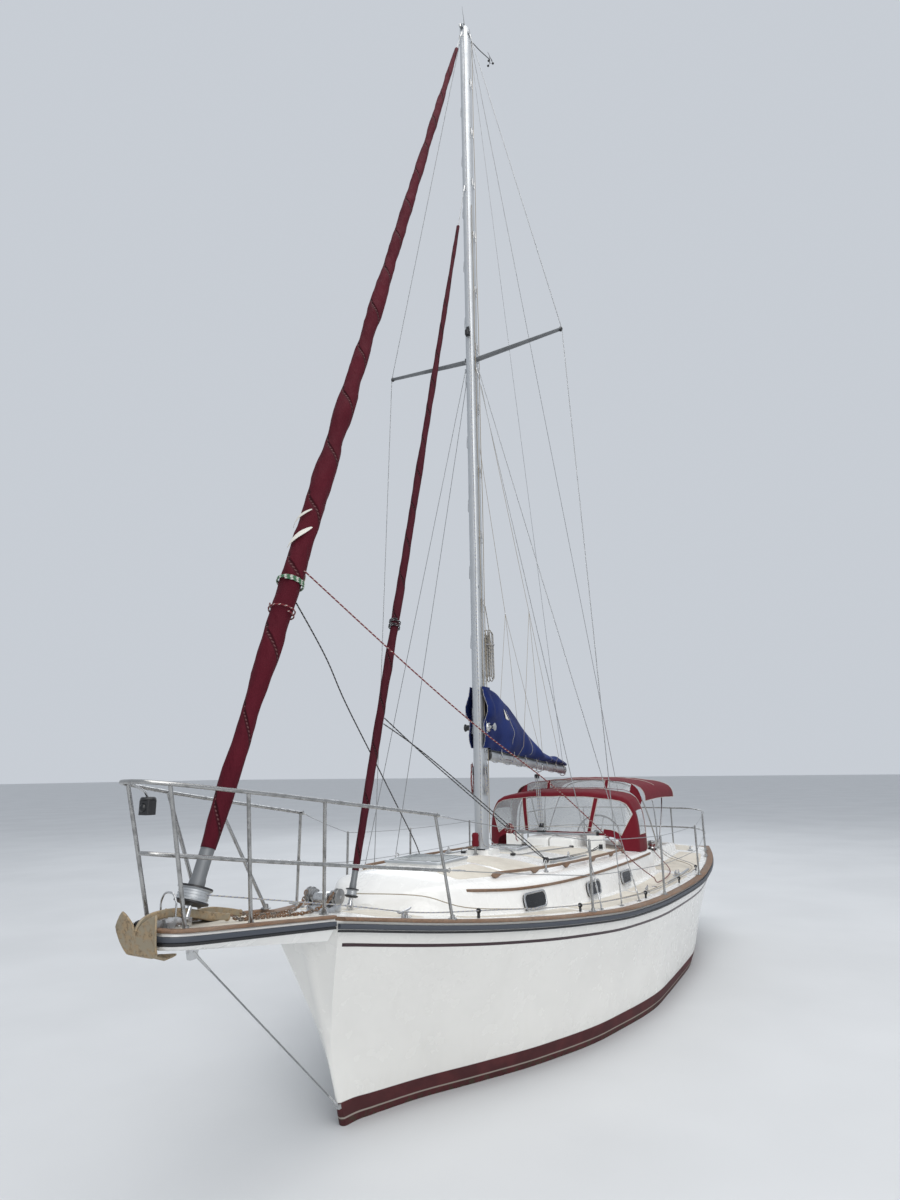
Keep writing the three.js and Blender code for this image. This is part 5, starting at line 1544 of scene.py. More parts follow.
@dataclass
class Deck:
    """Deck, coachroof and cockpit coamings, with their non-skid panels.

    Attributes:
        wall: How thick the coachroof's sides are.
        roof: How thick its top is.
        portlights: Where the portlights are: s and z.
    """

    wall: float = 0.042
    roof: float = 0.038
    portlights: tuple[tuple[float, float], ...] = ((2.17, 1.368), (3.43, 1.312), (4.56, 1.286))

    def deck_rows(self) -> list[list[Vector]]:
        """Sections of the deck slab."""
        rows = []
        for s in spaced(0.06, 9.215, 60):
            half, z = gunwale(s)
            half -= DECK_INSET
            tops = [at(s, y, deck_z(s, y)) for y in spaced(-half, half, 17)]
            rows.append([*tops, at(s, half, z + 0.0003), at(s, -half, z + 0.0003)])
        return rows

    def trunk_half(self, s: float, inset: float = 0.0, drop: float = 0.0) -> list[Vector]:
        """Port half of a coachroof section, from its foot to the crown.

        Args:
            s: Its place.
            inset: How far in from the outside it is.
            drop: How far under the top it is.

        Returns:
            Its points.
        """
        _, base_y, edge_y, edge_z, _ = TRUNK.row(s)
        base_z = gunwale(s)[1] + 0.006
        foot = Vector((base_y - inset, base_z, 0))
        corner = Vector((edge_y - inset, edge_z - drop, 0))
        wall = foot - corner
        reach = min(0.05, 0.4 * wall.length)
        start = corner + wall.normalized() * reach
        inner_y = max(edge_y - inset - 1.3 * reach, 0.6 * (edge_y - inset))
        end = Vector((inner_y, roof_z(s, inner_y) - drop, 0))
        half = [foot, foot.lerp(start, 0.5)]
        half += [(1 - t) ** 2 * start + 2 * t * (1 - t) * corner + t * t * end for t in spaced(0, 1, 6)]
        half += [Vector((inner_y * k, roof_z(s, inner_y * k) - drop, 0)) for k in (0.8, 0.6, 0.4, 0.2, 0.0)]
        return [at(s, p.x, p.y) for p in half]

    def trunk(self) -> Form:
        """The coachroof's outside."""
        places = [0.846, 0.87, 0.9, 0.94, 0.98, 1.03, 1.08, 1.14, 1.2, *spaced(1.27, CABIN_AFT, 42)]
        rows = []
        for s in places:
            half = self.trunk_half(s)
            rows.append(both(half, shared=True))
        return Form().skin(rows)

    def hollow(self) -> Form:
        """The room under the coachroof, as a solid to cut away."""
        rows = []
        for s in spaced(1.13, CABIN_AFT - self.wall, 30):
            half = self.trunk_half(s, self.wall, self.roof)
            half[0].z = half[1].z = 1.0
            rows.append(both(half, shared=True))
        return Form().skin(rows)

    def portlight_place(self, row: int, side: int) -> tuple[Matrix, float]:
        """Where a portlight sits.

        Args:
            row: Its number from the bow.
            side: 1 to port and -1 to starboard.

        Returns:
            The matrix of its frame, x aft along the wall, y out and z up, and half the wall's thickness.
        """
        s, z = self.portlights[row]
        _, base_y, edge_y, edge_z, _ = TRUNK.row(s)
        rise = edge_z - gunwale(s)[1]
        lean = math.atan2(base_y - edge_y, rise)
        sweep = math.atan2(TRUNK.value(s + 0.18, 1) - TRUNK.value(s - 0.18, 1), 0.36)
        y = base_y + (z - gunwale(s)[1]) / rise * (edge_y - base_y)
        turn = Matrix.Rotation(-side * sweep, 4, "Z") @ Matrix.Rotation(side * lean, 4, "X")
        return Matrix.Translation(at(s, side * y, z)) @ turn, self.wall / 2

    def window_holes(self) -> list[Form]:
        """Holes for the portlights, as solids to cut away."""
        tools = []
        outline = rounded_box((-0.17, 0.17), (-0.065, 0.065), 0.05)
        for row in range(len(self.portlights)):
            for side in (1, -1):
                place, _ = self.portlight_place(row, side)
                plate = Form().plate([Vector((x, 0, z)) for x, z in outline], Vector((0, 0.2, 0)))
                tools.append(Form().add(plate, place))
        return tools

    def coaming(self) -> Form:
        """The cockpit coamings, before the cockpit is cut out."""
        rows = []
        for s in spaced(6.2, 8.49, 12):
            low = gunwale(s)[1] + 0.008
            high = low + 0.27 - (s - 6.3) * 0.05
            half = round_corners([(0.99, low), (0.95, high), (0.0, high + 0.002), (0.0, low)], 0.035, 4)
            half = [at(s, y, z) for y, z in half if y > 0.02 or z > high - 0.05]
            port = [p for p in half if p.y > 0.03]
            rows.append(both(port))
        return Form().skin(rows)

    def openings(self) -> list[Form]:
        """The cockpit, the hatches and the companionway, as solids to cut away."""
        tools = [Form().block((6.3, 8.4), (-0.9, 0.9), (0.9, 1.95))]
        for hatch in (FORE_HATCH, MID_HATCH):
            inner = hatch.half - hatch.wall
            tools.append(Form().block((hatch.fore + hatch.wall, hatch.aft - hatch.wall), (-inner, inner), (1.4, 1.9)))
        tools.append(Form().block((6.1, 6.31), (-0.25, 0.25), (1.205, 1.9)))
        tools.append(Form().block((5.76, 6.21), (-0.25, 0.25), (1.4, 1.9)))
        return tools

    def mouldings(self) -> list[Form]:
        """Raised mouldings on the roof: runners, pads, the mast step and the hatch coamings."""
        forms = [Form().block((5.17, 6.19), sides, (1.44, 1.562)) for sides in ((0.262, 0.29), (-0.29, -0.262))]
        for sides in ((0.47, 0.69), (-0.69, -0.47)):
            forms.append(Form().block((5.305, 5.395), sides, (1.44, 1.6757)))
        outline = rounded_box((2.92, 3.26), (-0.125, 0.125), 0.03)
        forms.append(Form().prism(outline, (1.615, 1.6997)))
        for hatch in (FORE_HATCH, MID_HATCH):
            outline = rounded_box((hatch.fore, hatch.aft), (-hatch.half, hatch.half), 0.03)
            forms.append(Form().prism(outline, (hatch.seat - 0.09, hatch.seat)))
        return forms

    def patch(self, rows: Sequence[tuple[float, float, float]], height: Callable[[float, float], float]) -> Form:
        """A thin panel that lies on a surface.

        Args:
            rows: Its lengthways places, each with its inner and outer y.
            height: The surface's height at s and y.

        Returns:
            The panel.
        """
        sections = []
        for s, inner, outer in rows:
            top = [at(s, y, height(s, y) + 0.0022) for y in spaced(inner, outer, 9)]
            under = [at(s, y, height(s, y) - 0.003) for y in (outer, inner)]
            sections.append([*top, *under])
        return Form().skin(sections)

    def panel(
        self,
        fore: float,
        aft: float,
        inner: Line | float,
        outer: Line | float,
        height: Callable[[float, float], float],
        side: int = 1,
    ) -> Form:
        """A panel between two lines, its ends rounded off.

        Args:
            fore: Where it starts.
            aft: Where it ends.
            inner: How far out its inner edge is, at each place or all along.
            outer: How far out its outer edge is.
            height: The surface's height at s and y.
            side: 1 to port and -1 to starboard.

        Returns:
            The panel.
        """
        rows = []
        for s in [
            fore, fore + 0.012, fore + 0.035, *spaced(fore + 0.07, aft - 0.07, 26), aft - 0.035, aft - 0.012, aft
        ]:
            near = min(s - fore, aft - s)
            pinch = 0.035 * (1 - math.sqrt(max(0.0, 1 - (1 - min(near / 0.035, 1)) ** 2)))
            a, b = (side * (edge(s) if callable(edge) else edge) for edge in (inner, outer))
            sign = 1 if b > a else -1
            rows.append((s, a + sign * pinch, b - sign * pinch))
        return self.patch(rows, height)

    @staticmethod
    def beside_trunk(s: float) -> float:
        """The inner edge of the side decks' panels."""
        return TRUNK.value(max(s, 0.95), 1) + 0.07

    @staticmethod
    def inside_rail(s: float) -> float:
        """The outer edge of the side decks' panels."""
        return gunwale(s)[0] - 0.16

    @staticmethod
    def roof_edge(s: float) -> float:
        """The outer edge of the roof's panels."""
        return TRUNK.value(s, 2) * 0.8

    def non_skid(self) -> Form:
        """The non-skid panels of the deck and the coachroof."""
        form = Form()
        for side in (1, -1):
            for fore, aft in ((1.12, 2.5), (2.58, 4.2), (4.28, 6.05)):
                form.add(self.panel(fore, aft, self.beside_trunk, self.inside_rail, deck_z, side))
            form.add(self.panel(6.3, 8.35, 1.06, self.inside_rail, deck_z, side))
            for fore, aft, near in ((2.2, 2.86, 0.05), (3.32, 3.44, 0.05), (4.02, 5.06, 0.05), (5.42, 6.12, 0.37)):
                form.add(self.panel(fore, aft, near, self.roof_edge, roof_z, side))
            form.add(self.panel(1.42, 2.12, 0.33, self.roof_edge, roof_z, side))
        for side in (1, -1):
            form.add(self.panel(0.44, 0.82, 0.03, lambda s: gunwale(s)[0] - 0.17, deck_z, side))
        form.add(self.panel(8.55, 9.1, -1.15, 1.15, deck_z))
        return form

    def build(self) -> None:
        """Makes the deck and dresses it."""
        made = mesh_object("deck_skin", Form().skin(self.deck_rows()))
        carved(made, self.trunk(), join=True)
        carved(made, self.coaming(), join=True)
        carved(made, self.hollow())
        carved(made, *self.mouldings(), join=True)
        carved(made, *self.openings())
        carved(made, *self.window_holes())
        Piece("deck_and_coachroof", [WHITE], stands_for=["deck_moulding"], smooth=30).finish(made)
        Piece("non_skid_panels", [DECK_BEIGE], smooth=40).make(self.non_skid())


# Trim and deck fittings

def swept(sections: Sequence[tuple[float, float]], fore: float, aft: float, count: int, side: int) -> Form:
    """A bar of one section along the gunwale.

    Args:
        sections: The corners of its section, as out and up from the gunwale.
        fore: Where it starts.
        aft: Where it ends.
        count: How many sections it has.
        side: 1 to port and -1 to starboard.

    Returns:
        The bar.
    """
    rows = []
    for s in spaced(fore, aft, count):
        y, z = gunwale(s)
        rows.append([at(s, side * (y + out), z + up) for out, up in sections])
    return Form().skin(rows)


@dataclass
class Belt:
    """Cap rails, rub rail, cove stripe and the eyebrow along the coachroof.

    Attributes:
        cap: Section of the teak cap rail, out and up from the gunwale.
        rub: Section of the rub rail, out and down from the gunwale.
        rub_hang: How far the rub rail hangs below the gunwale.
        cove_drop: How far the cove stripe lies below the gunwale.
        cove_width: Its width.
        eyebrow: Places of the eyebrow's middle: s and z.
        joint_gap: Half the gap of a scarf joint.
    """

    cap: tuple[tuple[float, float], ...] = ((0.021, 0.0), (0.021, 0.026), (-0.069, 0.026), (-0.069, 0.0))
    rub: tuple[tuple[float, float], ...] = ((0.0007, 0.0), (0.0257, -0.006), (0.0257, -0.035), (0.0037, -0.041))
    rub_hang: float = 0.014
    cove_drop: float = 0.172
    cove_width: float = 0.025
    eyebrow: tuple[tuple[float, float], ...] = (
        (1.36, 1.545), (1.95, 1.49), (2.82, 1.455), (3.99, 1.434), (6.12, 1.402)
    )
    joint_gap: float = 0.0008

    def rails(self) -> None:
        """The cap rails, with the scarf joints between their planks."""
        section = round_corners(self.cap, 0.012, 3)
        for name, side in SIDES.items():
            form = Form()
            joints = (0.06, 1.9, 3.9, 5.9, 7.9, 9.296)
            for fore, aft in zip(joints, joints[1:]):
                form.add(swept(section, fore + self.joint_gap, aft - self.joint_gap, 26, side))
            Piece(f"{name}_teak_cap_rail", [TEAK], stands_for=[f"{name}_cap_rail"], smooth=35).make(form)
        outline = round_corners([(y, x) for x, y in self.cap], 0.012, 3)
        aft = [[at(9.252 + out, y, gunwale(9.25)[1] + up) for up, out in outline] for y in spaced(-1.33, 1.33, 25)]
        Piece("taffrail_cap", [TEAK], smooth=35).make(Form().skin(aft))

    def strip(self) -> None:
        """The rub rail with its black lower line."""
        form = Form()
        rounded = round_corners(self.rub, 0.008, 3)
        for side in SIDES.values():
            form.add(swept([(o, u - self.rub_hang) for o, u in rounded], 0.02, 9.285, 90, side))
            line = [(0.006, -0.042), (0.016, -0.043), (0.015, -0.058), (-0.001, -0.058)]
            low = swept([(o, u - self.rub_hang) for o, u in line], 0.02, 9.285, 90, side)
            low.marks = [1] * len(low.marks)
            form.add(low)
        Piece("rub_strip", [SLATE, BLACK], stands_for=["rub_rail"], smooth=50).make(form)

    def cove(self) -> None:
        """The dark stripe let into the topsides below the rail."""
        form = Form()
        for side in (False, True):
            rows = []
            for s in spaced(0.07, 9.1, 84):
                z = gunwale(s)[1] - self.cove_drop
                ends = [hull_point(s, z + dz * self.cove_width) for dz in (0.5, 0.17, -0.17, -0.5)]
                out = Vector((0, 0.0011, 0))
                row = [*(p + out for p in ends), *(p - 6 * out for p in reversed(ends))]
                rows.append(mirrored(row) if side else row)
            form.skin(rows)
        Piece("cove_stripe", [COVE], smooth=50).make(form)

    def brow(self) -> None:
        """The teak strip along the top of the coachroof's sides."""
        form = Form()
        heights = Table(self.eyebrow)
        for side in SIDES.values():
            rows = []
            for s in spaced(1.36, 6.12, 48):
                z = heights.value(s, 1)
                y = wall_y(s, z)
                taper = min(1.0, (s - 1.34) / 0.1, (6.14 - s) / 0.1)
                ring = round_corners(
                    [(-0.004, -0.013), (0.014 * taper, -0.011), (0.014 * taper, 0.011), (-0.004, 0.013)], 0.005, 2
                )
                rows.append([at(s, side * (y + o), z + u) for o, u in ring])
            form.skin(rows)
        Piece("eyebrow_mouldings", [TEAK], smooth=40).make(form)

    def build(self) -> None:
        """Makes all the long mouldings."""
        self.rails()
        self.strip()
        self.cove()
        self.brow()


def wall_y(s: float, z: float) -> float:
    """How far out the coachroof's side is at a height."""
    _, base_y, edge_y, edge_z, _ = TRUNK.row(s)
    low = gunwale(s)[1]
    return float(base_y + (z - low) / (edge_z - low) * (edge_y - base_y))


@dataclass
class GuardRails:
    """Stanchions with their bases, lifelines, the pulpit and the stern rail.

    Attributes:
        places: Where the stanchions are.
        height: How high they stand over the cap rail.
        inset: How far in from the gunwale.
        radius: The radius of the tube.
        pulpit_top: The pulpit's upper rail: s, y and z.
        pulpit_low: The pulpit's lower rail: s, y and z.
        legs: The pulpit's legs: s and y of the foot, then s, y and z of the head.
        stern: The stern rail: s, y and how far over the gunwale.
    """

    places: tuple[float, ...] = (2.5, 4.3, 6.2)
    height: float = 0.655
    inset: float = 0.042
    radius: float = 0.0125
    pulpit_top: tuple[tuple[float, float, float], ...] = (
        (0.8, 0.672, 2.18), (0.7, 0.668, 2.196), (-0.62, 0.44, 2.365), (-1.25, 0.25, 2.445), (-1.48, 0.13, 2.474),
        (-1.528, 0, 2.48),
    )
    pulpit_low: tuple[tuple[float, float, float], ...] = (
        (0.862, 0.742, 1.765), (-0.6, 0.33, 1.965), (-1.25, 0.11, 2.062), (-1.393, 0, 2.083)
    )
    legs: tuple[tuple[float, ...], ...] = (
        (0.9, 0.762, 0.8, 0.672, 2.18), (-0.06, 0.262, -0.38, 0.487, 2.333),
        (-0.72, 0.205, -0.95, 0.344, 2.405), (-1.19, 0.15, -1.4, 0.175, 2.463)
    )
    stern: tuple[tuple[float, float, float], ...] = (
        (8.12, 1.5, 0.65), (8.76, 1.4, 0.65), (9.11, 1.18, 0.655), (9.19, 0.8, 0.658), (9.2, 0, 0.66)
    )

    def whole(self, half: Sequence[tuple[float, float, float]], steps: int) -> list[Vector]:
        """A rail that runs round from port to starboard."""
        port = [at(*p) for p in half]
        return through(both(port, shared=True), steps)

    def foot(self, form: Form, base: Vector) -> None:
        """Adds a leg's round base plate with its screws and its socket."""
        form.lathe(
            [(0.001, 0), (0.036, 0), (0.036, 0.004), (0.032, 0.007), (0.02, 0.008), (0.017, 0.03), (0.0135, 0.032)],
            base,
            sides=20,
        )
        for k in range(4):
            turn = TAU * (k + 0.5) / 4
            form.ball(
                base + Vector((0.026 * math.cos(turn), 0.026 * math.sin(turn), 0.007)), 0.0045, squeeze=0.5, sides=8
            )

    def pulpit(self) -> None:
        """The pulpit, with the eyes for the lifelines."""
        form = Form()
        form.tube(self.whole(self.pulpit_top, 9), self.radius, 14)
        form.tube(self.whole(self.pulpit_low, 9), self.radius, 14)
        for row in self.legs:
            foot_z = platform_z(row[0]) + 0.002
            if row[0] > 0.5:
                foot_z = gunwale(row[0])[1] + 0.027
            elif row[0] > -0.1:
                foot_z = gunwale(max(row[0], 0.0))[1] + 0.05
            for side in (1, -1):
                foot, head = at(row[0], side * row[1], foot_z), at(row[2], side * row[3], row[4])
                form.rod(foot, head, self.radius, 14)
                self.foot(form, foot)
        for path in (self.pulpit_low[0], self.pulpit_top[0]):
            for side in (1, -1):
                ring = [
                    at(path[0] + 0.03 + 0.016 * math.cos(a), side * path[1], path[2] + 0.016 * math.sin(a))
                    for a in spaced(0, TAU * 11 / 12, 12)
                ]
                form.tube(ring, 0.0035, 8, closed=True)
        Piece("bow_pulpit", [SHADED_RAIL_STEEL], stands_for=["pulpit"], smooth=45).make(form)

    def bow_lamp(self) -> None:
        """The running light that hangs under the pulpit's nose."""
        lamp = Form()
        lamp.skin(
            [
                [at(-1.392 + a, b, z) for a, b in rounded_box((-0.035, 0.03), (-0.04, 0.04), 0.014)]
                for z in (2.292, 2.375)
            ]
        )
        lamp.lathe(
            [(0.001, 0), (0.043, 0), (0.045, 0.006), (0.038, 0.016), (0.001, 0.018)], at(-1.394, 0, 2.375), sides=20
        )
        lamp.tube([at(-1.392, 0, 2.38), at(-1.42, 0, 2.42), at(-1.51, 0, 2.468)], 0.007, 10, mark=2)
        lamp.ball(at(-1.422, 0, 2.333), 0.026, mark=1, sides=14)
        Piece("bow_lamp", [BLACK, DARK_GLASS, CHROME], bevel=0.002, smooth=40).make(lamp)

    def stern_rail(self) -> None:
        """The stern rail with its two rails and posts."""
        form = Form()
        for drop in (0.0, 0.32):
            rows = [(s, y, gunwale(s)[1] + rise - drop) for s, y, rise in self.stern]
            form.tube(self.whole(rows, 10), self.radius, 14)
        for s, y in ((8.12, 1.5), (8.76, 1.4), (9.19, 0.8)):
            for side in (1, -1):
                base = at(s, side * y, gunwale(s)[1] + (0.028 if s < 9 else 0.03))
                form.rod(base, at(s, side * y, gunwale(s)[1] + 0.656), self.radius, 14)
                self.foot(form, base)
        Piece("stern_pushpit", [SHADED_RAIL_STEEL], stands_for=["stern_rail"], smooth=45).make(form)

    def stanchions(self) -> None:
        """The stanchions, with a ferrule for the middle line and a rounded cap."""
        form = Form()
        for s in self.places:
            y, z = gunwale(s)
            for side in (1, -1):
                base = at(s, side * (y - self.inset), z + 0.027)
                self.foot(form, base)
                top = base + Vector((0, 0, self.height - 0.03))
                form.tube([base, base.lerp(top, 0.97), top], [self.radius, self.radius, 0.0105], 14)
                form.ball(top, 0.0118, sides=12)
                form.tube([base.lerp(top, 0.5) + Vector((dx, 0, 0)) for dx in (-0.017, 0.017)], 0.0065, 10)
        Piece("stanchions", [SHADED_RAIL_STEEL], smooth=45).make(form)

    def lifelines(self) -> None:
        """Two covered wires on each side, from the pulpit to the stern rail, with their end screws."""
        form = Form()
        for side in (1, -1):
            for level in (0, 1):
                start = at(0.83, side * 0.672, 2.175) if level == 0 else at(0.89, side * 0.742, 1.765)
                rise = self.height - 0.006 if level == 0 else 0.027 + 0.5 * (self.height - 0.03)
                stops = [start]
                for s in self.places:
                    y, z = gunwale(s)
                    stops.append(at(s, side * (y - self.inset), z + rise))
                end_z = gunwale(8.12)[1] + (0.64 if level == 0 else 0.33)
                stops.append(at(8.09, side * 1.5, end_z))
                for a, b in zip(stops, stops[1:]):
                    form.tube(sagging(a, b, 0.008, 8), 0.0034, 8)
                for end, towards in ((stops[0], stops[1]), (stops[-1], stops[-2])):
                    run = (towards - end).normalized()
                    form.tube(
                        [
                            end,
                            end + run * 0.03,
                            end + run * 0.035,
                            end + run * 0.12,
                            end + run * 0.125,
                            end + run * 0.17,
                        ],
                        [0.0045, 0.0045, 0.0075, 0.0075, 0.005, 0.005],
                        8,
                        mark=1,
                    )
        Piece("lifelines", [WIRE, CHROME], smooth=45).make(form)

    def build(self) -> None:
        """Makes the rails."""
        self.pulpit()
        self.bow_lamp()
        self.stern_rail()
        self.stanchions()
        self.lifelines()


PLATFORM_LENGTH = 1.32

# Bow platform plan: s, half-breadth
PLATFORM = Table(((-1.32, 0.11), (-1.28, 0.168), (-1.2, 0.202), (-0.9, 0.235), (-0.4, 0.276), (-0.0003, 0.315)))


def platform_z(s: float) -> float:
    """Height of the bow platform's top."""
    return 1.53 + max(0.0, -s) / PLATFORM_LENGTH * 0.13


@dataclass
class BowPlatform:
    """The platform ahead of the stem, with its teak edge and dark strip.

    Attributes:
        tip_depth: How deep it is at its tip.
        root_depth: How deep it is at the stem.
    """

    tip_depth: float = 0.092
    root_depth: float = 0.15

    def row(self, s: float, out: float, levels: Sequence[tuple[float, float]]) -> list[Vector]:
        """One closed section.

        Args:
            s: Its place.
            out: How much wider it is than the plan.
            levels: How far in and how far down each corner is, from the top edge.

        Returns:
            The points round it.
        """
        half, z = PLATFORM.value(s, 1) + out, platform_z(s)
        port = [at(s, max(half - inward, 0.004), z - down) for inward, down in levels]
        return both(port)

    def build(self) -> None:
        """Makes the platform."""
        stations = [-1.319, -1.31, -1.295, *spaced(-1.28, -0.0006, 30)]
        rows = []
        for s in stations:
            depth = self.root_depth + (self.tip_depth - self.root_depth) * -s / PLATFORM_LENGTH
            levels = [(0.008, 0.0), (0.0, 0.008), (0.0, 0.055), (0.012, 0.075), (0.06, depth)]
            rows.append(self.row(s, 0.0, levels))
        Piece("platform_moulding", [WHITE], stands_for=["bow_platform"], smooth=35).make(Form().skin(rows))
        self.edging(stations)
        self.top()

    def edging(self, stations: Sequence[float]) -> None:
        """The teak edge with its plugs, and the strip below it.

        Args:
            stations: Where the platform's sections are.
        """
        edge, strip = Form(), Form()
        outline = [(s, PLATFORM.value(s, 1)) for s in reversed(stations)]
        path = [(s, y, platform_z(s)) for s, y in outline]
        port = [at(*p) for p in path]
        nose = at(-1.322, 0, platform_z(-1.32))
        loop = [*port, nose, *reversed(mirrored(port))]
        for form, section, mark in (
            (edge, rounded_box((-0.03, 0.016), (0.0005, 0.022), 0.009, 3), 0),
            (strip, round_corners([(-0.002, -0.016), (0.017, -0.018), (0.017, -0.047), (-0.002, -0.05)], 0.007, 3), 0),
            (strip, [(-0.002, -0.049), (0.013, -0.0505), (0.013, -0.0665), (-0.002, -0.067)], 1),
        ):
            rows = []
            for i, p in enumerate(loop):
                run = loop[min(i + 1, len(loop) - 1)] - loop[max(i - 1, 0)]
                out = Vector((run.y, -run.x, 0)).normalized()
                if out.dot(Vector((p.x - 4.9, p.y, 0))) < 0:
                    out.negate()
                rows.append([p + o * out + Vector((0, 0, u)) for o, u in section])
            form.skin(rows, mark=mark)
        holes = Form()
        for p in loop[6:-6:2]:
            holes.lathe(
                [(0.001, 0), (0.0045, 0), (0.0042, 0.0006), (0.001, 0.0007)], p + Vector((0, 0, 0.0222)), sides=10
            )
        Piece("platform_edge", [TEAK], smooth=40).make(edge)
        Piece("platform_edge_plugs", [BLACK], smooth=40).make(holes)
        Piece("platform_rub_strip", [SLATE, BLACK], smooth=40).make(strip)

    def top(self) -> None:
        """The platform's non-skid panel."""
        rows = []
        for s in spaced(-1.12, -0.06, 20):
            half = PLATFORM.value(s, 1) - 0.065
            tops = [at(s, y, platform_z(s) + 0.0018) for y in spaced(-half, half, 9)]
            rows.append([*tops, at(s, half, platform_z(s) - 0.003), at(s, -half, platform_z(s) - 0.003)])
        Piece("platform_non_skid", [DECK_BEIGE], smooth=40).make(Form().skin(rows))


@dataclass
class RoofFittings:
    """Portlights, handrails and deck hardware.

    Attributes:
        cleats: Where the deck cleats are: s and y.
        rail: A track's section, out and up.
    """

    cleats: tuple[tuple[float, float], ...] = ((0.62, 0.5), (5.9, 1.52), (8.62, 1.24), (4.35, 1.5))
    rail: tuple[tuple[float, float], ...] = (
        (0.016, 0), (0.016, 0.006), (0.011, 0.008), (0.014, 0.016),
        (-0.014, 0.016), (-0.011, 0.008), (-0.016, 0.006), (-0.016, 0)
    )

    def portlights(self, deck: Deck) -> None:
        """The portlights: polished frames, screws and dark glass.

        Args:
            deck: The deck whose coachroof they sit in.
        """
        for row in range(3):
            for name, side in SIDES.items():
                place, half = deck.portlight_place(row, side)
                form = Form()
                rings = []
                for grow, out in (
                    (0.0, 0.0006), (0.002, 0.0062), (-0.004, 0.0102), (-0.014, 0.0105), (-0.018, 0.006),
                    (-0.019, -0.03),
                ):
                    a, b = 0.18 + grow, 0.075 + grow
                    ring = rounded_box((-a, a), (-b, b), 0.055 + 0.6 * grow, 6)
                    rings.append([Vector((x, side * (half + out), z)) for x, z in ring])
                form.skin(rings, caps=False)
                a, b = 0.164, 0.059
                glass = rounded_box((-a, a), (-b, b), 0.045, 6)
                form.skin([[Vector((x, side * (half + out), z)) for x, z in glass] for out in (0.0055, -0.002)], mark=1)
                for x, z in (
                    (-0.172, 0.02), (-0.172, -0.02), (0.172, 0.02), (0.172, -0.02), (-0.08, 0.068), (0.0, 0.068),
                    (0.08, 0.068), (-0.08, -0.068), (0.0, -0.068), (0.08, -0.068),
                ):
                    form.ball(Vector((x, side * (half + 0.0102), z)), 0.0042, mark=2, sides=8)
                moved = Form().add(form, place)
                piece = Piece(
                    f"{name}_window_{row + 1}",
                    [CHROME, DARK_GLASS, DARK_STEEL],
                    stands_for=[f"{name}_portlight_{row + 1}"],
                    smooth=50,
                )
                piece.make(moved)

    def handrails(self) -> None:
        """The teak handrails, bowed up between their feet."""
        stations = (1.85, 2.5, 3.2, 4.0, 4.7, 5.25)
        for name, side in SIDES.items():
            form = Form()
            rows = []
            for s in spaced(stations[0] - 0.045, stations[-1] + 0.045, 120):
                near = min(abs(s - foot) for foot in stations)
                low = 0.0275 * min(1.0, max(0.0, (near - 0.03) / 0.05)) ** 0.6 + 0.0008
                end = min(s - stations[0] + 0.05, stations[-1] + 0.05 - s)
                high = 0.054 - 0.03 * max(0.0, 1 - end / 0.05) ** 2
                low = min(low, high - 0.012)
                ring = rounded_box((-0.013, 0.013), (low, high), 0.007, 3)
                y = 0.86 * TRUNK.value(s, 2)
                rows.append([at(s, side * y, roof_z(s, y) + u) + Vector((0, w, 0)) for w, u in ring])
            form.skin(rows)
            Piece(f"{name}_teak_handrail", [TEAK], stands_for=[f"{name}_handrail"], smooth=40).make(form)

    def cleat(self, form: Form, place: Vector, length: float, turn: float = 0.0) -> None:
        """Adds a horned cleat on its base."""
        local = Form()
        base = rounded_box((-0.3, 0.3), (-0.16, 0.16), 0.1, 4)
        local.skin([[Vector((length * x, length * y, z)) for x, y in base] for z in (0, 0.006)])
        for x in (-0.13, 0.13):
            local.tube(
                [Vector((length * x, 0, 0.004)), Vector((length * x * 0.9, 0, 0.2 * length))],
                [0.06 * length, 0.05 * length],
                12,
            )
        horn = [
            Vector((length * x, 0, length * z))
            for x, z in ((-0.5, 0.235), (-0.3, 0.2), (0, 0.19), (0.3, 0.2), (0.5, 0.235))
        ]
        curve = through(horn, 5)
        radii = [length * (0.055 - 0.03 * abs(2 * i / (len(curve) - 1) - 1) ** 2) for i in range(len(curve))]
        local.tube(curve, radii, 12, flat=0.8)
        form.add(local, Matrix.Translation(place) @ Matrix.Rotation(turn, 4, "Z"))

    @staticmethod
    def track_place(s: float, y: float) -> tuple[float, float]:
        """How far out a track is and the height under it, on the side deck or else on the roof."""
        if y > 1.2:
            return y, deck_z(s, y)
        out = 0.7 * TRUNK.value(s, 2)
        return out, roof_z(s, out)

    def track(self, form: Form, side: int, fore: float, aft: float, y: float) -> None:
        """Adds a sheet track."""
        rows = []
        for s in spaced(fore, aft, 16):
            out, z = self.track_place(s, y)
            rows.append([at(s, side * (out + o), z + u) for o, u in self.rail])
        form.skin(rows, mark=1)

    def car(self, form: Form, side: int, s: float, y: float) -> None:
        """Adds a sheet car with its ring."""
        out, z = self.track_place(s, y)
        z += 0.017
        form.block((s - 0.045, s + 0.045), (side * out - 0.024, side * out + 0.024), (z, z + 0.018))
        form.tube(
            [
                at(s + 0.02 * math.sin(a), side * out, z + 0.034 + 0.026 * math.cos(a))
                for a in spaced(0, TAU * 15 / 16, 16)
            ],
            0.007,
            10,
            closed=True,
        )

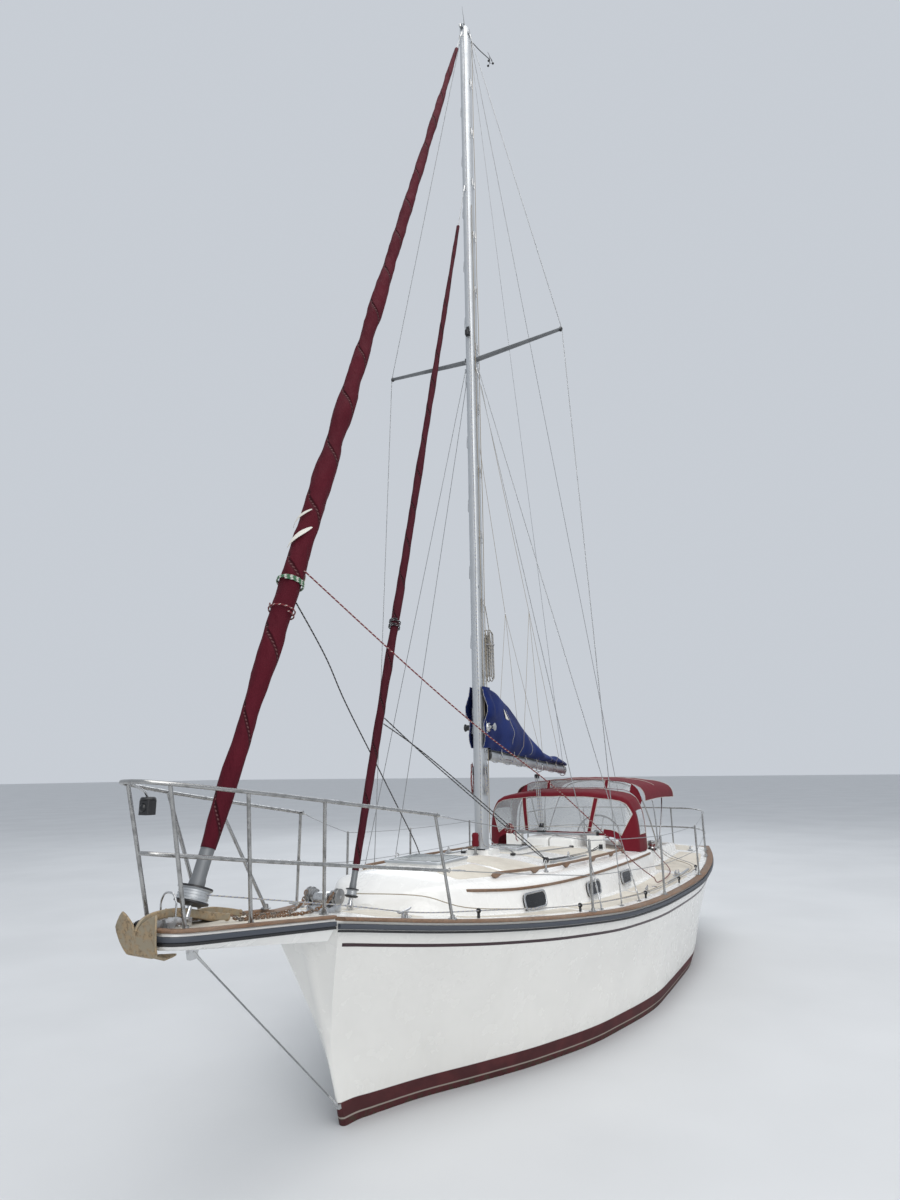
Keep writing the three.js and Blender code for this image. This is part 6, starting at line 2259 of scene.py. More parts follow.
    def hardware(self) -> None:
        """Cleats, deck fillers, chocks and the sheet tracks with their cars."""
        form = Form()
        for s, y in self.cleats:
            for side in (1, -1):
                place_y = side * (y - 0.06 if s > 1 else y)
                self.cleat(form, at(s, place_y, deck_z(s, place_y)), 0.24, 0.12 * side)
        for side in (1, -1):
            for fore, aft, y in ((5.2, 6.6, 1.5), (3.2, 4.3, 0.93)):
                self.track(form, side, fore, aft, y)
            for s, y in ((5.9, 1.5), (3.7, 0.93)):
                self.car(form, side, s, y)
            form.lathe(
                [(0.001, 0), (0.034, 0), (0.034, 0.003), (0.024, 0.006), (0.001, 0.006)],
                at(4.8, side * 1.42, deck_z(4.8, 1.42)),
                sides=24,
            )
            post = at(2.7, side * 0.86, roof_z(2.7, 0.86))
            form.lathe(
                [(0.001, 0), (0.03, 0), (0.03, 0.005), (0.014, 0.01), (0.011, 0.05), (0.001, 0.052)], post, sides=16
            )
            form.tube(
                [
                    post + Vector((0.03 * math.cos(a), 0, 0.078 + 0.03 * math.sin(a)))
                    for a in spaced(0, TAU * 15 / 16, 16)
                ],
                0.0055,
                10,
                closed=True,
            )
        Piece("deck_hardware", [CHROME, ALLOY], smooth=40).make(form)

    def build(self, deck: Deck) -> None:
        """Makes the fittings."""
        self.portlights(deck)
        self.handrails()
        self.hardware()


@dataclass
class Hatches:
    """The two deck hatches, each on its own body, hinged at its fore edge."""

    def lid(self, name: str, node: str, body: Body, hatch: HatchPlace) -> None:
        """Makes one hatch lid.

        Args:
            name: The name of the piece.
            node: The node that it replaces.
            body: The body that it rides on.
            hatch: The place of its opening.
        """
        fore, aft, half, seat = hatch.fore, hatch.aft, hatch.half, hatch.seat
        lap = 0.0135
        middle, reach = (fore + aft) / 2, (aft - fore) / 2 + lap
        wide = half + lap

        def ring(inset: float, z: float) -> list[Vector]:
            """The lid's outline at a height, drawn in by an inset."""
            a, b = reach - inset, wide - inset
            outline = rounded_box((-a, a), (-b, b), max(0.05 - inset, 0.012), 5)
            return [at(middle + x, y, z) for x, y in outline]

        form = Form()
        rows = [
            ring(0.0, seat + 0.0005),
            ring(0.0, seat + 0.017),
            ring(0.004, seat + 0.0215),
            ring(0.034, seat + 0.0225),
            ring(0.036, seat + 0.019),
        ]
        form.skin(rows, caps=False)
        form.skin(
            [
                ring(0.0, seat + 0.0005),
                ring(0.04, seat + 0.0005),
                ring(0.04, seat + 0.012),
                ring(0.0358, seat + 0.0185),
            ],
            caps=False,
        )
        form.skin([ring(0.0362, seat + 0.0125), ring(0.0362, seat + 0.0245), ring(0.041, seat + 0.0258)], mark=1)
        for side in (1, -1):
            form.block(
                (fore - 0.012, fore + 0.05),
                (side * half * 0.6 - 0.022, side * half * 0.6 + 0.022),
                (seat + 0.0005, seat + 0.0255),
                mark=0,
            )
            form.lathe(
                [(0.001, 0), (0.011, 0), (0.011, 0.004), (0.001, 0.0055)],
                at(aft - 0.06, side * half * 0.55, seat + 0.0205),
                sides=14,
            )
        Piece(name, [ALLOY, SMOKED], body, [node], smooth=40, bevel=0.0012).make(form)

    def build(self) -> None:
        """Makes both."""
        self.lid("foredeck_hatch_lid", "fore_hatch", Body.FORE_HATCH, FORE_HATCH)
        self.lid("midship_hatch_lid", "mid_hatch", Body.MID_HATCH, MID_HATCH)


# Ground tackle


@dataclass
class Plough:
    """One plough anchor: a folded share and a shank, both thick forgings.

    Attributes:
        name: The name of the piece.
        node: The node that it replaces.
        y: Where its middle plane is.
        share: Its share's plates on the port side, as s, y out and z.
        shank: The shank's bar, from its eye aft to its joint with the share, as s, z and half-depth.
        thickness: How thick the share is.
    """

    name: str
    node: str
    y: float
    share: tuple[tuple[tuple[float, float, float], ...], ...]
    shank: tuple[tuple[float, float, float], ...]
    thickness: float = 0.014

    def plate(self, outline: Sequence[tuple[float, float, float]], side: int) -> Form:
        """One plate of the share, crowned along its middle.

        Args:
            outline: Its corners, as s, y out and z.
            side: 1 to port and -1 to starboard.

        Returns:
            The plate.
        """
        points = [at(s, self.y + side * max(out, 0.001), z) for s, out, z in outline]
        middle = sum(points, Vector()) / len(points)
        normal = Vector()
        for a, b in zip(points, points[1:] + points[:1]):
            normal += (a - middle).cross(b - middle)
        normal.normalize()
        loop = through(points, 3, closed=True)
        loop = [q.lerp(p, 0.55) for p, q in zip(loop, self.straight(points, 3))]
        form = Form()
        half = self.thickness / 2
        rows = [
            [p.lerp(middle, 0.03) - half * normal for p in loop],
            [p - 0.5 * half * normal for p in loop],
            [p + 0.5 * half * normal for p in loop],
            [p.lerp(middle, 0.03) + half * normal for p in loop],
        ]
        return form.skin(rows)

    @staticmethod
    def straight(points: Sequence[Vector], steps: int) -> list[Vector]:
        """The outline's own edges, cut into steps."""
        found = []
        for a, b in zip(points, [*points[1:], points[0]]):
            found += [a.lerp(b, k / steps) for k in range(steps)]
        return found

    def build(self) -> None:
        """Makes the anchor."""
        form = Form()
        for outline in self.share:
            for side in (1, -1):
                form.add(self.plate(outline, side))
        curve = through([Vector((s, z, h)) for s, z, h in self.shank], 6)
        rows = []
        for i, p in enumerate(curve):
            ring = rounded_box((-0.009, 0.009), (-p.z, p.z), 0.006, 3)
            run = curve[min(i + 1, len(curve) - 1)] - curve[max(i - 1, 0)]
            slope = Vector((run.x, run.y)).normalized()
            rows.append([at(p.x - slope.y * u, self.y + w, p.y + slope.x * u) for w, u in ring])
        form.skin(rows)
        eye = self.shank[0]
        centre = at(eye[0] - 0.012, self.y, eye[1])
        form.tube(
            [centre + 0.02 * Vector((math.cos(a), 0, math.sin(a))) for a in spaced(0, TAU * 15 / 16, 16)],
            0.0055,
            8,
            closed=True,
        )
        joint = self.shank[-1]
        form.rod(at(joint[0], self.y - 0.026, joint[1]), at(joint[0], self.y + 0.026, joint[1]), 0.012, 14)
        Piece(self.name, [ZINC], stands_for=[self.node], smooth=35, bevel=0.0015).make(form)


BOWER = Plough(
    "plough_anchor",
    "bower_anchor",
    0.0,
    (
        ((-1.105, 0, 1.497), (-1.236, 0.056, 1.504), (-1.352, 0.116, 1.543), (-1.38, 0.0, 1.56), (-1.24, 0.0, 1.52)),
        (
            (-1.352, 0.116, 1.54), (-1.384, 0.142, 1.606), (-1.408, 0.16, 1.692), (-1.392, 0.136, 1.768),
            (-1.402, 0.04, 1.716), (-1.4, 0.0, 1.655), (-1.38, 0.0, 1.556),
        ),
    ),
    (
        (-0.7, 1.635, 0.02), (-0.86, 1.668, 0.022), (-1.1, 1.726, 0.024), (-1.27, 1.735, 0.024), (-1.36, 1.712, 0.026),
        (-1.392, 1.668, 0.024),
    ),
)
SPARE = Plough(
    "spare_plough_anchor",
    "second_anchor",
    -0.14,
    (
        (
            (-0.622, 0, 1.6), (-0.77, 0.054, 1.622), (-0.915, 0.086, 1.67), (-1.008, 0.09, 1.712),
            (-1.012, 0.02, 1.678), (-0.9, 0.0, 1.654),
        ),
    ),
    ((-0.44, 1.606, 0.018), (-0.6, 1.645, 0.02), (-0.75, 1.668, 0.022), (-0.9, 1.662, 0.022)),
)


class BowRoller:
    """The stainless channel, its roller and the bail that keeps the chain in."""

    def build(self) -> None:
        """Makes the roller."""
        form = Form()
        profile = [(-1.376, 1.65), (-1.13, 1.65), (-1.13, 1.7), (-1.18, 1.722), (-1.3, 1.72), (-1.376, 1.715)]
        outline = round_corners(profile, 0.018, 4)
        for side in (1, -1):
            points = [at(s, side * 0.062, z) for s, z in outline]
            form.plate(points, Vector((0, 0.0075, 0)))
            form.lathe(
                [(0.001, 0), (0.015, 0), (0.015, 0.004), (0.009, 0.009), (0.001, 0.0095)],
                at(-1.35, side * 0.0655, 1.698),
                Vector((0, side, 0)),
                6,
            )
            for s in (-1.16, -1.26):
                form.ball(at(s, side * 0.067, 1.668), 0.006, squeeze=0.7, sides=8)
        form.block((-1.372, -1.132), (-0.058, 0.058), (1.6488, 1.655))
        bail = [
            (-0.0625, 1.69), (-0.062, 1.745), (-0.06, 1.8), (-0.03, 1.843), (0.03, 1.843), (0.06, 1.8), (0.062, 1.745),
            (0.0625, 1.69),
        ]
        form.tube(through([at(-1.19, y, z) for y, z in bail], 5), 0.0058, 10)
        wheel = [
            (0.001, -0.052), (0.023, -0.052), (0.024, -0.045), (0.012, -0.012), (0.012, 0.012), (0.024, 0.045),
            (0.023, 0.052), (0.001, 0.052),
        ]
        form.lathe(wheel, at(-1.35, 0, 1.698), ACROSS, 24, mark=1)
        Piece("bow_roller_channel", [CHROME, BLACK], stands_for=["bow_roller"], smooth=40, bevel=0.001).make(form)


@dataclass
class Chain:
    """Anchor chain from the plough's eye to the windlass.

    Attributes:
        pitch: The length of a link.
        wire: The radius of its wire.
    """

    pitch: float = 0.03
    wire: float = 0.005

    def links(self, path: Sequence[Vector]) -> Form:
        """Real links along a path, every other one turned by a quarter.

        Args:
            path: The points that the chain passes through.

        Returns:
            The links.
        """
        link = Form()
        half, bend = 0.0095, 0.0085
        outline = []
        for a in spaced(-90, 90, 6):
            outline.append(Vector((bend + half * math.cos(math.radians(a)), half * math.sin(math.radians(a)), 0)))
        for a in spaced(90, 270, 6):
            outline.append(Vector((-bend + half * math.cos(math.radians(a)), half * math.sin(math.radians(a)), 0)))
        link.tube(outline, self.wire * 0.86, 7, closed=True)
        curve = through(path, 12)
        lengths = lengths_along(curve)
        count = int(lengths[-1] / (self.pitch * 0.84))
        form = Form()
        for i in range(count):
            where = (i + 0.5) * lengths[-1] / count
            k = int(np.searchsorted(lengths, where)) - 1
            k = min(max(k, 0), len(curve) - 2)
            share = (where - lengths[k]) / max(lengths[k + 1] - lengths[k], 1e-9)
            run = (curve[k + 1] - curve[k]).normalized()
            turn = AHEAD.rotation_difference(run).to_matrix().to_4x4()
            spin = Matrix.Rotation(math.radians(45 + 90 * (i % 2)), 4, "X")
            form.add(link, Matrix.Translation(curve[k].lerp(curve[k + 1], share)) @ turn @ spin)
        return form

    def build(self) -> None:
        """Makes the chain."""
        path = [
            at(-0.675, 0.0, 1.637), at(-0.6, 0.005, platform_z(-0.6) + 0.016),
            at(-0.35, 0.012, platform_z(-0.35) + 0.014), at(-0.05, 0.03, platform_z(-0.05) + 0.014),
            at(0.06, 0.06, deck_z(0.1, 0.06) + 0.02), at(0.17, 0.1, 1.585), at(0.225, 0.125, 1.655),
        ]
        Piece("anchor_chain", [CHAIN_ZINC], smooth=50).make(self.links(path))
        second = [
            at(-0.46, -0.14, 1.612), at(-0.35, -0.13, platform_z(-0.35) + 0.014),
            at(-0.1, -0.11, platform_z(-0.1) + 0.014), at(0.06, -0.1, deck_z(0.1, 0.06) + 0.02),
            at(0.17, -0.115, 1.585), at(0.225, -0.125, 1.655),
        ]
        Piece("spare_anchor_chain", [CHAIN_ZINC], smooth=50).make(self.links(second))


@dataclass
class Windlass:
    """The windlass: a cast body with two gypsies.

    Attributes:
        s: Where its shaft is.
        z: How high its shaft is.
    """

    s: float = 0.285
    z: float = 1.618

    def build(self) -> None:
        """Makes the windlass."""
        form = Form()
        low = deck_z(self.s, 0.0) - 0.008
        base = rounded_box((-0.108, 0.108), (-0.094, 0.094), 0.03, 4)
        form.skin(
            [
                [at(self.s + x * k, y * k, z) for x, y in base]
                for k, z in ((1, low), (1, 1.556), (0.96, 1.562), (0.8, 1.564))
            ]
        )
        body = rounded_box((-0.072, 0.072), (-0.07, 0.07), 0.026, 5)
        form.skin(
            [
                [at(self.s + x * k, y * k, z) for x, y in body]
                for k, z in ((1, 1.562), (1, 1.6), (0.96, 1.63), (0.8, 1.646), (0.4, 1.65))
            ]
        )
        for side in (1, -1):
            gypsy = [
                (0.03, 0.072), (0.046, 0.074), (0.046, 0.1), (0.059, 0.106), (0.06, 0.112), (0.046, 0.121),
                (0.046, 0.129), (0.06, 0.138), (0.058, 0.145), (0.03, 0.149), (0.001, 0.149),
            ]
            form.lathe(gypsy, at(self.s, 0, self.z), Vector((0, side, 0)), 28, mark=1)
            for k in range(8):
                turn = TAU * k / 8
                hub = at(self.s, side * 0.125, self.z)
                form.rod(
                    hub + 0.047 * Vector((math.cos(turn), 0, math.sin(turn))),
                    hub + 0.056 * Vector((math.cos(turn), 0, math.sin(turn))),
                    0.0075,
                    8,
                    mark=1,
                )
            form.lathe(
                [(0.001, 0), (0.012, 0), (0.012, 0.0008), (0.001, 0.0009)],
                at(self.s, side * 0.1492, self.z),
                Vector((0, side, 0)),
                16,
            )
        for x, y in ((-0.09, -0.078), (-0.09, 0.078), (0.09, -0.078), (0.09, 0.078)):
            form.ball(at(self.s + x, y, 1.561), 0.006, squeeze=0.7, sides=8)
        Piece("anchor_windlass", [CHROME, DARK_STEEL], stands_for=["windlass"], smooth=38, bevel=0.001).make(form)


def build_tackle() -> None:
    """Makes the ground tackle."""
    BOWER.build()
    SPARE.build()
    BowRoller().build()
    Chain().build()
    Windlass().build()


# Spars and standing rigging


def oval_ring(s: float, z: float, fore_aft: float, width: float, sides: int = 28) -> list[Vector]:
    """A level oval section of the mast, fuller than an ellipse."""
    found = []
    for k in range(sides):
        a = TAU * (k + 0.5) / sides
        c, d = math.cos(a), math.sin(a)
        found.append(
            at(s - 0.5 * fore_aft * math.copysign(abs(c) ** 0.9, c), 0.5 * width * math.copysign(abs(d) ** 0.9, d), z)
        )
    return found


@dataclass
class Mast:
    """The mast with everything that is bolted to it.

    Attributes:
        s: Where it stands.
        fore_aft: Its size along the boat.
        width: Its size across.
        foot: The height of its foot.
        top: The height of its top.
        step_places: The heights of its steps.
    """

    s: float = MAST_S
    fore_aft: float = 0.194
    width: float = 0.134
    foot: float = 1.7
    top: float = 12.95
    step_places: tuple[float, ...] = tuple(2.35 + 0.42 * k for k in range(24))

    def section(self) -> None:
        """The spar itself: wall, seam of its track and its crane."""
        form = Form()
        rows = [
            oval_ring(self.s, z, self.fore_aft, self.width) for z in (self.foot, 3.0, 5.0, 7.6, 10.0, 12.6, self.top)
        ]
        form.skin(rows)
        back = self.s + self.fore_aft / 2
        track = [(back - 0.004, -0.014), (back + 0.009, -0.014), (back + 0.009, -0.004), (back - 0.001, -0.0035),
                 (back - 0.001, 0.0035), (back + 0.009, 0.004), (back + 0.009, 0.014), (back - 0.004, 0.014)]
        form.prism(track, (3.46, 12.85))
        crane = round_corners(
            [
                (2.912, 12.905), (2.96, 12.89), (3.2, 12.89), (3.258, 12.915), (3.258, 12.95), (3.15, 12.978),
                (2.95, 12.978), (2.912, 12.95),
            ],
            0.02,
            3,
        )
        for side in (-0.022, 0.022):
            form.plate([at(s, side, z) for s, z in crane], Vector((0, 0.008, 0)))
        form.skin(
            [
                oval_ring(self.s, z, self.fore_aft * k, self.width * k)
                for z, k in ((self.top - 0.005, 1), (self.top + 0.006, 1.0), (self.top + 0.012, 0.9))
            ]
        )
        for low in (2.658, 2.73):
            form.block((3.14, 3.227), (-0.024, 0.024), (low, low + 0.012))
        for z in (2.28, 2.36, 4.62):
            form.lathe(
                [(0.001, 0), (0.02, 0), (0.02, 0.003), (0.012, 0.004), (0.001, 0.004)],
                at(self.s - 0.05, self.width / 2 - 0.008, z),
                ACROSS,
                14,
            )
        Piece("mast_section", [ALLOY], stands_for=["mast"], smooth=35).make(form)

    def step(self, form: Form, z: float, side: int) -> None:
        """Adds one folding step on a side of the mast."""
        y = side * self.width / 2
        form.block((self.s - 0.03, self.s + 0.03), (y, y + side * 0.007), (z - 0.055, z + 0.03))
        loop = [
            at(self.s - 0.02, y + side * 0.01, z + 0.02), at(self.s - 0.025, y + side * 0.013, z - 0.11),
            at(self.s, y + side * 0.014, z - 0.125), at(self.s + 0.025, y + side * 0.013, z - 0.11),
            at(self.s + 0.02, y + side * 0.01, z + 0.02),
        ]
        form.tube(through(loop, 3), 0.0042, 6)

    def winch(self, form: Form, base: Vector, axis: Vector, size: float) -> None:
        """Adds a chromed winch that stands on a base along an axis."""
        profile = [
            (1.3, 0), (1.3, 0.12), (1.15, 0.3), (0.82, 0.5), (0.72, 0.95), (0.76, 1.45), (0.98, 1.72), (1.02, 1.85),
            (0.7, 1.9), (0.68, 2.02), (0.001, 2.04),
        ]
        form.lathe([(r * size, h * size) for r, h in profile], base, axis, 26)

    def fittings(self) -> None:
        """Steps, winches, sheaves, cleats and the gooseneck's pin."""
        form = Form()
        for i, z in enumerate(self.step_places):
            self.step(form, z, 1 if i % 2 else -1)
        for side in (1, -1):
            form.block((3.02, 3.12), (side * 0.05, side * 0.104), (2.93, 3.07))
            worn = Form()
            self.winch(worn, at(3.07, side * 0.104, 3.0), Vector((0, side, 0)), 0.043)
            # The starboard winch takes the black finish and the port one the chrome.
            worn.marks = [int(side < 0)] * len(worn.marks)
            form.add(worn)
            cleat = at(3.03, side * (self.width / 2 + 0.004), 2.52)
            local = Form()
            RoofFittings().cleat(local, Vector(), 0.15)
            form.add(
                local,
                Matrix.Translation(cleat) @ Matrix.Rotation(-side * math.pi / 2, 4, "X") @ Matrix.Rotation(
                    math.pi / 2, 4, "Z"
                ),
            )
            for z, half in ((7.48, 0.046), (12.86, 0.046)):
                form.block(
                    (self.s - half, self.s + half),
                    (side * self.width / 2, side * (self.width / 2 + 0.013)),
                    (z - 0.03, z + 0.02),
                )
        form.rod(at(3.205, 0, 2.645), at(3.205, 0, 2.756), 0.008, 12)
        form.ball(at(3.205, 0, 2.758), 0.011, squeeze=0.5, sides=10)
        for s in (2.945, 3.215):
            form.lathe(sheave(0.03, 0.022, 0.012), at(s, 0, 12.935), ACROSS, 20)
        Piece("mast_fittings", [CHROME, BLACK], smooth=40).make(form)

    def dark_fittings(self) -> None:
        """The steaming light, the deck light and the blocks at the foot."""
        dark = Form()
        front = self.s - self.fore_aft / 2
        dark.skin(
            [
                [
                    at(front - 0.002 - a, b, z)
                    for a, b in round_corners(
                        [(-0.012, -0.03), (0.055, -0.022), (0.055, 0.022), (-0.012, 0.03)], 0.012
                    )
                ]
                for z in (7.92, 7.985)
            ]
        )
        dark.block((front - 0.012, front + 0.006), (-0.02, 0.02), (8.0, 8.05))
        dark.block((2.916, 2.928), (-0.1, 0.1), (1.7, 1.712))
        block = at(2.9, 0.0, 1.725)
        dark.plate(
            [block + Vector((0.03 * math.cos(a), 0, 0.03 + 0.03 * math.sin(a))) for a in spaced(0, TAU * 15 / 16, 16)],
            Vector((0, 0.03, 0)),
        )
        Piece("mast_dark_fittings", [BLACK], smooth=40, bevel=0.001).make(dark)

    def masthead(self) -> None:
        """Whip aerial, wind cups on their arm and the wind vane."""
        form = Form()
        whip = at(2.97, 0.03, 12.96)
        form.tube([whip, whip + Vector((0, 0, 0.05)), whip + Vector((0.015, -0.02, 0.33))], [0.008, 0.004, 0.0012], 8)
        arm = through([at(3.2, 0.02, 12.93), at(3.35, 0.1, 12.86), at(3.52, 0.18, 12.83)], 5)
        form.tube(arm, 0.006, 8)
        tip = arm[-1]
        form.rod(tip + Vector((0, 0, -0.07)), tip + Vector((0, 0, 0.06)), 0.005, 8)
        for k in range(3):
            turn = TAU * k / 3
            cup = tip + Vector((0.045 * math.cos(turn), 0.045 * math.sin(turn), -0.07))
            form.rod(tip + Vector((0, 0, -0.07)), cup, 0.002, 6)
            form.ball(cup, 0.017, sides=10)
        vane = tip + Vector((0, 0, 0.06))
        form.tube([vane + Vector((0.07, 0, 0)), vane - Vector((0.06, 0, 0))], 0.003, 6)
        form.plate(
            [
                vane + Vector((-0.05, 0, -0.018)),
                vane + Vector((-0.095, 0, -0.022)),
                vane + Vector((-0.095, 0, 0.022)),
                vane + Vector((-0.05, 0, 0.018)),
            ],
            Vector((0, 0.002, 0)),
        )
        Piece("masthead_instruments", [BLACK], smooth=45).make(form)

    def spreaders(self) -> None:
        """The spreaders, with their roots and tip boots."""
        section = [
            (-0.5, 0), (-0.42, 0.26), (-0.2, 0.5), (0.1, 0.46), (0.35, 0.24), (0.5, 0), (0.35, -0.24), (0.1, -0.46),
            (-0.2, -0.5), (-0.42, -0.26),
        ]
        for name, side in SIDES.items():
            form = Form()
            rows = []
            for y in (0.0674, 0.2, 0.6, 1.0, 1.185, 1.2):
                share = (y - 0.067) / 1.133
                scale = (1 - 0.35 * share) * (0.8 if y == 1.2 else 1)
                z = 7.614 + 0.076 * share
                rows.append([at(self.s + a * 0.1 * scale, side * y, z + b * 0.046 * scale) for a, b in section])
            form.skin(rows)
            form.skin(
                [
                    [
                        at(self.s + a, side * (0.0672 + y), 7.614 + b)
                        for a, b in rounded_box((-0.06, 0.06), (-0.035, 0.035), 0.02)
                    ]
                    for y in (0.0, 0.006)
                ],
                mark=1,
            )
            form.ball(at(self.s, side * 1.19, 7.69), 0.026, mark=2, squeeze=1.2, sides=12)
            # The spreader bars wear the darkened alloy: painted shade for their undersides seen from below.
            Piece(
                f"{name}_spreader_bar", [DARK_AND_SHADED_ALLOY, CHROME, BLACK], stands_for=[f"{name}_spreader"], smooth=40
            ).make(form)

    def build(self) -> None:
        """Makes the mast."""
        self.section()
        self.fittings()
        self.dark_fittings()
        self.masthead()
        self.spreaders()


def wire_run(form: Form, start: Vector, end: Vector, radius: float, mark: int = 0) -> None:
    """Adds a taut wire, in short enough stretches for its lay."""
    steps = max(2, int((end - start).length / 1.5))
    form.tube([start.lerp(end, i / steps) for i in range(steps + 1)], radius, 8, mark)


def bottle_screw(form: Form, foot: Vector, aim: Vector, length: float, mark: int) -> Vector:
    """Adds a rigging screw with its toggle and swaged end.

    Args:
        form: The form that it goes into.
        foot: Where its toggle is pinned.
        aim: Where its wire goes.
        length: How long it is with its swage.
        mark: The number of its finish.

    Returns:
        Where the wire leaves it.
    """
    run = (aim - foot).normalized()
    stops = [
        (0.0, 0.0085), (0.03, 0.0085), (0.032, 0.0055), (0.06, 0.0055), (0.062, 0.0098), (0.085, 0.0098),
        (0.09, 0.0075), (0.6 * length - 0.005, 0.0075), (0.6 * length, 0.0098), (0.6 * length + 0.02, 0.0098),
        (0.6 * length + 0.022, 0.0055), (0.78 * length, 0.0055), (0.785 * length, 0.0078), (length, 0.0062),
    ]
    form.tube([foot + run * along for along, _ in stops], [radius for _, radius in stops], 10, mark)
    pin = run.cross(UP).normalized()
    form.rod(foot + run * 0.012 - pin * 0.016, foot + run * 0.012 + pin * 0.016, 0.0045, 8, mark)
    return foot + run * (length - 0.02)


@dataclass
class StandingRigging:
    """Shrouds, stays and their fittings.

    Attributes:
        inset: How far the chainplates are in from the gunwale.
        lowers: The lower shrouds: s at the deck and s at the mast.
        cap_s: Where the cap shroud meets the deck.
    """

    inset: float = 0.118
    lowers: tuple[tuple[float, float], ...] = ((2.76, 3.026), (3.64, 3.094))
    cap_s: float = 3.16

    def foot(self, s: float, side: int) -> Vector:
        """Where a shroud is pinned at the deck."""
        y = gunwale(s)[0] - self.inset
        return at(s, side * y, deck_z(s, y) + 0.022)

    def shrouds(self) -> None:
        """Both sides' shrouds."""
        for name, side in SIDES.items():
            form = Form()
            tip = at(MAST_S, side * 1.2069, 7.69)
            head = at(MAST_S, side * 0.074, 12.86)
            start = bottle_screw(form, self.foot(self.cap_s, side), tip, 0.29, 1)
            wire_run(form, start, tip, 0.0045)
            wire_run(form, tip, head, 0.0045)
            for deck_s, mast_s in self.lowers:
                upper = at(mast_s, side * 0.076, 7.48)
                start = bottle_screw(form, self.foot(deck_s, side), upper, 0.29, 1)
                wire_run(form, start, upper, 0.004)
                run = (start - upper).normalized()
                form.tube([upper, upper + run * 0.09], [0.0075, 0.006], 8, 1)
            run = (tip - head).normalized()
            form.tube([head, head + run * 0.1], [0.0085, 0.0065], 8, 1)
            for s in (self.lowers[0][0], self.cap_s, self.lowers[1][0]):
                base = self.foot(s, side)
                ring = rounded_box((-0.045, 0.045), (-0.018, 0.018), 0.016)
                level = deck_z(s, gunwale(s)[0] - self.inset)
                form.skin([[at(s + a, base.y + b, z) for a, b in ring] for z in (level - 0.002, level + 0.004)], mark=1)
                form.plate(
                    [
                        at(s - 0.018, base.y, level), at(s + 0.018, base.y, level),
                        at(s + 0.014, base.y, level + 0.034), at(s - 0.014, base.y, level + 0.034),
                    ],
                    Vector((0, 0.007, 0)),
                    mark=1,
                )
            Piece(f"{name}_shroud_wires", [WIRE, CHROME], stands_for=[f"{name}_shrouds"], smooth=45).make(form)

    def stay(self, name: str, node: str, stay: Stay) -> None:
        """A headstay with its tack fittings.

        Args:
            name: The name of the piece.
            node: The node that it replaces.
            stay: Its line.
        """
        form = Form()
        tack, head = stay.point(stay.tack_z), stay.point(stay.head_z)
        wire_run(form, stay.point(stay.tack_z - 0.01), head, 0.005)
        up = stay.up()
        form.tube([tack - up * 0.01, tack + up * 0.03, stay.point(stay.drum_z - 0.001)], [0.02, 0.016, 0.016], 12, 1)
        lug = rounded_box((-0.034, 0.034), (-0.075, 0.006), 0.02)
        form.plate([tack + Vector((x, 0, z)) for x, z in lug], Vector((0, 0.016, 0)), 1)
        form.rod(tack + Vector((0, -0.02, -0.02)), tack + Vector((0, 0.02, -0.02)), 0.007, 10, 1)
        form.tube([head, head - up * 0.12], [0.0105, 0.0075], 10, 1)
        tang = [
            head + Vector((0.012, 0, -0.03)),
            head + Vector((-0.014, 0, -0.046)),
            head + Vector((-0.016, 0, 0.008)),
            head + Vector((0.01, 0, 0.008)),
        ]
        form.plate(tang, Vector((0, 0.016, 0)), 1)
        Piece(name, [WIRE, CHROME], stands_for=[node], smooth=45).make(form)

    def ends(self) -> None:
        """The backstay and the bobstay."""
        form = Form()
        level = deck_z(9.15, 0)
        foot, head = at(9.15, 0, level + 0.04), at(3.266, 0, 12.93)
        start = bottle_screw(form, foot, head, 0.38, 1)
        wire_run(form, start, head, 0.0045)
        plate = round_corners([(-0.028, -0.004), (0.028, -0.004), (0.02, 0.058), (-0.02, 0.058)], 0.012)
        form.plate([at(9.15 + x, 0, level + z) for x, z in plate], Vector((0, 0.012, 0)), 1)
        form.block((9.12, 9.18), (-0.02, 0.02), (level - 0.004, level + 0.004), 1)
        Piece("backstay_wire", [WIRE, CHROME], stands_for=["backstay"], smooth=45).make(form)
        bob = Form()
        stem, sprit = at(0.512, 0, 0.15), at(-0.985, 0, 1.49)
        wire_run(bob, stem, sprit, 0.006)
        run = (sprit - stem).normalized()
        bob.tube(
            [stem - run * 0.012, stem + run * 0.05, stem + run * 0.055, stem + run * 0.16],
            [0.013, 0.013, 0.009, 0.0075],
            12,
            1,
        )
        bob.tube(
            [sprit, sprit - run * 0.05, sprit - run * 0.055, sprit - run * 0.2], [0.012, 0.012, 0.009, 0.0075], 12, 1
        )
        eye = round_corners([(-0.03, -0.078), (0.03, -0.078), (0.048, -0.004), (-0.048, -0.004)], 0.012)
        top = platform_z(-0.985) - (0.15 - 0.058 * 0.985 / PLATFORM_LENGTH)
        bob.plate([at(-0.985 + x, 0, top + z + 0.002) for x, z in eye], Vector((0, 0.018, 0)), 1)
        bob.block((0.5, 0.56), (-0.024, 0.024), (0.13, 0.165), 1)
        Piece("bobstay_wire", [WIRE, CHROME], stands_for=["bobstay"], smooth=45).make(bob)

    def build(self) -> None:
        """Makes the standing rigging."""
        self.shrouds()
        self.stay("forestay_wire", "forestay", FORESTAY)
        self.stay("inner_stay_wire", "inner_stay", INNER_STAY)
        self.ends()


